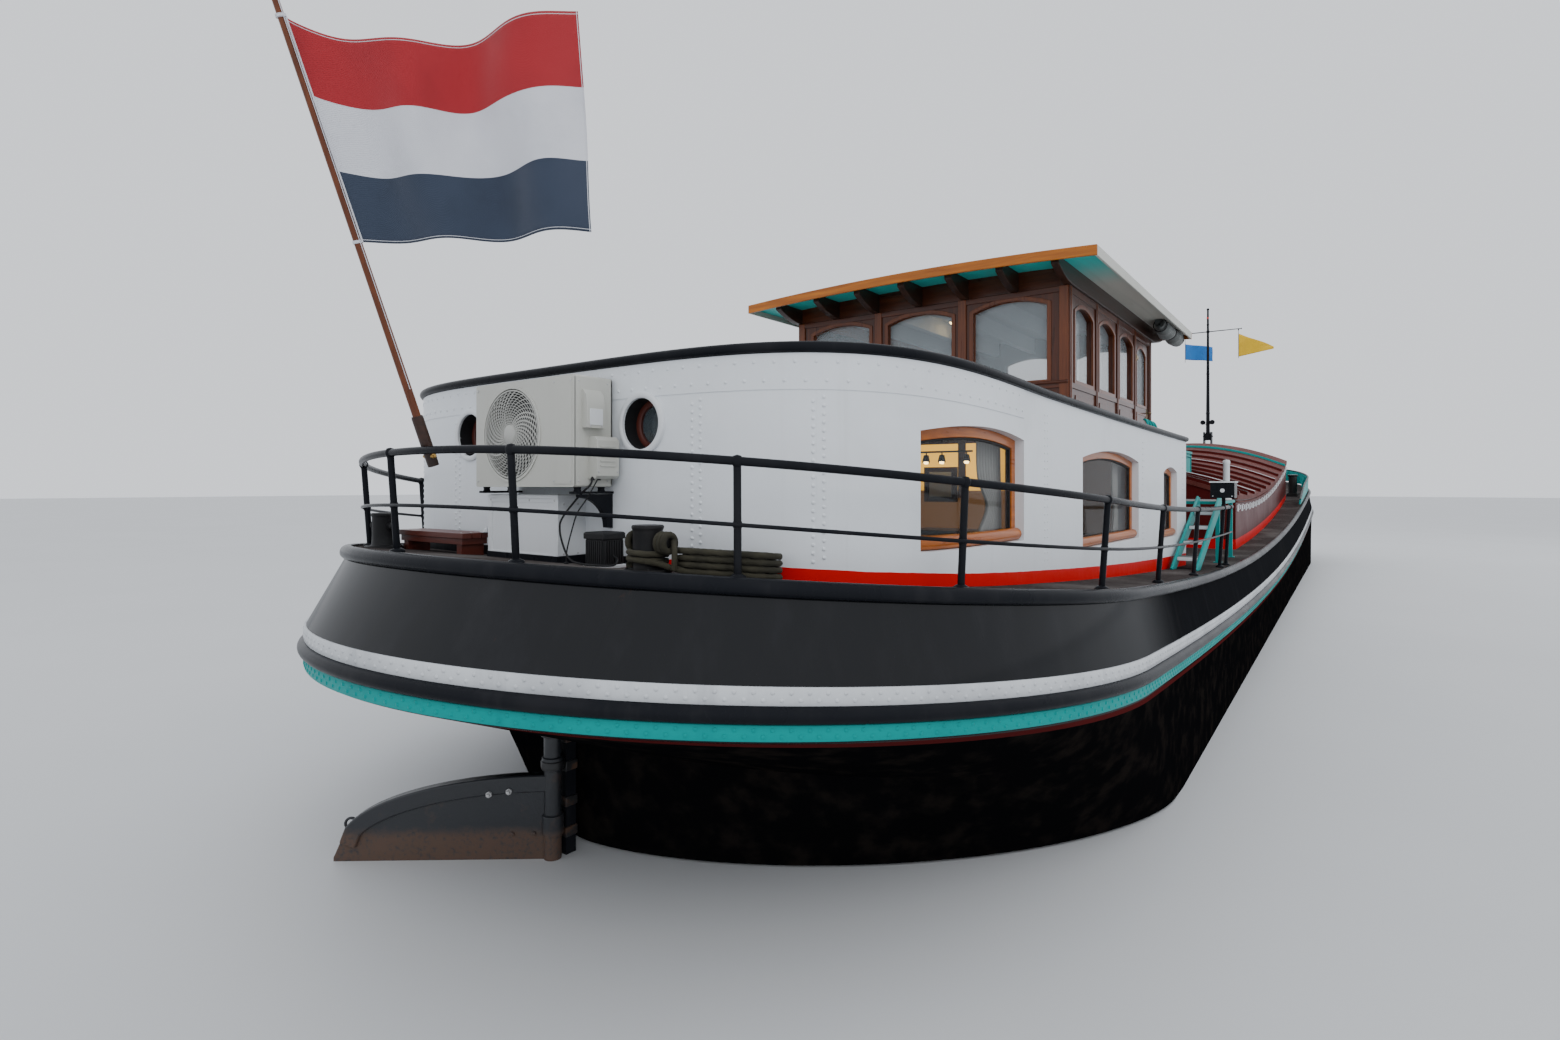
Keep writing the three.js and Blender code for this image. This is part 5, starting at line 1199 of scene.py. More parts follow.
def add_flag():
    """Three-striped ensign blowing from its staff"""
    rows = FLAG["rows"]
    flag = cloth_piece(
        "ensign", "barge", "cloth", flag_point, FLAG["columns"], rows,
        ("ensign_red", "ensign_white", "ensign_navy"), lambda i, j: j * 3 // rows, ("flag",)
    )
    cloth_size(flag_point, FLAG["columns"], rows)
    foot = Vector(STAFF["foot"])
    top = STAFF["length"]
    profile = [
        (0.0, -0.0188), (0.019, -0.0188), (0.0192, 0.4), (0.017, 1.2), (0.014, top), (0.010, top + 0.002),
        (0.020, top + 0.006), (0.026, top + 0.018), (0.0265, top + 0.03), (0.022, top + 0.044),
        (0.012, top + 0.053), (0.0, top + 0.055)
    ]
    Shape().lathe(profile, foot, STAFF_AXIS, 20).piece(
        "staff", "barge", "varnish", "varnish_bright", replaces=("flagstaff",), smooth=50
    )
    hems = Shape()
    for down in (0.012, 0.988, 1 / 3, 2 / 3):
        hems.tube([flag_point(i / 84, down) for i in range(85)], 0.0016, 6)
    hems.tube([flag_point(0.006, j / 24) for j in range(25)], 0.005, 8)
    hems.tube([flag_point(0.995, j / 24) for j in range(25)], 0.0018, 6)
    hems.piece("ensign_hems", "barge", "cloth", "ensign_white", smooth=80)
    line = Shape()
    for side in (-1, 1):
        line.tube(
            [foot + STAFF_AXIS * (0.32 + 0.1 * k) + Vector((0.0, side * 0.021, 0)) for k in range(18)],
            0.002, 6
        )
    for at in (FLAG["low"], FLAG["low"] + FLAG["hoist"]):
        line.lathe(
            [(0.0155, -0.008), (0.0215, -0.006), (0.0215, 0.006), (0.0155, 0.008)], foot + STAFF_AXIS * at,
            STAFF_AXIS, 14
        )
    line.piece("staff_line", "barge", "cloth", "ensign_white", smooth=60)


PENNANT = {"heading": math.radians(-52), "waves": 1.2, "depth": 0.028, "sag": 0.06}
PENNANTS = (  # name, y, fly, hoist, tip, foot
    ("blue", 0.62, 0.87, 0.48, 0.44, WATERLINE + 5.95),
    ("yellow", -0.805, 1.08, 0.69, 0.07, WATERLINE + 5.905),
)


def add_pennants():
    ahead = Vector((math.cos(PENNANT["heading"]), math.sin(PENNANT["heading"]), 0))
    aside = Vector((-ahead.y, ahead.x, 0))
    for name, y, fly, hoist, tip, foot in PENNANTS:
        def point(share, down, y=y, fly=fly, hoist=hoist, tip=tip, foot=foot):
            high = hoist + (tip - hoist) * share
            low = foot + (hoist - high) / 2 - PENNANT["sag"] * share
            swing = PENNANT["depth"] * min(1, 3 * share) * math.sin(2 * math.pi * PENNANT["waves"] * share)
            swing += 0.006 * share * math.sin(9 * down + 14 * share)
            run = SPREADER["halyard"] + GAP + fly * share
            return Vector((MAST["x"], y, low + high * (1 - down))) + ahead * run + aside * swing
        slot = name + "_cloth"
        cloth = cloth_piece(
            "pennant_sheet_" + name, "mast", slot, point, 48, 14, ("pennant_cloth_" + name,), lambda i,
            j: 0, ("pennant_" + name,)
        )
        cloth_size(point, 48, 14)


def add_hull():
    names = list(HULL_LINES)
    rows = [[(x, y, level_height(name, x)) for x, y in level_line(name)] for name in names]
    place = names.index("skirt")
    rows.insert(
        place, [tuple(0.5 * (a + b) for a, b in zip(p, q)) for p, q in zip(rows[place - 1], rows[place])]
    )
    count = len(rows[0])
    half = count // 2
    points = [p for row in rows for p in row]
    faces = []
    for i in range(len(rows) - 1):
        for j in range(count):
            k = (j + 1) % count
            faces.append((i * count + j, i * count + k, (i + 1) * count + k, (i + 1) * count + j))
    for level, flip in ((0, False), ((len(rows) - 1) * count, True)):
        for j in range(half):
            face = [level + j, level + j + 1, level + (count - j - 1) % count, level + (count - j) % count]
            unique = tuple(dict.fromkeys(face))
            faces.append(tuple(reversed(unique)) if flip else unique)
    hull = Shape().add(points, faces).piece(
        "hull_shell", "barge", "black_paint", "hull_black", replaces=("hull",), smooth=28
    )
    cut_by(hull, [
        Shape().box((-10.5, -1.65, 1.76), (-7.35, 1.65, 4.0)),
        Shape().box((-6.9, -0.9, 0.26), (-4.1, 0.9, 4.0)),
        Shape().box((-2.25, -2.0, 0.26), (8.8, 2.0, 4.0)),
        Shape().box((-11.7183, -0.0383, -0.01), (-11.6497, 0.0383, 1.7903)),
        Shape().box((-11.9, -0.0483, -0.01), (-9.8997, 0.0483, 0.1003)),
        Shape().lathe(
            [(0.0, 0.0), (0.0392, 0.0), (0.0392, 1.9), (0.0, 1.9)], (-11.5, 0, 0.48), (1, 0, 0), 24
        ),
        Shape().lathe(
            [(0.0, 0.0), (0.0494, 0.0), (0.0494, 1.061), (0.0, 1.061)], (RUDDER_X, 0, 0.8), (0, 0, 1), 24
        ),
    ], 28)


def band_rows(name, drop, section):
    """Strip round the hull on a level line: section points are (outward, up)"""
    line = level_line(name)
    rows = []
    for i, (x, y) in enumerate(line):
        out = outward_of(line, i)
        base = Vector((x, y, level_height(name, x) - drop))
        rows.append([base + out * reach + Vector((0, 0, up)) for reach, up in section])
    return rows


def add_bands():
    def plate(height):
        edge = BAND["plate"]
        return [
            (GAP, 0), (edge - 0.002, 0), (edge, -0.003), (edge, -height + 0.003), (edge - 0.002, -height),
            (GAP, -height)
        ]
    black = BAND["black"]
    round_bar = [(
        GAP + BAND["proud"] * math.sin(math.pi * i / 12),
        black / 2 * math.cos(math.pi * i / 12) - black / 2
    ) for i in range(13)]
    for name, drop, section, look, slot, node in (
        ("band_white", 0, plate(BAND["white"] - GAP), "band_white", "white_paint", "white_band"),
        ("strake_black", BAND["white"], round_bar, "edge_black", "black_paint", "rubbing_strake"),
        (
            "band_teal", BAND["white"] + black + GAP, plate(BAND["teal"]), "band_teal", "teal_paint",
            "teal_band"
        ),
    ):
        Shape().skin(band_rows("strake", drop, section), ring=True).piece(
            name, "barge", slot, look, replaces=(node,), smooth=50
        )
    edge = [EDGE[0]] + [(p.x, p.z) for p in smooth_path([(out, 0, up) for out, up in EDGE[1:]], 3)]
    Shape().skin(band_rows("deck", 0, edge), ring=True).piece(
        "edge_bar", "barge", "black_paint", "edge_black", replaces=("deck_edge",), smooth=50
    )


def add_band_rivets(pitch, radius):
    """Staggered double rows on the white and the teal band"""
    for name, drop, height, look, slot in (
        ("rivets_white", 0.0, BAND["white"], "band_white", "white_paint"),
        ("rivets_teal", BAND["white"] + BAND["black"], BAND["teal"], "band_teal", "teal_paint"),
    ):
        shape = Shape()
        line = level_line("strake")
        left = 0.0
        number = 0
        for i in range(len(line)):
            a, b = Vector((*line[i], 0)), Vector((*line[(i + 1) % len(line)], 0))
            length = (b - a).length
            out = Vector(((b - a).y, -(b - a).x, 0)).normalized()
            while left < length:
                at = a + (b - a) * (left / length) + out * BAND["plate"]
                at.z = level_height("strake", at.x) - drop - height * (0.3 if number % 2 else 0.7)
                shape.dome(at, out, radius, radius * 0.45, 6)
                number += 1
                left += pitch / 2
            left -= length
        shape.piece(name, "barge", slot, look, smooth=60)


def cabin_window_place(x, foot, side):
    return lambda u, v, w: Vector((x + u, side * cabin_half(x + u, w), foot + v))


def add_cabin():
    """Smooth walls, rim and roof of the stern cabin"""
    seam = math.pi / 2 * 5 / 12
    wall = CABIN["wall"]

    def section(outer, inner):
        rows = []
        for x, y, low in ((*outer, True), (*outer, False), (*inner, False), (*inner, True)):
            rows.append((x, y, deck_at(x) + 0.0005 if low else cabin_top(x)))
        return rows
    stern = Shape().skin([section(
        cabin_at(seam * i / 36), cabin_at(seam * i / 36, wall)
    ) for i in range(-36, 37)])
    made = stern.piece(
        "cabin_stern", "barge", "white_paint", "cabin_white", replaces=("cabin_wall_stern",), smooth=30
    )
    holes = [Shape().lathe(
        [(0.0, -0.3), (PORTHOLE["radius"], -0.3), (PORTHOLE["radius"], 0.4), (0.0, 0.4)],
        (CABIN["aft"], side * PORTHOLE["y"], PORTHOLE["z"]), (1, 0, 0), 40
    ) for side in (-1, 1)]
    cut_by(made, holes)
    for side, name in ((-1, "starboard"), (1, "port")):
        rows = []
        for i in range(33):
            angle = seam + (math.pi / 2 - seam) * i / 32
            (x, y), (u, v) = cabin_at(angle), cabin_at(angle, wall)
            rows.append(section(
                (x + (0.0004 if i == 0 else 0), side * y), (u + (0.0004 if i == 0 else 0), side * v)
            ))
        for i in range(1, 13):
            x = STERN_ROUND_X + (CABIN["front"] - STERN_ROUND_X) * i / 12
            rows.append(section((x, side * cabin_half(x)), (x, side * cabin_half(x, wall))))
        made = Shape().skin(rows).piece(
            "cabin_side_" + name, "barge", "white_paint", "cabin_white", replaces=("cabin_wall_" + name,),
            smooth=30
        )
        tools = []
        for _, x, width, foot, spring, rise in WINDOWS:
            loop = arch_loop(width, spring, rise)
            tools.append(Shape().board(
                loop, [], 1.5, 2.6, lambda u, v, w, x=x, foot=foot,
                side=side: Vector((x + u, side * w, foot + v))
            ))
        cut_by(made, tools)
        front = CABIN["front"]
        low, high = sorted((side * 2.1, side * (HOUSE["half"] + GAP)))
        Shape().box(
            (front - 0.06, low, deck_at(front)), (front, high, cabin_top(front) - 0.001)
        ).piece("cabin_front_" + name, "barge", "white_paint", "cabin_white")
    line = cabin_line()
    rows = []
    for i, (x, y) in enumerate(line):
        out = outward_of(line, i, False)
        rows.append([Vector((x, y, cabin_top(x) + 0.0262)) + out * (0.028 * math.cos(2 * math.pi * k / 16)) + Vector((
            0, 0, 0.0258 * math.sin(2 * math.pi * k / 16)
        )) for k in range(16)])
    Shape().skin(rows).piece(
        "cabin_rim_bar", "barge", "black_paint", "edge_black", replaces=("cabin_rim",), smooth=50
    )
    rows = []
    for i in range(61):
        ease = (i / 60) ** 2
        x = -11.786 + (CABIN["front"] + 11.786) * ease
        half = cabin_half(x, 0.032)
        rise = ROOF_CAMBER * (half / CABIN["half"]) ** 2
        under = [(
            x, half * k / 10, cabin_top(x) + GAP + rise * (1 - (k / 10) ** 2)
        ) for k in range(-10, 11)]
        rows.append(under + [(a, b, c + 0.045) for a, b, c in reversed(under)])
    roof = Shape().skin(rows).piece(
        "cabin_roof_plate", "barge", "cream_paint", "roof_grey", replaces=("cabin_roof",), smooth=30
    )
    cut_by(
        roof,
        [Shape().box((HOUSE["aft"] - GAP, -HOUSE["half"] - GAP, 3.0), (0.0, HOUSE["half"] + GAP, 5.0))]
    )


def add_cabin_plates():
    """Riveted strip under the rim, double rivet rows and the portholes' rings"""
    strip, rivets = Shape(), Shape()
    line = [cabin_at(math.pi / 2 * i / 60) for i in range(-60, 61)]
    line = [(x, y) for x, y in line if x < -10.1]
    rows = []
    for i, (x, y) in enumerate(line):
        out = outward_of(line, i, False) * -1
        top = cabin_top(x)
        rows.append([
            Vector((x, y, top - 0.165)) + out * GAP, Vector((x, y, top - 0.165)) + out * 0.0035,
            Vector((x, y, top - 0.002)) + out * 0.0045, Vector((x, y, top - 0.002)) + out * GAP
        ])
    strip.skin(rows).piece("plate_strip", "barge", "white_paint", "cabin_white", smooth=40)
    left, number = 0.03, 0
    for (x, y), (u, v) in zip(line, line[1:]):
        a, b = Vector((x, y, 0)), Vector((u, v, 0))
        out = Vector((-(b - a).y, (b - a).x, 0)).normalized()
        if out.x * (a.x + 9.7) + out.y * a.y < 0:
            out = -out
        length = (b - a).length
        while left < length:
            at = a.lerp(b, left / length) + out * 0.004
            at.z = cabin_top(at.x) - (0.04 if number % 2 else 0.125)
            rivets.dome(at, out, 0.010, 0.0050, 6)
            number += 1
            left += 0.048
        left -= length
    for y in (0.907, -1.095, -1.667, 1.667, 0.0):
        x, _, out = cabin_skin(y)
        aside = Vector((-out.y, out.x, 0))
        count = 20
        for n in range(count):
            for column in (-1, 1):
                at = Vector((x, y, 0)) + aside * 0.024 * column + out * 0.0005
                at.z = deck_at(x) + 0.09 + (cabin_top(x) - 0.27 - deck_at(x)) * (n + (0.5 if column > 0 else 0)) / count
                rivets.dome(at, out, 0.010, 0.0050, 6)
    for x in (-9.72, -7.35, -5.75):
        for side in (-1, 1):
            for n in range(20):
                for column in (-1, 1):
                    at = Vector((
                        x + 0.024 * column, side * (cabin_half(x) + 0.0005),
                        deck_at(x) + 0.14 + (cabin_top(x) - 0.2 - deck_at(x)) * n / 20
                    ))
                    rivets.dome(at, (0, side, 0), 0.0085, 0.0035, 6)
    rivets.piece("cabin_rivets", "barge", "white_paint", "cabin_white", smooth=60)
    for side, name in ((-1, "starboard"), (1, "port")):
        at = Vector((cabin_skin(side * PORTHOLE["y"])[0], side * PORTHOLE["y"], PORTHOLE["z"]))
        out = Vector((-1, 0, 0))
        ring = Shape()
        ring.lathe(
            [
                (0.128, -0.02), (0.128, 0.012), (0.134, 0.016), (0.152, 0.016), (0.158, 0.011),
                (0.159, 0.0), (0.159, -0.02)
            ],
            at, out, 48, look=0, ring=True
        )
        ring.lathe([(0.0, -0.105), (0.098, -0.105), (0.0985, -0.099), (0.0, -0.099)], at, out, 40, look=2)
        ring.lathe(
            [(0.098, -0.108), (0.098, -0.088), (0.104, -0.083), (0.127, -0.083), (0.1275, -0.108)], at,
            out, 40, look=1, ring=True
        )
        ring.lathe(
            [(0.1277, -0.098), (0.1277, -0.002), (0.1262, -0.002), (0.1262, -0.098)], at, out, 40, look=3,
            ring=True
        )
        ring.piece(
            "porthole_" + name, "barge", "white_paint", "white", "bench_red", "dark_glass", "rubber",
            smooth=40
        )


def add_cabin_windows():
    """Varnished frames with glass, heavy sills and curtains"""
    for name, x, width, foot, spring, rise in WINDOWS:
        outer = arch_loop(width, spring, rise, 0.0004)
        inner = arch_loop(width, spring, rise, WINDOW["frame"])
        bead = arch_loop(width, spring, rise, WINDOW["frame"] + 0.012)
        for side, which in ((-1, "starboard"), (1, "port")):
            place = cabin_window_place(x, foot, side)
            near = WINDOW["set"]
            shape = Shape()
            shape.surround(outer, inner, near, near + WINDOW["depth"], place)
            shape.surround(inner, bead, near + 0.008, near + 0.034, place, look=1)
            shape.pane(
                width, spring, rise, WINDOW["frame"] + 0.004, near + 0.016, near + 0.024, place, look=2
            )
            sill = [place(
                -width / 2 + 0.006 + (width - 0.012) * k / 12, 0.036, near - 0.006
            ) for k in range(13)]
            shape.tube(sill, 0.035, 16, look=0)
            shape.piece(
                "window_%s_%s" % (which, name), "barge", "window", "varnish_long", "rubber", "cabin_glass",
                replaces=("cabin_window_%s_%s" % (which, name),), smooth=40, bevel=0.0035
            )
    for name, x, from_u, to_u, foot, high, folds in (
        ("aft", -10.655, 0.24, 0.58, WATERLINE + 1.80, 0.56, 8.5),
        ("middle", -8.25, 0.55, 0.68, WATERLINE + 1.68, 0.62, 3.5)
    ):
        for side, which in ((-1, "starboard"), (1, "port")):
            def point(
                share, down, x=x, from_u=from_u, to_u=to_u, foot=foot, high=high, side=side, folds=folds
            ):
                pinch = 1 - 0.45 * math.exp(-((down - 0.72) / 0.2) ** 2)
                u = to_u - (to_u - from_u) * (1 - share) * pinch
                fold = 0.017 * math.sin(share * 2 * math.pi * folds) * (0.6 + 0.4 * down)
                return Vector((x + u, side * (cabin_half(x + u) - 0.16 + fold), foot + high * (1 - down)))
            cloth = cloth_piece(
                "curtain_%s_%s" % (which, name), "barge", "cloth", point, 66, 14, ("curtain",), lambda i,
                j: 0
            )
            size = cloth_size(point, 66, 14)


def add_saloon():
    """Bulkhead glowing with painted lamplight, seen through the cabin's windows, with a lamp rail and a framed blank
    sheet
    """
    at = HOUSE["aft"] - 0.0015
    panel = Shape().box((at - 0.012, -1.9, 1.78), (at, 1.9, 3.44))
    panel.piece("saloon_bulkhead", "barge", "white_paint", "lining", bevel=0.002)
    fittings = Shape()
    fittings.tube([(at - 0.10, -0.62, 3.36), (at - 0.10, -0.04, 3.36)], 0.010, 10, look=0)
    for y in (-0.13, -0.30, -0.56):
        fittings.tube([(at - 0.10, y, 3.36), (at - 0.10, y, 3.315)], 0.007, 8, look=0)
        fittings.lathe(
            [(0.0, 0.0), (0.026, 0.0), (0.038, -0.06), (0.036, -0.075), (0.0, -0.062)],
            (at - 0.10, y, 3.325), (0.3, 0.1, 1), 18, look=0
        )
        fittings.lathe(
            [(0.0, -0.060), (0.026, -0.066), (0.022, -0.085), (0.0, -0.092)], (at - 0.10, y, 3.325),
            (0.3, 0.1, 1), 14, look=1
        )
    for y0, y1, z0, z1 in ((-0.43, -0.07, 2.86, 3.21), (-1.3, -1.0, 3.02, 3.22)):
        fittings.box((at - 0.03, y0, z0), (at - 0.012, y1, z1), look=2)
        fittings.box((at - 0.034, y0 + 0.06, z0 + 0.05), (at - 0.028, y1 - 0.06, z1 - 0.05), look=3)
    fittings.box((at - 0.45, -1.75, 2.55), (at - 0.02, -0.1, 2.60), look=4)
    fittings.piece(
        "saloon_fittings", "barge", "dark_wood", "rubber", "warm_lamp", "varnish_rail", "paper",
        "dark_wood", bevel=0.002, smooth=45
    )


def circle(radius, steps=32, across=0.0, up=0.0):
    return [(
        across + radius * math.cos(2 * math.pi * k / steps),
        up + radius * math.sin(2 * math.pi * k / steps)
    ) for k in range(steps)]


def round_corners(x0, x1, y0, y1, radius, steps=5):
    """Rectangle with rounded corners as a loop"""
    loop = []
    for cx, cy, start in (
        (x1 - radius, y1 - radius, 0), (x0 + radius, y1 - radius, 90), (x0 + radius, y0 + radius, 180),
        (x1 - radius, y0 + radius, 270)
    ):
        for k in range(steps):
            angle = math.radians(start + 90 * k / (steps - 1))
            loop.append((cx + radius * math.cos(angle), cy + radius * math.sin(angle)))
    return loop


END_LIGHTS = (-0.945, 0.0, 0.945)
SIDE_LIGHTS = (-6.75, -5.9, -5.05)
HINGE = {"x": -4.5975, "y": 1.511, "levels": (3.15, 4.5), "lug": 0.03, "strap": 0.045}


def rectangle(x0, x1, y0, y1):
    return [(x0, y0), (x1, y0), (x1, y1), (x0, y1)]


def lifted(loop, across, up):
    return [(across + u, up + v) for u, v in loop]


def add_end_walls():
    foot, top = HOUSE["floor"] + GAP, HOUSE["top"]
    width, spring, rise = LIGHT["end_width"], LIGHT["end_spring"], LIGHT["rise"]
    for name, x, turn in (("aft", HOUSE["aft"], 1), ("front", HOUSE["front"], -1)):
        def place(u, v, w, x=x, turn=turn):
            return Vector((x + turn * w, u, v))
        wall, glass = Shape(), Shape()
        holes = [lifted(arch_loop(width, spring, rise), y, SILL_Z) for y in END_LIGHTS]
        wall.board(rectangle(-HOUSE["half"], HOUSE["half"], foot, top), holes, 0.0, HOUSE["wall"], place)
        for y in END_LIGHTS:
            outer = lifted(arch_loop(width, spring, rise, -0.030), y, SILL_Z)
            inner = lifted(arch_loop(width, spring, rise, 0.010), y, SILL_Z)
            wall.surround(outer, inner, -0.009, 0.014, place, look=1)
            wall.surround(
                lifted(arch_loop(width, spring, rise, 0.0), y, SILL_Z),
                lifted(arch_loop(width, spring, rise, 0.012), y, SILL_Z), 0.036, HOUSE["wall"] - 0.001,
                place, look=1
            )
            glass.pane(
                width, spring, rise, -0.015, HOUSE["wall"] + GAP, HOUSE["wall"] + 0.006, lambda u, v, w,
                y=y: place(y + u, SILL_Z + v, w)
            )
        for y in (-1.46, -0.4725, 0.4725, 1.46):
            wall.board(
                rectangle(y - 0.042, y + 0.042, foot + 0.002, top - 0.002), [], -0.016, 0.002, place,
                look=1
            )
        for low, high in (
            (SILL_Z - 0.075, SILL_Z - 0.025), (foot + 0.002, foot + 0.10), (top - 0.055, top - 0.002)
        ):
            wall.board(rectangle(-1.495, 1.495, low, high), [], -0.012, 0.002, place, look=2)
        wall.tube([place(-1.5 + 0.25 * k, SILL_Z - 0.022, -0.014) for k in range(13)], 0.016, 10, look=2)
        for y in END_LIGHTS:
            wall.board(rectangle(y - 0.34, y + 0.34, foot + 0.16, SILL_Z - 0.13), [], -0.007, 0.002, place)
        wall.piece(
            "house_wall_" + name, "barge", "varnish", "varnish", "varnish_bright", "varnish_rail",
            replaces=("wheelhouse_wall_" + name,), bevel=0.0035, smooth=40
        )
        glass.piece("house_glass_" + name, "barge", "glass", "glass", smooth=40)


def add_side_walls():
    foot, top = HOUSE["floor"] + GAP, HOUSE["top"]
    width, spring, rise = LIGHT["side_width"], LIGHT["side_spring"], LIGHT["rise"]
    aft, fore = HOUSE["aft"] + HOUSE["wall"] + GAP, HOUSE["front"] - HOUSE["wall"] - GAP
    glass = Shape()
    for side, name in ((-1, "starboard"), (1, "port")):
        def place(u, v, w, side=side):
            return Vector((u, side * (HOUSE["half"] - w), v))
        wall = Shape()
        outline = [
            (aft, foot), (DOOR["aft"], foot), (DOOR["aft"], DOOR["head"]), (DOOR["front"], DOOR["head"]),
            (DOOR["front"], foot), (fore, foot), (fore, top), (aft, top)
        ]
        holes = [lifted(arch_loop(width, spring, rise), x, SILL_Z) for x in SIDE_LIGHTS]
        wall.board(outline, holes, 0.0, HOUSE["wall"], place)
        for x in SIDE_LIGHTS:
            outer = lifted(arch_loop(width, spring, rise, -0.028), x, SILL_Z)
            inner = lifted(arch_loop(width, spring, rise, 0.010), x, SILL_Z)
            wall.surround(outer, inner, -0.009, 0.014, place, look=1)
            glass.pane(
                width, spring, rise, -0.015, HOUSE["wall"] + GAP, HOUSE["wall"] + 0.006, lambda u, v, w,
                x=x: place(x + u, SILL_Z + v, w)
            )
            wall.board(rectangle(x - 0.30, x + 0.30, foot + 0.16, SILL_Z - 0.13), [], -0.007, 0.002, place)
        for x, half in ((-7.215, 0.035), (-6.325, 0.036), (-5.475, 0.036), (-4.655, 0.030), (-3.79, 0.045)):
            wall.board(rectangle(x - half, x + half, foot + 0.002, top - 0.002), [], -0.014, 0.002, place)
            wall.board(
                rectangle(x - 0.009, x + 0.009, foot + 0.01, top - 0.01), [], -0.019, -0.013, place, look=1
            )
        for low, high in ((SILL_Z - 0.075, SILL_Z - 0.025), (foot + 0.002, foot + 0.10)):
            wall.board(
                rectangle(aft + 0.005, DOOR["aft"] - 0.01, low, high), [], -0.011, 0.002, place, look=2
            )
        wall.board(
            rectangle(aft - 0.05, fore + 0.05, DOOR["head"] + 0.012, top - 0.002), [], -0.012, 0.002,
            place, look=2
        )
        for z in HINGE["levels"]:
            low, high = sorted((side * (HINGE["y"] + 0.010), side * (HOUSE["half"] - 0.001)))
            wall.box((HINGE["x"] - 0.027, low, z), (HINGE["x"] - 0.009, high, z + HINGE["lug"]), look=3)
            wall.lathe(
                [(0.0063, 0.0), (0.010, 0.0), (0.010, HINGE["lug"]), (0.0063, HINGE["lug"])],
                (HINGE["x"], side * HINGE["y"], z), (0, 0, 1), 24, look=3, ring=True
            )
        wall.piece(
            "house_wall_" + name, "barge", "varnish", "varnish", "varnish_bright", "varnish_side",
            "bronze", replaces=("wheelhouse_wall_" + name,), bevel=0.003, smooth=40
        )
    glass.piece("house_glass_sides", "barge", "glass", "glass", replaces=("wheelhouse_glass",), smooth=40)


def add_doors():
    """Glazed doors on their hinges, with handles"""
    x0, x1 = DOOR["aft"] + 0.005, DOOR["front"] - 0.008
    z0, z1 = HOUSE["floor"] + GAP + 0.005, DOOR["head"] - 0.005
    middle = (DOOR["aft"] + DOOR["front"]) / 2
    width, spring, rise = DOOR["light"], LIGHT["side_spring"] - 0.02, LIGHT["rise"]
    for side, name in ((-1, "starboard"), (1, "port")):
        def place(u, v, w, side=side):
            return Vector((u, side * (HOUSE["half"] - 0.008 - w), v))
        leaf = Shape()
        loop = lifted(arch_loop(width, spring, rise), middle, SILL_Z)
        leaf.board(rectangle(x0, x1, z0, z1), [loop], 0.0, 0.044, place)
        leaf.surround(
            lifted(arch_loop(width, spring, rise, -0.024), middle, SILL_Z),
            lifted(arch_loop(width, spring, rise, 0.010), middle, SILL_Z), -0.005, 0.012, place, look=1
        )
        leaf.pane(
            width, spring, rise, -0.012, 0.018, 0.024, lambda u, v, w: place(middle + u, SILL_Z + v, w),
            look=2
        )
        for low, high in ((z0 + 0.10, z0 + 0.50), (z0 + 0.58, SILL_Z - 0.09)):
            leaf.surround(
                lifted(rectangle(-0.25, 0.25, low, high), middle, 0),
                lifted(rectangle(-0.225, 0.225, low + 0.025, high - 0.025), middle, 0), -0.005, 0.003,
                place, look=1
            )
        y = side * HINGE["y"]
        for level in HINGE["levels"]:
            z = level + HINGE["lug"] + GAP
            low, high = sorted((y + side * 0.004, y - side * 0.004))
            leaf.box(
                (HINGE["x"] + 0.0075, min(y, side * 1.492) if side < 0 else side * 1.492, z + 0.004),
                (HINGE["x"] + 0.13, max(y, side * 1.492) if side < 0 else y, z + HINGE["strap"] - 0.004),
                look=3
            )
            leaf.box((HINGE["x"], low, z), (HINGE["x"] + 0.009, high, z + HINGE["strap"]), look=3)
            leaf.lathe(
                [
                    (0.0, 0.0), (0.010, 0.0), (0.010, HINGE["strap"]), (0.006, HINGE["strap"] + 0.003),
                    (0.0, HINGE["strap"] + 0.003)
                ],
                (HINGE["x"], y, z), (0, 0, 1), 20, look=3
            )
            leaf.lathe(
                [(0.0, 0.0), (0.006, 0.0), (0.006, HINGE["lug"]), (0.0, HINGE["lug"])],
                (HINGE["x"], y, level + 0.001), (0, 0, 1), 16, look=3
            )
            for k in range(3):
                leaf.dome(
                    (HINGE["x"] + 0.035 + 0.036 * k, side * 1.5112, z + HINGE["strap"] / 2), (0, side, 0),
                    0.005, 0.0012, 8, look=3
                )
        grip = x1 - 0.055
        leaf.board(
            round_corners(grip - 0.018, grip + 0.018, 3.82, 3.98, 0.012), [], -0.005, 0.001, place, look=3
        )
        leaf.tube(
            [
                place(grip, 3.93, -0.004), place(grip, 3.93, -0.045), place(grip - 0.012, 3.93, -0.055),
                place(grip - 0.10, 3.928, -0.055)
            ],
            0.008, 10, look=3
        )
        leaf.lathe(
            [(0.0, 0.0), (0.009, 0.0), (0.009, 0.003), (0.0, 0.003)], place(grip, 3.86, -0.004),
            (0, side, 0), 16, look=3
        )
        leaf.piece(
            "house_door_" + name, "door_" + name, "varnish", "varnish", "varnish_bright", "glass",
            "bronze", replaces=("wheelhouse_door_" + name,), bevel=0.0022, smooth=40
        )


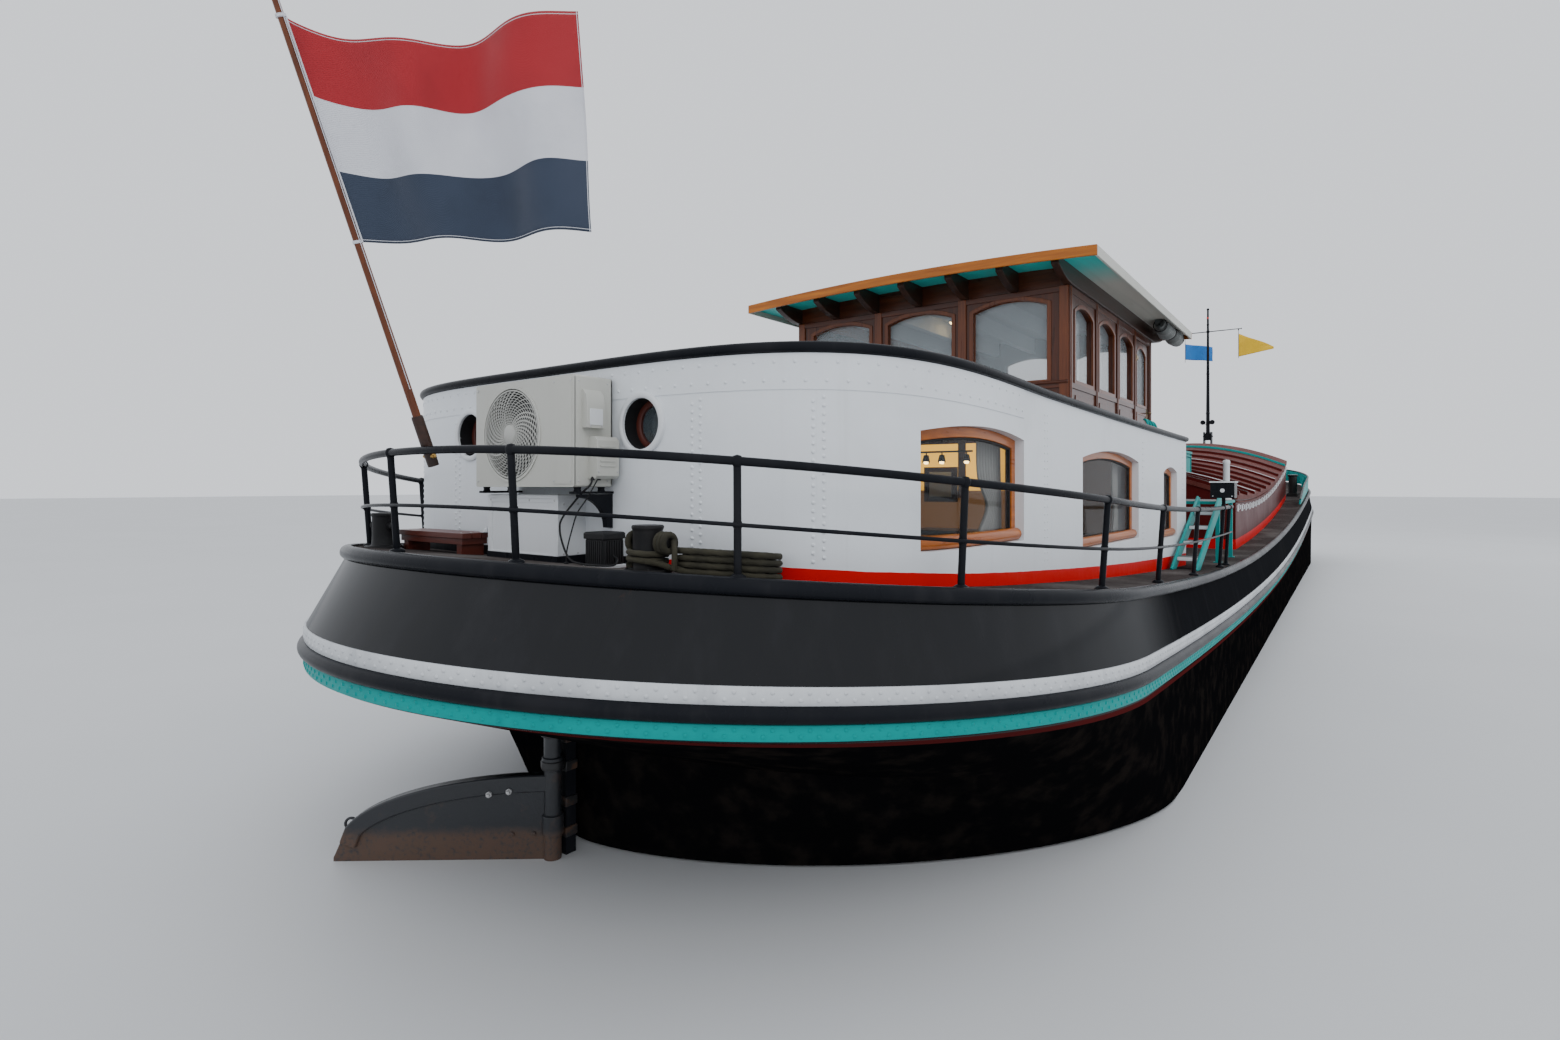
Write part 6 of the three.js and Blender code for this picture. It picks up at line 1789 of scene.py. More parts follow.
def add_house_roof():
    """Cambered roof with its beams, fascia, lined ceiling and a lamp"""
    aft, front = ROOF["aft"] + ROOF["board"] + GAP, ROOF["front"] - ROOF["board"] - GAP
    half = ROOF["half"] - ROOF["board"] - GAP
    rows = []
    for i in range(17):
        x = aft + (front - aft) * i / 16
        under = [(x, half * k / 24, roof_under(half * k / 24)) for k in range(-24, 25)]
        rows.append(under + [(a, b, c + ROOF["thick"]) for a, b, c in reversed(under)])
    Shape().skin(rows).piece(
        "house_roof_panel", "barge", "cream_paint", "roof_panel", replaces=("wheelhouse_roof",), smooth=30
    )

    beams = Shape()
    bottom = HOUSE["top"] + GAP
    for n in range(7):
        y = -1.5 + 0.5 * n
        top = min(roof_under(y - 0.035), roof_under(y + 0.035)) - GAP
        deep = top - bottom
        outline = [(HOUSE["aft"] - 0.02, bottom), (HOUSE["front"] + 0.02, bottom)]
        outline += [(
            HOUSE["front"] + 0.02 + (ROOF["front"] - 0.09 - HOUSE["front"]) * s,
            bottom + deep * 0.62 * s ** 1.8
        ) for s in (0.2, 0.4, 0.6, 0.8, 1.0)]
        outline += [(ROOF["front"] - 0.07, top), (ROOF["aft"] + 0.07, top)]
        outline += [(
            HOUSE["aft"] - 0.02 + (ROOF["aft"] + 0.09 - HOUSE["aft"]) * s, bottom + deep * 0.62 * s ** 1.8
        ) for s in (1.0, 0.8, 0.6, 0.4, 0.2)]
        beams.board(outline, [], -0.035, 0.035, lambda u, v, w, y=y: Vector((u, y + w, v)))
    for x0, x1 in (
        (HOUSE["aft"] + 0.005, HOUSE["aft"] + 0.05), (HOUSE["front"] - 0.05, HOUSE["front"] - 0.005)
    ):
        rows = [[
            (x0, y, bottom), (x1, y, bottom), (x1, y, roof_under(y) - GAP), (x0, y, roof_under(y) - GAP)
        ] for y in (-1.52 + 0.19 * k for k in range(17))]
        beams.skin(rows, look=1)
    beams.piece(
        "roof_beams", "barge", "dark_wood", "dark_wood", "varnish_rail", replaces=("wheelhouse_rafters",),
        bevel=0.004, smooth=40
    )

    lining = Shape()
    for k in range(26):
        y0, y1 = -1.43 + 0.11 * k + 0.002, -1.43 + 0.11 * (k + 1) - 0.002
        top = min(roof_under(y0), roof_under(y1)) - 0.002
        lining.box((HOUSE["aft"] + 0.055, y0, top - 0.012), (HOUSE["front"] - 0.055, y1, top))
    for n in range(1, 6):
        y = -1.5 + 0.5 * n
        lining.box(
            (HOUSE["aft"] + 0.056, y - 0.0375, bottom - 0.003),
            (HOUSE["front"] - 0.056, y + 0.0375, roof_under(y) - 0.01)
        )
    for side in (-1, 1):
        low, high = sorted((side * 1.437, side * 1.500))
        lining.box(
            (HOUSE["aft"] + 0.03, low, bottom + 0.002),
            (HOUSE["front"] - 0.03, high, roof_under(1.5) - 0.012), look=1
        )
    lining.piece("ceiling_boards", "barge", "white_paint", "ceiling", "varnish_long", bevel=0.002)
    lamp = Shape()
    lamp.lathe(
        [(0.0, 0.0), (0.12, 0.0), (0.125, -0.012), (0.12, -0.03), (0.105, -0.036), (0.0, -0.036)],
        (-5.70, 0.25, 5.035), (0, 0, 1), 36, look=0
    )
    lamp.lathe(
        [(0.0, -0.030), (0.104, -0.034), (0.098, -0.052), (0.07, -0.066), (0.0, -0.075)],
        (-5.70, 0.25, 5.035), (0, 0, 1), 36, look=1
    )
    lamp.piece("ceiling_lamp", "barge", "white_paint", "white", "warm_lamp", smooth=50)

    fascia = Shape()
    low, high = ROOF["thick"] + 0.006 - 0.09, ROOF["thick"] + 0.006
    for x0, x1 in (
        (ROOF["aft"], ROOF["aft"] + ROOF["board"]), (ROOF["front"] - ROOF["board"], ROOF["front"])
    ):
        rows = []
        for k in range(-20, 21):
            y = ROOF["half"] * k / 20
            z = roof_under(y)
            rows.append([(x0, y, z + low), (x1, y, z + low), (x1, y, z + high), (x0, y, z + high)])
        fascia.skin(rows, look=0)
    for side in (-1, 1):
        y0, y1 = sorted((side * ROOF["half"], side * (ROOF["half"] - ROOF["board"])))
        rows = []
        for k in range(13):
            x = ROOF["aft"] + ROOF["board"] + (ROOF["front"] - ROOF["aft"] - 2 * ROOF["board"]) * k / 12
            z = roof_under(ROOF["half"])
            rows.append([(x, y0, z + low), (x, y1, z + low), (x, y1, z + high), (x, y0, z + high)])
        fascia.skin(rows, look=1)
    fascia.piece(
        "roof_fascia", "barge", "varnish", "varnish_cross", "casing", replaces=("wheelhouse_fascia",),
        bevel=0.004, smooth=40
    )


def add_helm():
    """Turned spoked wheel, and the console's top, dials and levers"""
    centre = Vector((-4.33, 0, HOUSE["floor"] + 0.62))
    wheel = Shape()
    ring = [centre + 0.4 * Vector((
        0, math.cos(2 * math.pi * k / 72), math.sin(2 * math.pi * k / 72)
    )) for k in range(72)]
    wheel.tube(ring, 0.021, 14, ring=True, flat=0.8)
    for n in range(6):
        angle = math.pi * n / 3
        out = Vector((0, math.cos(angle), math.sin(angle)))
        profile = [
            (0.0, 0.0), (0.014, 0.0), (0.018, 0.10), (0.012, 0.14), (0.019, 0.20), (0.011, 0.27),
            (0.013, 0.36), (0.012, 0.42), (0.010, 0.425), (0.016, 0.44), (0.018, 0.465), (0.013, 0.485),
            (0.0, 0.49)
        ]
        wheel.lathe(profile, centre, out, 14)
    wheel.lathe(
        [
            (0.0, -0.06), (0.03, -0.055), (0.06, -0.035), (0.072, -0.02), (0.072, 0.02), (0.05, 0.03),
            (0.045, 0.05), (0.045, 0.229), (0.0, 0.229)
        ],
        centre, (1, 0, 0), 28
    )
    wheel.lathe(
        [(0.0, -0.068), (0.012, -0.066), (0.018, -0.06), (0.018, -0.05), (0.0, -0.05)], centre, (1, 0, 0),
        6, look=1
    )
    wheel.piece(
        "helm_wheel", "helm", "varnish", "varnish_bright", "bronze", replaces=("steering_wheel",),
        smooth=45
    )
    desk = Shape()
    desk.box((-4.12, -0.50, 3.881), (-3.81, 0.50, 3.905), look=0)
    for y in (-0.30, 0.0, 0.30):
        desk.box((-4.107, y - 0.135, 3.02), (-4.099, y + 0.135, 3.72), look=0)
    for y, radius in ((-0.33, 0.045), (-0.2, 0.034), (0.2, 0.034), (0.33, 0.045)):
        desk.lathe(
            [(radius - 0.008, 0.0), (radius, 0.0), (radius, 0.012), (radius - 0.008, 0.014)],
            (-4.0, y, 3.93), (-0.6, 0, 0.8), 28, look=1, ring=True
        )
        desk.lathe(
            [(0.0, -0.02), (radius, -0.02), (radius - 0.002, 0.004), (0.0, 0.005)], (-4.0, y, 3.93),
            (-0.6, 0, 0.8), 28, look=2
        )
    desk.lathe(
        [(0.0, 0.0), (0.06, 0.0), (0.062, 0.03), (0.05, 0.04), (0.048, 0.06), (0.03, 0.085), (0.0, 0.095)],
        (-3.93, 0.0, 3.905), (0, 0, 1), 28, look=1
    )
    desk.tube([(-4.02, -0.42, 3.905), (-4.03, -0.42, 3.99), (-4.05, -0.42, 4.06)], 0.007, 10, look=1)
    desk.lathe(
        [(0.0, -0.02), (0.013, -0.012), (0.016, 0.0), (0.013, 0.014), (0.0, 0.02)], (-4.052, -0.42, 4.07),
        (0, 0, 1), 14, look=3
    )
    desk.piece(
        "helm_desk", "barge", "dark_wood", "varnish_rail", "bronze", "rubber", "signal_red", bevel=0.002,
        smooth=40
    )


def add_hold():
    """Coaming with clips, and the cambered hatches with battens"""
    walls = Shape()
    stations = [HOLD["aft"] + (HOLD["front"] - HOLD["aft"]) * i / 30 for i in range(31)]
    for side in (-1, 1):
        rows = []
        for x in stations:
            out, into = hold_half(x), hold_half(x) - HOLD["wall"]
            rows.append([
                (x, side * out, deck_at(x) + 0.001), (x, side * out, hatch_at(x, out) - 0.001),
                (x, side * into, hatch_at(x, into) - 0.001), (x, side * into, deck_at(x) + 0.001)
            ])
        walls.skin(rows)
    for x0, x1 in (
        (HOLD["aft"], HOLD["aft"] + HOLD["wall"]), (HOLD["front"] - HOLD["wall"], HOLD["front"])
    ):
        half = hold_half(x0) - HOLD["wall"]
        rows = []
        for k in range(-24, 25):
            y = half * k / 24
            rows.append([
                (x0, y, deck_at(x0) + 0.001), (x1, y, deck_at(x1) + 0.001),
                (x1, y, hatch_at(x1, y) - 0.001), (x0, y, hatch_at(x0, y) - 0.001)
            ])
        walls.skin(rows)
    walls.piece("coaming_walls", "barge", "hatch_red", "coaming", replaces=("hold_coaming",), smooth=30)
    clips = Shape()
    count = int((HOLD["front"] - HOLD["aft"] - 0.3) / 0.55)
    for n in range(count + 1):
        x = HOLD["aft"] + 0.2 + 0.55 * n
        for side in (-1, 1):
            y = hold_half(x)
            z = coaming_top(x) - 0.12
            low, high = sorted((side * (y - 0.001), side * (y + 0.016)))
            clips.box((x - 0.035, low, z - 0.045), (x + 0.035, high, z + 0.045), look=0)
            clips.tube(
                [
                    (x, side * (y + 0.012), z - 0.02), (x, side * (y + 0.035), z - 0.01),
                    (x, side * (y + 0.036), z + 0.04), (x, side * (y + 0.012), z + 0.055)
                ],
                0.008, 8, look=0
            )
    for side in (-1, 1):
        bar = [(x, side * (hold_half(x) + 0.008), coaming_top(x) - 0.03) for x in stations]
        clips.tube(bar, 0.014, 10, look=1)
    clips.piece("coaming_clips", "barge", "hatch_red", "white", "hatch_top", bevel=0.002, smooth=45)

    first, last = HOLD["aft"] - 0.02, HOLD["front"] + 0.02
    rows = []
    for i in range(41):
        x = first + (last - first) * i / 40
        half = hold_half(x) + HOLD["edge"]
        under = [(x, half * k / 28, hatch_at(x, half * k / 28)) for k in range(-28, 29)]
        rows.append(under + [(a, b, c + HOLD["thick"]) for a, b, c in reversed(under)])
    roof = Shape().skin(rows).piece(
        "hatch_covers", "barge", "hatch_top", "hatch_top", replaces=("hatch_roof",), smooth=30
    )
    board = SKYLIGHT["board"]
    cut_by(
        roof,
        [Shape().box(
            (SKYLIGHT["x0"] + board, SKYLIGHT["y0"] + board, 2.5),
            (SKYLIGHT["x1"] - board, SKYLIGHT["y1"] - board, 5.0)
        )]
    )
    battens = Shape()
    for n in range(10):
        x = -2.30 + 1.14 * n
        if x > HOLD["front"] - 0.1:
            continue
        for width, low, high, look in (
            (0.035, 0.0, 0.042, 2 if n == 9 else 0),
            (0.026, 0.042, 0.052, 2 if n == 9 else (1 if n in (2, 6) else 3))
        ):
            spans = [(-28, 28)]
            if SKYLIGHT["x0"] - 0.06 < x < SKYLIGHT["x1"] + 0.06:
                spans = [(-28, -16), (-4, 28)]
            for k0, k1 in spans:
                half = hold_half(x) + HOLD["edge"] + 0.012
                rows = []
                for k in range(k0, k1 + 1):
                    y = half * k / 28
                    z = hatch_at(x, min(abs(y), half - 0.012)) + HOLD["thick"]
                    rows.append([
                        (x - width, y, z + low - 0.002), (x + width, y, z + low - 0.002),
                        (x + width, y, z + high), (x - width, y, z + high)
                    ])
                battens.skin(rows, look=look)
    battens.piece(
        "hatch_battens", "barge", "hatch_top", "coaming", "white", "teal", "dark_wood", bevel=0.003,
        smooth=40
    )


def add_skylight():
    x0, x1, y0, y1, board, top = (SKYLIGHT[key] for key in ("x0", "x1", "y0", "y1", "board", "top"))
    frame_piece = Shape()
    for a, b in (
        ((x0, y0), (x1, y0 + board)), ((x0, y1 - board), (x1, y1)),
        ((x0, y0 + board), (x0 + board, y1 - board)), ((x1 - board, y0 + board), (x1, y1 - board))
    ):
        low = min(hatch_at(x, y) for x in (a[0], b[0]) for y in (a[1], b[1])) + HOLD["thick"] - 0.02
        frame_piece.box((a[0], a[1], low), (b[0], b[1], top))
    for x, y in ((x0, y0), (x1, y0), (x0, y1), (x1, y1)):
        frame_piece.tube([(x, y, hatch_at(x, y) + HOLD["thick"] - 0.01), (x, y, top - 0.004)], 0.014, 10)
    ledge = [
        (x0 - 0.012, y0 - 0.012, top - 0.05), (x1 + 0.012, y0 - 0.012, top - 0.05),
        (x1 + 0.012, y1 + 0.012, top - 0.05), (x0 - 0.012, y1 + 0.012, top - 0.05)
    ]
    frame_piece.tube(ledge, 0.012, 8, ring=True)
    frame_piece.piece(
        "skylight_boards", "barge", "teal_paint", "teal", replaces=("skylight_frame",), bevel=0.004
    )
    lid = Shape()
    low, high = top + GAP, top + GAP + SKYLIGHT["lid"]
    a, b, c, d = x0 - 0.025, x1 + 0.025, y0 - 0.025, y1 + 0.005
    lid.board(rectangle(a, b, c, d), [], low, high - 0.012, lambda u, v, w: Vector((u, v, w)))
    lid.surround(
        rectangle(a + 0.002, b - 0.002, c + 0.002, d - 0.002),
        rectangle(a + 0.075, b - 0.075, c + 0.075, d - 0.075), high - 0.013, high, lambda u, v,
        w: Vector((u, v, w))
    )
    for x in (x0 + 0.55, x0 + 1.1, x0 + 1.65):
        lid.box((x - 0.02, c + 0.07, high - 0.013), (x + 0.02, d - 0.07, high - 0.003))
    for x in (x0 + 0.3, x1 - 0.3):
        lid.lathe(
            [(0.0, -0.05), (0.011, -0.05), (0.011, 0.05), (0.0, 0.05)], (x, d + 0.002, top + 0.008),
            (1, 0, 0), 14, look=1
        )
        lid.box((x - 0.045, d - 0.09, high), (x + 0.045, d + 0.002, high + 0.005), look=1)
    lid.tube(
        [
            (x0 + 0.95, c - 0.001, low + 0.02), (x0 + 0.95, c - 0.03, low + 0.02),
            (x0 + 1.1, c - 0.034, low + 0.02), (x0 + 1.25, c - 0.03, low + 0.02),
            (x0 + 1.25, c - 0.001, low + 0.02)
        ],
        0.008, 10, look=1
    )
    lid.piece(
        "skylight_cover", "skylight_lid", "teal_paint", "teal", "cast_black", replaces=("skylight_lid",),
        bevel=0.003, smooth=40
    )


def add_mast():
    x, pivot, top = MAST["x"], MAST["pivot"], MAST["top"]
    mast = Shape()
    for y0, y1 in ((-0.069, -0.022), (0.022, 0.069)):
        mast.box((x - 0.06, y0, pivot - 0.12), (x + 0.06, y1, pivot + 0.09))
    for z0, z1 in ((pivot - 0.12, pivot - 0.0208), (pivot + 0.0208, pivot + 0.09)):
        mast.box((x - 0.06, -0.0222, z0), (x + 0.06, 0.0222, z1))
    for a, b in ((x - 0.06, x - 0.0208), (x + 0.0208, x + 0.06)):
        mast.box((a, -0.0222, pivot - 0.021), (b, 0.0222, pivot + 0.021))
    profile = [(0.0, pivot + 0.06)]
    for k in range(13):
        share = k / 12
        profile.append((
            MAST["radius"] + (MAST["tip"] - MAST["radius"]) * share,
            pivot + 0.06 + (top - pivot - 0.06) * share
        ))
    mast.lathe(profile + [(0.0, top)], (x, 0, 0), (0, 0, 1), 24)
    mast.lathe(
        [
            (0.0, -0.030), (0.026, -0.025), (0.037, -0.010), (0.038, 0.004), (0.032, 0.022),
            (0.018, 0.035), (0.0, 0.038)
        ],
        (x, 0, top + 0.01), (0, 0, 1), 24, look=0
    )
    mast.lathe(
        [(0.0, 0.0), (0.030, 0.0), (0.030, 0.012), (0.0, 0.012)], (x - 0.045, 0, top - 0.30), (0, 0, 1),
        20, look=0
    )
    mast.lathe(
        [(0.0, 0.0), (0.024, 0.0), (0.027, 0.02), (0.026, 0.055), (0.0, 0.062)],
        (x - 0.045, 0, top - 0.288), (0, 0, 1), 20, look=1
    )
    z, half = SPREADER["z"], SPREADER["half"]
    mast.tube(
        [(x, -half + 2 * half * k / 16, z) for k in range(17)],
        [0.010 + 0.004 * math.sin(math.pi * k / 16) for k in range(17)], 12
    )
    mast.lathe(
        [(0.030, -0.03), (0.044, -0.03), (0.044, 0.03), (0.030, 0.03)], (x, 0, z), (0, 0, 1), 20, ring=True
    )
    for side in (-1, 1):
        mast.lathe(
            [(0.0, -0.014), (0.018, -0.010), (0.020, 0.0), (0.018, 0.010), (0.0, 0.014)],
            (x, side * half, z), (0, 1, 0), 16
        )
    for y in (PENNANTS[0][1], PENNANTS[1][1]):
        mast.tube([(x, y, z - SPREADER["drop"] * k / 20) for k in range(21)], 0.0055, 8, look=2)
        mast.lathe(
            [(0.0, -0.03), (0.014, -0.024), (0.016, 0.0), (0.010, 0.024), (0.0, 0.03)], (x, y, z - 0.02),
            (0, 0, 1), 14
        )
    for z0 in (pivot + 0.7, pivot + 1.9, top - 0.45):
        share = (z0 - pivot) / (top - pivot)
        reach = MAST["radius"] + (MAST["tip"] - MAST["radius"]) * share
        mast.lathe(
            [
                (reach - 0.002, -0.02), (reach + 0.006, -0.018), (reach + 0.006, 0.018),
                (reach - 0.002, 0.02)
            ],
            (x, 0, z0), (0, 0, 1), 24, ring=True
        )
    for y, z0, aim in ((-0.12, pivot + 0.42, (-1, -0.25, 0)), (0.12, pivot + 0.42, (-1, 0.25, 0))):
        mast.tube(
            [(x - 0.03, y * 0.2, z0 - 0.05), (x - 0.05, y * 0.8, z0 - 0.05), (x - 0.05, y, z0 - 0.02)],
            0.009, 8
        )
        mast.lathe(
            [
                (0.0, -0.08), (0.04, -0.07), (0.062, -0.02), (0.072, 0.03), (0.070, 0.04), (0.060, 0.03),
                (0.0, 0.03)
            ],
            (x - 0.07, y, z0), aim, 24
        )
    mast.piece(
        "mast_pole", "mast", "black_paint", "edge_black", "signal_red", "rope", replaces=("mast",),
        smooth=45
    )


def add_bollards():
    for name, x, y in (("starboard", BOLLARD["x"], BOLLARD["y"]), ("port", -12.18, 1.08)):
        foot = Vector((x, y, deck_at(x)))
        post = Shape()
        profile = [
            (0.0, -0.004), (0.108, -0.004), (0.110, 0.010), (0.106, 0.016), (0.076, 0.018), (0.069, 0.026),
            (0.067, 0.08), (0.067, 0.185), (0.070, 0.193), (0.0725, 0.197), (0.073, 0.205), (0.069, 0.211),
            (0.0, 0.212)
        ]
        post.lathe(profile, foot, (0, 0, 1), 36)
        for side in (-1, 1):
            post.lathe(
                [
                    (0.0, 0.05), (0.021, 0.05), (0.020, 0.104), (0.026, 0.110), (0.028, 0.118),
                    (0.024, 0.125), (0.0, 0.127)
                ],
                foot + Vector((0, 0, BOLLARD["horn_high"])), (0, side, 0), 18
            )
            for along in (-1, 1):
                post.dome(foot + Vector((along * 0.062, side * 0.070, 0.0165)), (0, 0, 1), 0.009, 0.006, 6)
        post.piece(
            "bollard_" + name, "barge", "black_paint", "cast_black", replaces=("bollard_stern_" + name,),
            smooth=50
        )
    x, y, radius, high, apart = 10.1, 2.27, 0.085, 0.54, 0.42
    for side, name in ((-1, "starboard"), (1, "port")):
        pair = Shape()
        for end in (-1, 1):
            at = Vector((x + end * apart / 2, side * y, deck_at(x)))
            pair.lathe(
                [
                    (0.0, 0.0), (0.12, 0.0), (0.115, 0.03), (0.088, 0.045), (radius, 0.08),
                    (radius, high - 0.06), (0.092, high - 0.04), (0.108, high - 0.03),
                    (0.11, high - 0.012), (0.104, high), (0.0, high)
                ],
                at, (0, 0, 1), 32
            )
            pair.lathe(
                [(0.0, 0.0), (0.096, 0.0), (0.090, 0.004), (0.0, 0.006)], at + Vector((0, 0, high)),
                (0, 0, 1), 32, look=1
            )
        low, top = deck_at(x - 0.36) - 0.02, deck_at(x + 0.36) + 0.02
        y0, y1 = side * y - 0.12, side * y + 0.12
        pair.box((x - 0.36, y0, low), (x + 0.36, y1, top))
        for ex in (-0.31, -0.05, 0.05, 0.31):
            for ey in (-0.09, 0.09):
                pair.dome((x + ex, side * y + ey, top), (0, 0, 1), 0.012, 0.008, 6)
        pair.piece(
            "bow_bollards_" + name, "barge", "black_paint", "cast_black", "white",
            replaces=("bollard_bow_" + name,), bevel=0.004, smooth=50
        )


def rail_line(steps=40):
    points = []
    for i in range(steps + 1):
        angle = math.pi / 2 * i / steps
        share = abs(math.cos(angle)) ** (2 / RAIL["round"])
        points.append((
            STERN_ROUND_X - (STERN_ROUND_X - RAIL["stern"]) * share,
            RAIL["half"] * math.sin(angle) ** (2 / RAIL["round"])
        ))
    points += [(
        STERN_ROUND_X + (RAIL["front"] - STERN_ROUND_X) * i / 16, RAIL["half"]
    ) for i in range(1, 17)]
    return [(x, -y) for x, y in reversed(points)] + points[1:]


def add_railing():
    rail = Shape()
    for drop, radius, sides in ((0.0, RAIL["tube"], 14), (RAIL["drop"], RAIL["rod"], 10)):
        path = [Vector((x, y, rail_at(x) - drop)) for x, y in rail_line()]
        rail.tube(path, radius, sides)
        if not drop:
            for end in (path[0], path[-1]):
                rail.lathe(
                    [
                        (0.0, -0.004), (radius, -0.003), (radius * 0.9, 0.006), (radius * 0.5, 0.013),
                        (0.0, 0.015)
                    ],
                    end, (1, 0, 0), 14
                )
    span = STERN_ROUND_X - RAIL["stern"]
    spots = [(STERN_ROUND_X - span * rail_side(y / RAIL["half"]), y) for y in STERN_POSTS]
    for x in SIDE_POSTS:
        half = RAIL["half"] * (rail_side((STERN_ROUND_X - x) / span) if x < STERN_ROUND_X else 1)
        spots += [(x, -half), (x, half)]
    for x, y in spots:
        inward = RAIL["lean"] * max(0.0, STERN_ROUND_X - x) / span
        foot = Vector((x + inward, y * (1 - RAIL["lean"] / RAIL["half"]), deck_at(x + inward) + 0.001))
        top = Vector((x, y, rail_at(x)))
        rail.tube([foot, foot.lerp(top, 0.5), top], RAIL["post"], 14)
        rail.lathe(
            [(0.0, 0.0), (0.036, 0.0), (0.038, 0.005), (0.036, 0.014), (0.019, 0.024), (0.0, 0.024)], foot,
            (0, 0, 1), 16
        )
        rail.lathe(
            [
                (0.0, -0.030), (0.015, -0.026), (0.025, -0.008), (0.0255, 0.006), (0.017, 0.022),
                (0.0, 0.027)
            ],
            top, (0, 0, 1), 14
        )
        rail.lathe(
            [(0.0, -0.018), (0.019, -0.014), (0.021, 0.0), (0.019, 0.014), (0.0, 0.018)],
            foot.lerp(top, (rail_at(x) - RAIL["drop"] - foot.z) / (top.z - foot.z)), (0, 0, 1), 12
        )
    x, y, half, low, high = (RAIL_BOX[key] for key in ("x", "y", "half", "foot", "top"))
    rail.box((x - half, y - half, low), (x + half, y + half, high), look=0)
    rail.tube([(x, y, rail_at(x)), (x, y, low + 0.01)], RAIL["post"], 14)
    rail.box(
        (x - half - 0.008, y - half - 0.008, high - 0.001),
        (x + half + 0.008, y + half + 0.008, high + 0.011), look=1
    )
    rail.lathe(
        [(0.0, 0.0), (0.020, 0.0), (0.019, 0.003), (0.0, 0.005)], (x - half, y, low + 0.075), (-1, 0, 0),
        18, look=1
    )
    for side in (-1, 1):
        rail.dome((x - half, y + side * half * 0.8, low + 0.02), (-1, 0, 0), 0.006, 0.003, 8, look=1)
    rail.piece(
        "railing", "barge", "black_paint", "edge_black", "white", replaces=("stern_railing",), smooth=50
    )
    foot = Vector(STAFF["foot"])
    socket = Shape()
    socket.lathe(
        [
            (0.0, -0.06), (0.026, -0.06), (0.027, 0.0), (0.027, 0.18), (0.025, 0.19), (0.0200, 0.19),
            (0.0200, -0.019), (0.0, -0.019)
        ],
        foot, STAFF_AXIS, 24
    )
    for side in (-1, 1):
        socket.lathe(
            [(0.0, 0.0), (0.012, 0.0), (0.012, 0.012), (0.007, 0.014), (0.007, 0.026), (0.0, 0.027)],
            foot + Vector((0, side * 0.026, -0.01)), (0, side, 0), 10, look=1
        )
    socket.piece("staff_socket", "barge", "black_paint", "dark_wood", "brass", smooth=45)


def add_stern_gear():
    """Rudder with its rounded flange, and the joints on the stern post"""
    turn = Matrix.Rotation(math.radians(-RUDDER["rest"]), 3, "Z")
    at = Vector((RUDDER_X, 0, 0))

    def place(u, v, w):
        return at + turn @ Vector((u, w, v))
    length, low, top = RUDDER["length"], RUDDER["low"], RUDDER["top"]
    steps = [i / 40 for i in range(41)]
    upper = [(-(length - 0.04) * (1 - s), low + (top - low) * math.sqrt(1 - (1 - s) ** 2)) for s in steps]
    blade = Shape()
    outline = [(0.0, RUDDER["foot"]), (-length, RUDDER["foot"]), (-length, low - 0.09)] + upper
    blade.board(outline, [], -0.017, 0.017, place)
    rows = []
    for i, (u, v) in enumerate(upper):
        before, after = upper[max(0, i - 1)], upper[min(len(upper) - 1, i + 1)]
        along = Vector((after[0] - before[0], after[1] - before[1])).normalized()
        down = Vector((along.y, -along.x))
        section = []
        for w, deep in (
            (-0.030, 0.0), (0.030, 0.0), (0.037, 0.007), (0.037, 0.086), (0.030, 0.093), (-0.030, 0.093),
            (-0.037, 0.086), (-0.037, 0.007)
        ):
            section.append(place(min(0.0, u + down.x * deep), v + down.y * deep, w))
        rows.append(section)
    blade.skin(rows)
    blade.lathe(
        [(0.0, 0.1008), (RUDDER["stock"], 0.1008), (RUDDER["stock"], 1.86), (0.0, 1.86)], at, (0, 0, 1), 32
    )
    for z0, z1, radius in (
        (low - 0.35, low - 0.22, 0.060), (low + 0.02, low + 0.14, 0.060), (top + 0.02, top + 0.10, 0.058)
    ):
        blade.lathe(
            [(0.046, z0), (radius, z0 + 0.006), (radius, z1 - 0.006), (0.046, z1)], at, (0, 0, 1), 32,
            ring=True
        )
    eye = [place(
        -length + 0.09 + 0.032 * math.cos(a), low + 0.09 + 0.032 * math.sin(a), 0.0
    ) for a in (2 * math.pi * k / 28 for k in range(28))]
    blade.tube(eye, 0.008, 10, ring=True)
    for u, v in ((-0.23, top - 0.085), (-0.34, top - 0.10)):
        for side in (-1, 1):
            normal = turn @ Vector((0, side, 0))
            blade.lathe(
                [(0.0, 0.0), (0.018, 0.0), (0.018, 0.012), (0.012, 0.014), (0.010, 0.026), (0.0, 0.027)],
                place(u, v, side * 0.036), normal, 6, look=1
            )
    for v in (low - 0.28, low + 0.05):
        for u in (-0.10, -0.22):
            for side in (-1, 1):
                blade.lathe(
                    [(0.0, 0.0), (0.014, 0.0), (0.013, 0.009), (0.0, 0.011)],
                    place(u, v - 0.02, side * 0.016), turn @ Vector((0, side, 0)), 12
                )
    blade.piece(
        "rudder_blade", "rudder", "black_paint", "rudder", "steel", replaces=("rudder",), smooth=40,
        bevel=0.002
    )
    post = Shape()
    for z0 in (1.05, 1.22, 1.42, 1.58):
        post.box((-11.724, -0.046, z0), (-11.643, 0.046, z0 + 0.055))
    for z0 in (1.10, 1.28):
        post.lathe(
            [(0.049, 0.0), (0.064, 0.004), (0.064, 0.046), (0.049, 0.05)], (RUDDER_X, 0, z0 + 0.35),
            (0, 0, 1), 28, ring=True
        )
    post.piece("stern_post_bands", "barge", "black_paint", "iron", bevel=0.004, smooth=45)


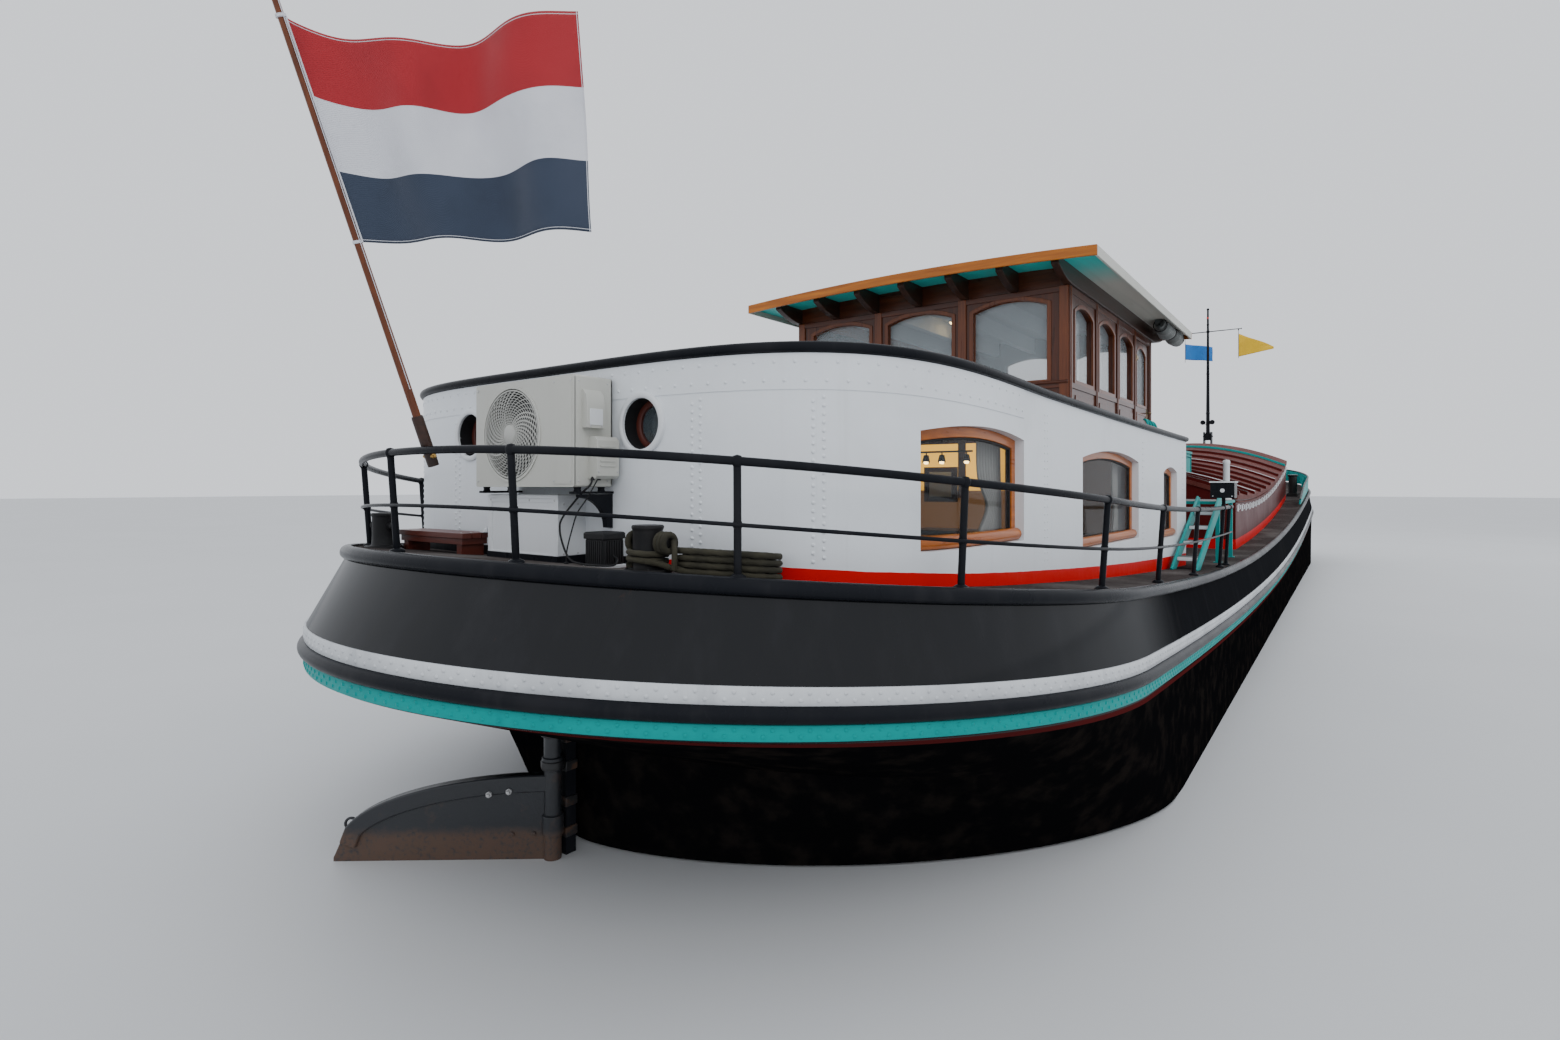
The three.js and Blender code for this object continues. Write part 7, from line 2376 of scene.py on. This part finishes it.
def add_air_unit():
    x0, x1, y0, y1, z0, z1 = (AIR[key] for key in ("x0", "x1", "y0", "y1", "z0", "z1"))
    fan_y, middle, radius = AIR["fan_y"], (AIR["z0"] + AIR["z1"]) / 2, AIR["fan"]

    def place(u, v, w):
        return Vector((x0 + w, u, v))
    depth = x1 - x0
    case = Shape()
    outline = round_corners(y0, y1, z0, z1, 0.012, 5)
    inner = round_corners(y0 + 0.010, y1 - 0.010, z0 + 0.010, z1 - 0.010, 0.006, 5)
    hole = circle(radius, 56, fan_y, middle)
    case.board(outline, [hole], 0.0, 0.010, place)
    case.surround(outline, inner, 0.004, depth, place)
    case.board(outline, [], depth - 0.008, depth, place)
    case.board(
        round_corners(y0 + 0.014, y0 + 0.158, z0 + 0.016, z1 - 0.016, 0.006, 4), [], -0.003, 0.004, place
    )
    case.surround(
        circle(radius + 0.012, 56, fan_y, middle), circle(radius - 0.002, 56, fan_y, middle), -0.005,
        0.040, place
    )
    for u, v in (
        (y0 + 0.022, z1 - 0.03), (y0 + 0.022, z0 + 0.03), (y1 - 0.022, z1 - 0.03), (y1 - 0.022, z0 + 0.03),
        (y0 + 0.15, z1 - 0.03), (y0 + 0.15, z0 + 0.03)
    ):
        case.dome(place(u, v, -0.003), (-1, 0, 0), 0.0065, 0.003, 10, look=1)
    case.box((x0 + 0.02, y0 + 0.24, z0 + 0.012), (x0 + 0.03, y0 + 0.25, z1 - 0.012), look=2)
    case.box((x1 - 0.07, y0 + 0.25, z0 + 0.012), (x1 - 0.03, y1 - 0.012, z1 - 0.012), look=2)
    for n in range(14):
        z = z0 + 0.035 + 0.036 * n
        case.box((x1 - 0.074, y0 + 0.25, z), (x1 - 0.069, y1 - 0.012, z + 0.003), look=1)
    case.piece(
        "air_case", "barge", "air_case", "casing", "steel", "fan_grey", replaces=("air_unit",),
        bevel=0.0025, smooth=40
    )

    side = Shape()
    a, b = x0 + 0.09, x1 - 0.01
    rows = [
        [(a, y0 + 0.002, z), (b, y0 + 0.002, z), (b, y0 - out, z), (a, y0 - out, z)] for z,
        out in ((z0 + 0.04, 0.045), (z0 + 0.055, 0.063), (z0 + 0.230, 0.065), (z0 + 0.25, 0.045))
    ]
    side.skin(rows)
    a, b = x0 + 0.05, x1 - 0.08
    rows = [
        [(a, y0 + 0.002, z), (b, y0 + 0.002, z), (b, y0 - out, z), (a, y0 - out, z)] for z,
        out in ((z0 + 0.29, 0.040), (z0 + 0.40, 0.040), (z0 + 0.455, 0.030), (z0 + 0.48, 0.006))
    ]
    side.skin(rows)
    side.box((x0 + 0.065, y0 - 0.0425, z0 + 0.305), (x1 - 0.095, y0 - 0.039, z0 + 0.385), look=1)
    for x, z, out in (
        (0.10, 0.075, 0.064), (0.22, 0.075, 0.064), (0.07, 0.30, 0.041), (0.14, 0.30, 0.041),
        (0.03, 0.52, 0.0), (0.21, 0.52, 0.0), (0.03, 0.03, 0.0), (0.21, 0.03, 0.0)
    ):
        side.dome((x0 + x, y0 - out, z0 + z), (0, -1, 0), 0.006, 0.003, 10, look=2)
    for n in range(5):
        z = z0 + 0.10 + 0.024 * n
        side.box((x0 + 0.11, y0 - 0.068, z), (x1 - 0.035, y0 - 0.064, z + 0.010))
    side.piece("air_side_boxes", "barge", "air_case", "casing", "white", "steel", bevel=0.003, smooth=40)

    grille = Shape()

    def dish(reach):
        return x0 - 0.012 + 0.014 * (reach / radius) ** 2
    for n in range(14):
        reach = 0.055 + (radius - 0.011 - 0.055) * n / 13
        grille.tube(
            [(
                dish(reach), fan_y + reach * math.cos(a), middle + reach * math.sin(a)
            ) for a in (2 * math.pi * k / 56 for k in range(56))],
            0.0018 if n < 13 else 0.005, 5, ring=True
        )
    for n in range(36):
        path = []
        for k in range(9):
            reach = 0.046 + (radius - 0.012 - 0.046) * k / 8
            angle = 2 * math.pi * n / 36 + 0.85 * (k / 8) ** 1.2
            path.append((
                dish(reach) + 0.003, fan_y + reach * math.cos(angle), middle + reach * math.sin(angle)
            ))
        grille.tube(path, 0.0022, 5, flat=2.2)
    grille.lathe(
        [(0.0, -0.014), (0.044, -0.012), (0.050, -0.008), (0.051, 0.0), (0.046, 0.004), (0.0, 0.004)],
        (x0 - 0.002, fan_y, middle), (1, 0, 0), 40
    )
    grille.piece("air_grille_wires", "barge", "air_case", "grille", replaces=("air_grille",), smooth=60)

    legs = Shape()
    for y in (y0 + 0.03, y1 - 0.03):
        legs.box((x0 + 0.01, y - 0.02, z0 - 0.034), (x1 + 0.022, y + 0.02, z0 - 0.022))
        for x in (x0 + 0.045, x1 - 0.045):
            legs.lathe(
                [(0.0, -0.022), (0.020, -0.022), (0.016, -0.011), (0.020, 0.0), (0.0, 0.0)], (x, y, z0),
                (0, 0, 1), 18
            )
        if y > 0:
            continue
        curve = [(x0 + 0.045, z0 - 0.036)] + [(
            x1 - 0.022 - 0.17 * (1 - math.sin(math.pi / 2 * k / 12)),
            z0 - 0.052 - 0.155 * (1 - math.cos(math.pi / 2 * k / 12))
        ) for k in range(13)] + [(x1 + 0.019, z0 - 0.21), (x1 + 0.019, z0 - 0.036)]
        legs.board(curve, [], -0.015, 0.015, lambda u, v, w, y=y: Vector((u, y + w, v)))
    legs.piece("air_brackets", "barge", "black_paint", "edge_black", bevel=0.002, smooth=45)

    wall_x = cabin_skin(0.0)[0] + 0.004
    duct = Shape()
    low, high = deck_at(-12.0) - 0.01, z0 - 0.04
    duct.box((-12.0, -0.33, low), (wall_x, 0.27, high))
    duct.surround(
        [(-0.338, low + 0.012), (0.278, low + 0.012), (0.278, high - 0.004), (-0.338, high - 0.004)],
        [(-0.30, low + 0.05), (0.24, low + 0.05), (0.24, high - 0.042), (-0.30, high - 0.042)], -0.004,
        0.002, lambda u, v, w: Vector((-12.0 + w, u, v))
    )
    duct.box((-12.006, -0.336, high - 0.022), (wall_x, 0.276, high - 0.004))
    duct.box((-12.010, -0.339, low), (wall_x, 0.279, low + 0.042), look=2)
    for u in (-0.31, -0.1, 0.05, 0.25):
        for v in (low + 0.03, high - 0.03):
            duct.dome((-12.004, u, v), (-1, 0, 0), 0.007, 0.0035, 10, look=1)
    for x in (-11.96, -11.87):
        for v in (low + 0.05, high - 0.05):
            duct.dome((x, -0.33, v), (0, -1, 0), 0.007, 0.0035, 10, look=1)
    duct.piece(
        "duct_case", "barge", "white_paint", "white", "steel", "edge_black", replaces=("air_duct",),
        bevel=0.003
    )

    pipes = Shape()
    deck = deck_at(-12.05)
    routes = (
        (
            0.005,
            (
                (x0 + 0.09, y0 - 0.030, z0 + 0.05), (-12.005, -0.590, 3.03), (-12.02, -0.532, 2.981),
                (-12.05, -0.435, 2.868), (-12.055, -0.420, 2.806), (-12.055, -0.445, 2.732),
                (-12.055, -0.493, deck + 0.030), (-12.055, -0.569, deck + 0.010),
                (-12.055, -0.715, deck + 0.009), (-12.04, -0.800, deck + 0.014),
                (-11.985, -0.765, deck + 0.035), (-11.980, -0.727, deck + 0.050)
            )
        ),
        (
            0.0035,
            (
                (x0 + 0.13, y0 - 0.030, z0 + 0.05), (-11.985, -0.590, 3.02), (-12.0, -0.552, 2.956),
                (-12.02, -0.513, 2.894), (-12.03, -0.487, 2.819), (-12.04, -0.457, 2.707),
                (-12.04, -0.452, deck - 0.004)
            )
        ),
    )
    for radius, route in routes:
        pipes.tube(smooth_path(route, 7), radius, 10)
        pipes.lathe(
            [(0.0, -0.012), (radius + 0.006, -0.012), (radius + 0.005, 0.0), (radius, 0.004), (0.0, 0.004)],
            (route[0][0], route[0][1], z0 + 0.045), (0, 0, 1), 14
        )
    pipes.lathe(
        [(0.0, 0.0), (0.012, 0.0), (0.012, 0.005), (0.0035, 0.011), (0.0, 0.011)], (-12.04, -0.452, deck),
        (0, 0, 1), 14
    )
    drain = [
        Vector((x1 - 0.07, y1 - 0.10, z0 - 0.002)), Vector((x1 - 0.07, y1 - 0.10, z0 - 0.10)),
        Vector((x1 - 0.07, y1 - 0.10, z0 - 0.16)), Vector((x1 - 0.072, y1 - 0.065, z0 - 0.19)),
        Vector((x1 - 0.075, y1 + 0.02, z0 - 0.195))
    ]
    pipes.tube(smooth_path(drain, 6), 0.011, 12, look=1)
    for at in (drain[1], drain[4]):
        axis = (0, 0, 1) if at is drain[1] else (0, 1, 0)
        pipes.lathe(
            [(0.010, -0.014), (0.0145, -0.012), (0.0145, 0.012), (0.010, 0.014)], at, axis, 16, look=1,
            ring=True
        )
    pipes.piece("air_pipes", "barge", "air_case", "rubber", "white", smooth=50)


def smooth_path(points, steps):
    """Curve through points, a few steps for each span"""
    points = [Vector(p) for p in points]
    made = []
    for i in range(len(points) - 1):
        a, b = points[max(0, i - 1)], points[i]
        c, d = points[i + 1], points[min(len(points) - 1, i + 2)]
        for k in range(steps):
            t = k / steps
            made.append(0.5 * ((2 * b) + (c - a) * t + (2 * a - 5 * b + 4 * c - d) * t * t + (3 * b - a - 3 * c + d) * t ** 3))
    return made + [points[-1]]


VENT = {"x": -11.975, "y": -0.66, "half": 0.062, "lid": 0.070, "high": 0.172}
VENT_TOP = deck_at(VENT["x"]) + VENT["high"]
BENCH = {"aft": -12.085, "front": -11.905, "from": 0.4, "to": 1.11, "high": 0.125, "board": 0.065}


def add_stern_deck():
    x, y, half, lid = (VENT[key] for key in ("x", "y", "half", "lid"))
    foot = deck_at(x)
    vent = Shape()
    vent.box((x - half, y - half - 0.003, foot - 0.01), (x + half, y + half + 0.003, VENT_TOP - 0.022))
    rows = []
    for z, grow in (
        (VENT_TOP - 0.034, 0.0), (VENT_TOP - 0.030, 0.0), (VENT_TOP - 0.006, 0.0), (VENT_TOP, -0.008)
    ):
        reach = lid + grow
        rows.append([
            (x - reach, y - reach - 0.003, z), (x + reach, y - reach - 0.003, z),
            (x + reach, y + reach + 0.003, z), (x - reach, y + reach + 0.003, z)
        ])
    vent.skin(rows)
    for n in range(8):
        at = -0.053 + 0.0152 * n
        vent.box(
            (x - half - 0.008, y + at - 0.0045, foot + 0.018),
            (x + half + 0.008, y + at + 0.0045, foot + 0.132)
        )
        vent.box(
            (x + at - 0.0045, y - half - 0.011, foot + 0.018),
            (x + at + 0.0045, y + half + 0.011, foot + 0.132)
        )
    vent.box(
        (x - half - 0.012, y - half - 0.015, foot - 0.004),
        (x + half + 0.010, y + half + 0.012, foot + 0.014), look=1
    )
    vent.piece(
        "vent_housing", "barge", "black_paint", "rubber", "white", replaces=("vent_box",), bevel=0.003
    )

    seat = deck_at(-12.0) + BENCH["high"]
    bench = Shape()
    wide = (BENCH["front"] - BENCH["aft"]) / 3
    for n in range(3):
        a = BENCH["aft"] + wide * n + 0.002
        bench.box((a, BENCH["from"], seat - 0.030), (a + wide - 0.004, BENCH["to"], seat))
    bench.box(
        (BENCH["aft"] + 0.012, BENCH["from"] + 0.02, seat - BENCH["board"]),
        (BENCH["front"] - 0.012, BENCH["to"] - 0.02, seat - 0.031)
    )
    for at in (BENCH["from"] + 0.04, BENCH["to"] - 0.09):
        bench.box(
            (BENCH["aft"] + 0.02, at, deck_at(-12.0) - 0.01),
            (BENCH["front"] - 0.02, at + 0.05, seat - BENCH["board"] + 0.005)
        )
    clamp = Vector((BENCH["front"] - 0.006, BENCH["from"] - 0.008, seat))
    bench.box(
        (clamp.x - 0.004, clamp.y - 0.02, seat - 0.075), (clamp.x + 0.006, clamp.y + 0.02, seat + 0.030),
        look=1
    )
    bench.box(
        (clamp.x - 0.055, clamp.y - 0.02, seat + 0.001), (clamp.x + 0.004, clamp.y + 0.02, seat + 0.009),
        look=1
    )
    bench.lathe(
        [(0.0, 0.0), (0.012, 0.0), (0.012, 0.012), (0.007, 0.014), (0.007, 0.024), (0.0, 0.025)],
        (clamp.x - 0.03, clamp.y, seat + 0.009), (0, 0, 1), 12, look=1
    )
    for yy in (BENCH["from"] + 0.06, BENCH["to"] - 0.07):
        for n in range(3):
            bench.dome((BENCH["aft"] + wide * (n + 0.5), yy, seat), (0, 0, 1), 0.006, 0.003, 8, look=2)
    bench.piece(
        "deck_bench", "barge", "dark_wood", "bench_red", "white", "steel", replaces=("stern_bench",),
        bevel=0.004
    )


def add_side_steps():
    foot, top, wide = -6.6, -4.96, 0.235
    landing = HOUSE["floor"] - 0.045
    low, high = deck_at(foot) - 0.06, landing + 0.04
    steps = Shape()
    for y in (-2.442, -2.240):
        outline = [
            (foot + 0.05, deck_at(foot + 0.05) + 0.002), (foot + wide, deck_at(foot + wide) + 0.002),
            (top, high - 0.11), (top, high), (top - 0.09, high)
        ]
        steps.board(outline, [], 0.0, 0.026, lambda u, v, w, y=y: Vector((u, y + w, v)))
        cap = [(top - 0.09, high), (foot + 0.05, deck_at(foot + 0.05) + 0.002)]
        steps.tube([(x, y + 0.013, z + 0.004) for x, z in cap], 0.014, 10)
    for n in range(4):
        share = (n + 1) / 5
        x, z = foot + (top - foot) * share, low + (landing - low) * share
        steps.box((x - 0.06, -2.437, z), (x + 0.19, -2.235, z + 0.024), look=1)
        steps.box((x - 0.066, -2.430, z - 0.004), (x - 0.056, -2.242, z + 0.027), look=2)
        for k in range(5):
            steps.box(
                (x - 0.03 + 0.045 * k, -2.42, z + 0.023), (x - 0.012 + 0.045 * k, -2.25, z + 0.027), look=1
            )
    steps.box((-4.96, -2.44, landing - 0.034), (-3.76, -1.5003, landing - 0.004), look=0)
    for n in range(8):
        y = -2.43 + 0.115 * n
        steps.box((-4.95, y, landing - 0.006), (-3.77, y + 0.108, landing), look=1)
    for x in (-4.9, -3.82):
        steps.box((x - 0.02, -2.42, deck_at(x) - 0.01), (x + 0.02, -2.38, landing - 0.03), look=0)
        steps.box((x - 0.04, -2.44, deck_at(x) + 0.001), (x + 0.04, -2.36, deck_at(x) + 0.010), look=0)
    steps.piece(
        "steps_and_landing", "barge", "teal_paint", "teal", "tread", "white", replaces=("side_steps",),
        bevel=0.003, smooth=40
    )
    post = Shape()
    post.lathe(
        [
            (0.0, 0.0), (0.055, 0.0), (0.055, 0.012), (0.036, 0.02), (0.035, 0.42), (0.040, 0.43),
            (0.040, 0.46), (0.030, 0.475), (0.0, 0.48)
        ],
        (-3.85, -2.36, landing), (0, 0, 1), 24
    )
    post.piece("landing_post", "barge", "white_paint", "white", smooth=45)
    hoops = Shape()
    for x in (-6.05, -5.78):
        base = Vector((x, -1.93, cabin_top(x) + 0.045))
        path = [
            base + Vector((0, 0, 0)), base + Vector((0, 0, 0.10)), base + Vector((0.02, 0.02, 0.155)),
            base + Vector((0.07, 0.05, 0.17)), base + Vector((0.12, 0.02, 0.155)),
            base + Vector((0.14, 0, 0.10)), base + Vector((0.14, 0, 0))
        ]
        hoops.tube(smooth_path(path, 5), 0.011, 12)
        for end in (path[0], path[-1]):
            hoops.lathe(
                [(0.0, 0.0), (0.026, 0.0), (0.024, 0.008), (0.011, 0.012), (0.0, 0.012)], end, (0, 0, 1),
                16
            )
    hoops.piece("roof_hoops", "barge", "teal_paint", "teal", smooth=50)


AWNING = {
    "y": -1.72, "turns": 3.5,
    "rows": (
        (-4.36, 0.058), (-4.16, 0.096), (-3.93, 0.108), (-3.74, 0.076), (-3.56, 0.106), (-3.31, 0.102),
        (-3.14, 0.060)
    )
}


def awning_point(share, down):
    """Point of the rolled awning: share along the boat, down into the roll"""
    rows = AWNING["rows"]
    x = rows[0][0] + (rows[-1][0] - rows[0][0]) * share
    for (xa, ra), (xb, rb) in zip(rows, rows[1:]):
        if xa <= x <= xb + 1e-9:
            ease = (x - xa) / (xb - xa)
            ease = ease * ease * (3 - 2 * ease)
            radius = ra + (rb - ra) * ease
            break
    angle = 2 * math.pi * AWNING["turns"] * down + 0.6
    reach = radius * (1 - 0.72 * down) * (1 + 0.045 * math.sin(3 * angle + 9 * share) + 0.03 * math.sin(41 * share + 2 * angle))
    z = roof_under(AWNING["y"]) - 0.9 * radius + reach * math.sin(angle)
    return Vector((
        x, AWNING["y"] + reach * math.cos(angle), min(z, roof_under(AWNING["y"]) - 0.003 - 0.006 * down)
    ))


def add_awning():
    columns, turns = 48, 98
    roll = cloth_piece(
        "awning_roll", "barge", "canvas", awning_point, columns, turns, ("canvas",), lambda i, j: 0,
        ("canvas_roll",), 0.0025
    )
    cloth_size(awning_point, columns, turns)
    ties = Shape()
    for x, radius in ((-4.30, 0.075), (-3.74, 0.080), (-3.20, 0.080)):
        z = roof_under(AWNING["y"]) - 0.9 * radius
        ring = []
        for k in range(28):
            angle = 2 * math.pi * k / 28
            ring.append((
                x, AWNING["y"] + radius * math.cos(angle),
                min(z + radius * math.sin(angle), roof_under(AWNING["y"]) - 0.004)
            ))
        ties.tube(ring, 0.006, 8, ring=True, flat=2.4)
    ties.piece("awning_ties", "barge", "canvas", "rubber", smooth=60)


BULWARK = {"from": 7.0, "high": 0.38}


def add_bow():
    """Bulwark with its capping, and the hand windlass"""
    line = [p for p in level_line("deck") if p[0] > BULWARK["from"]]
    rows, cap = [], []
    for i, (x, y) in enumerate(line):
        out = outward_of(line, i, False)
        rise = BULWARK["high"] * min(1, 0.35 + (x - BULWARK["from"]) / 3)
        base = Vector((x, y, deck_at(x)))
        rows.append([
            base + out * reach + Vector((0, 0, up)) for reach,
            up in ((-0.006, 0.0565), (-0.036, 0.0565), (-0.026, rise), (0.004, rise))
        ])
        cap.append(base + out * -0.011 + Vector((0, 0, rise)))
    bulwark = Shape().skin(rows)
    bulwark.tube(cap, 0.020, 12, look=1)
    for i in range(4, len(rows) - 4, 6):
        out = outward_of(line, i, False)
        along = Vector((-out.y, out.x, 0)) * 0.006
        foot, head = rows[i][1], rows[i][2]
        deep = foot - out * 0.11
        points = [
            foot - along, deep - along, head - along - out * 0.02, foot + along, deep + along,
            head + along - out * 0.02
        ]
        bulwark.add(points, [(0, 1, 2), (5, 4, 3), (0, 3, 4, 1), (1, 4, 5, 2), (2, 5, 3, 0)])
    bulwark.piece(
        "bulwark", "barge", "teal_paint", "band_teal", "edge_black", replaces=("bow_bulwark",), smooth=40
    )
    x = BOW_X - 1.48
    high = deck_at(x) + 0.62
    axle = high - 0.13
    gear = Shape()
    for side in (-1, 1):
        y = side * 0.33
        outline = [(x - 0.19, deck_at(x - 0.19)), (x + 0.19, deck_at(x + 0.19)), (x + 0.17, axle - 0.12)]
        outline += [(
            x + 0.10 * math.cos(a), axle + 0.12 * math.sin(a)
        ) for a in (math.pi * k / 10 for k in range(11))]
        outline += [(x - 0.17, axle - 0.12)]
        gear.board(outline, [], -0.025, 0.025, lambda u, v, w, y=y: Vector((u, y + w, v)))
        gear.lathe(
            [
                (0.0, 0.41), (0.125, 0.415), (0.130, 0.43), (0.105, 0.47), (0.100, 0.52), (0.105, 0.57),
                (0.130, 0.605), (0.125, 0.62), (0.0, 0.62)
            ],
            (x, 0, axle), (0, side, 0), 32
        )
        tooth = []
        for k in range(96):
            radius = 0.210 if (k // 2) % 2 else 0.190
            tooth.append((radius * math.cos(2 * math.pi * k / 96), radius * math.sin(2 * math.pi * k / 96)))
        gear.board(
            tooth, [circle(0.14, 40)], 0.18, 0.23, lambda u, v, w,
            side=side: Vector((x + u, side * w, axle + v))
        )
        for k in range(6):
            angle = math.pi * k / 3
            gear.tube(
                [
                    (x, side * 0.205, axle),
                    (x + 0.15 * math.cos(angle), side * 0.205, axle + 0.15 * math.sin(angle))
                ],
                0.016, 8
            )
    gear.lathe(
        [(0.0, -0.62), (0.05, -0.62), (0.055, -0.60), (0.055, 0.60), (0.05, 0.62), (0.0, 0.62)],
        (x, 0, axle), (0, 1, 0), 24
    )
    gear.box((x - 0.26, -0.40, deck_at(x - 0.26) - 0.01), (x + 0.26, 0.40, deck_at(x + 0.26) + 0.045))
    for ex in (-0.22, 0.22):
        for ey in (-0.36, 0.0, 0.36):
            gear.dome((x + ex, ey, deck_at(x + 0.26) + 0.045), (0, 0, 1), 0.014, 0.010, 6)
    gear.piece(
        "windlass_gear", "barge", "black_paint", "cast_black", replaces=("windlass",), bevel=0.004,
        smooth=45
    )


# ---- Operators, panel and start

class BARGE_OT_finishes(bpy.types.Operator):
    """Procedural materials, also for the CAD nodes that stay in view"""

    bl_idname = "barge.finishes"
    bl_label = "Finishes"

    def execute(self, context):
        make_finishes(context.scene.barge_paint)
        finish_cad_nodes()
        return {"FINISHED"}


class BARGE_OT_stage(bpy.types.Operator):
    """Camera at the photograph's place, pale floor at the waterline and soft light"""

    bl_idname = "barge.stage"
    bl_label = "Stage"

    def execute(self, context):
        add_stage(context.scene.barge_stage)
        return {"FINISHED"}


class BARGE_OT_hull(bpy.types.Operator):
    """Smooth hull with its bands, rivets and the bar on the deck's edge"""

    bl_idname = "barge.hull"
    bl_label = "Hull and bands"

    def execute(self, context):
        trim = context.scene.barge_trim
        add_hull()
        add_bands()
        add_band_rivets(trim.rivet_pitch, trim.rivet_radius)
        return {"FINISHED"}


class BARGE_OT_cabin(bpy.types.Operator):
    """Stern cabin with its plates, windows, curtains and a bulkhead that glows with painted lamplight"""

    bl_idname = "barge.cabin"
    bl_label = "Cabin"

    def execute(self, context):
        add_cabin()
        add_cabin_plates()
        add_cabin_windows()
        add_saloon()
        return {"FINISHED"}


class BARGE_OT_wheelhouse(bpy.types.Operator):
    """Wooden wheelhouse with arched lights, doors, roof, helm and rolled awning"""

    bl_idname = "barge.wheelhouse"
    bl_label = "Wheelhouse"

    def execute(self, context):
        add_end_walls()
        add_side_walls()
        add_doors()
        add_house_roof()
        add_helm()
        add_awning()
        return {"FINISHED"}


class BARGE_OT_hold(bpy.types.Operator):
    """Coaming, cambered hatches and skylight"""

    bl_idname = "barge.hold"
    bl_label = "Hold"

    def execute(self, context):
        add_hold()
        add_skylight()
        return {"FINISHED"}


class BARGE_OT_rig(bpy.types.Operator):
    """Folding mast with its plain pennants"""

    bl_idname = "barge.rig"
    bl_label = "Mast and pennants"

    def execute(self, context):
        add_mast()
        add_pennants()
        return {"FINISHED"}


class BARGE_OT_stern(bpy.types.Operator):
    """Railing, ensign, bollards, rope, rudder, air unit and the pieces on the stern deck"""

    bl_idname = "barge.stern"
    bl_label = "Stern deck"

    def execute(self, context):
        add_railing()
        add_flag()
        add_bollards()
        add_rope(context.scene.barge_trim.rope)
        add_stern_gear()
        add_air_unit()
        add_stern_deck()
        add_side_steps()
        return {"FINISHED"}


class BARGE_OT_bow(bpy.types.Operator):
    """Bulwark and windlass"""

    bl_idname = "barge.bow"
    bl_label = "Bow"

    def execute(self, context):
        add_bow()
        return {"FINISHED"}


STEPS = (
    BARGE_OT_finishes, BARGE_OT_stage, BARGE_OT_hull, BARGE_OT_cabin, BARGE_OT_wheelhouse, BARGE_OT_hold,
    BARGE_OT_rig, BARGE_OT_stern, BARGE_OT_bow,
)


class BARGE_PT_panel(bpy.types.Panel):
    """Settings and steps of the barge"""

    bl_idname = "BARGE_PT_panel"
    bl_label = "River barge"
    bl_space_type = "VIEW_3D"
    bl_region_type = "UI"
    bl_category = "Barge"

    def draw(self, context):
        scene = context.scene
        for group in (scene.barge_paint, scene.barge_trim, scene.barge_stage):
            for name in group.__annotations__:
                self.layout.prop(group, name)
        for step in STEPS:
            self.layout.operator(step.bl_idname)


CLASSES = (BargePaint, BargeTrim, BargeStage, *STEPS, BARGE_PT_panel)


def register():
    for one in CLASSES:
        bpy.utils.register_class(one)
    bpy.types.Scene.barge_paint = bpy.props.PointerProperty(type=BargePaint)
    bpy.types.Scene.barge_trim = bpy.props.PointerProperty(type=BargeTrim)
    bpy.types.Scene.barge_stage = bpy.props.PointerProperty(type=BargeStage)


def unregister():
    del bpy.types.Scene.barge_stage
    del bpy.types.Scene.barge_trim
    del bpy.types.Scene.barge_paint
    for one in reversed(CLASSES):
        bpy.utils.unregister_class(one)


def main():
    register()
    for step in STEPS:
        group, name = step.bl_idname.split(".")
        getattr(getattr(bpy.ops, group), name)()


if __name__ == "__main__":
    main()
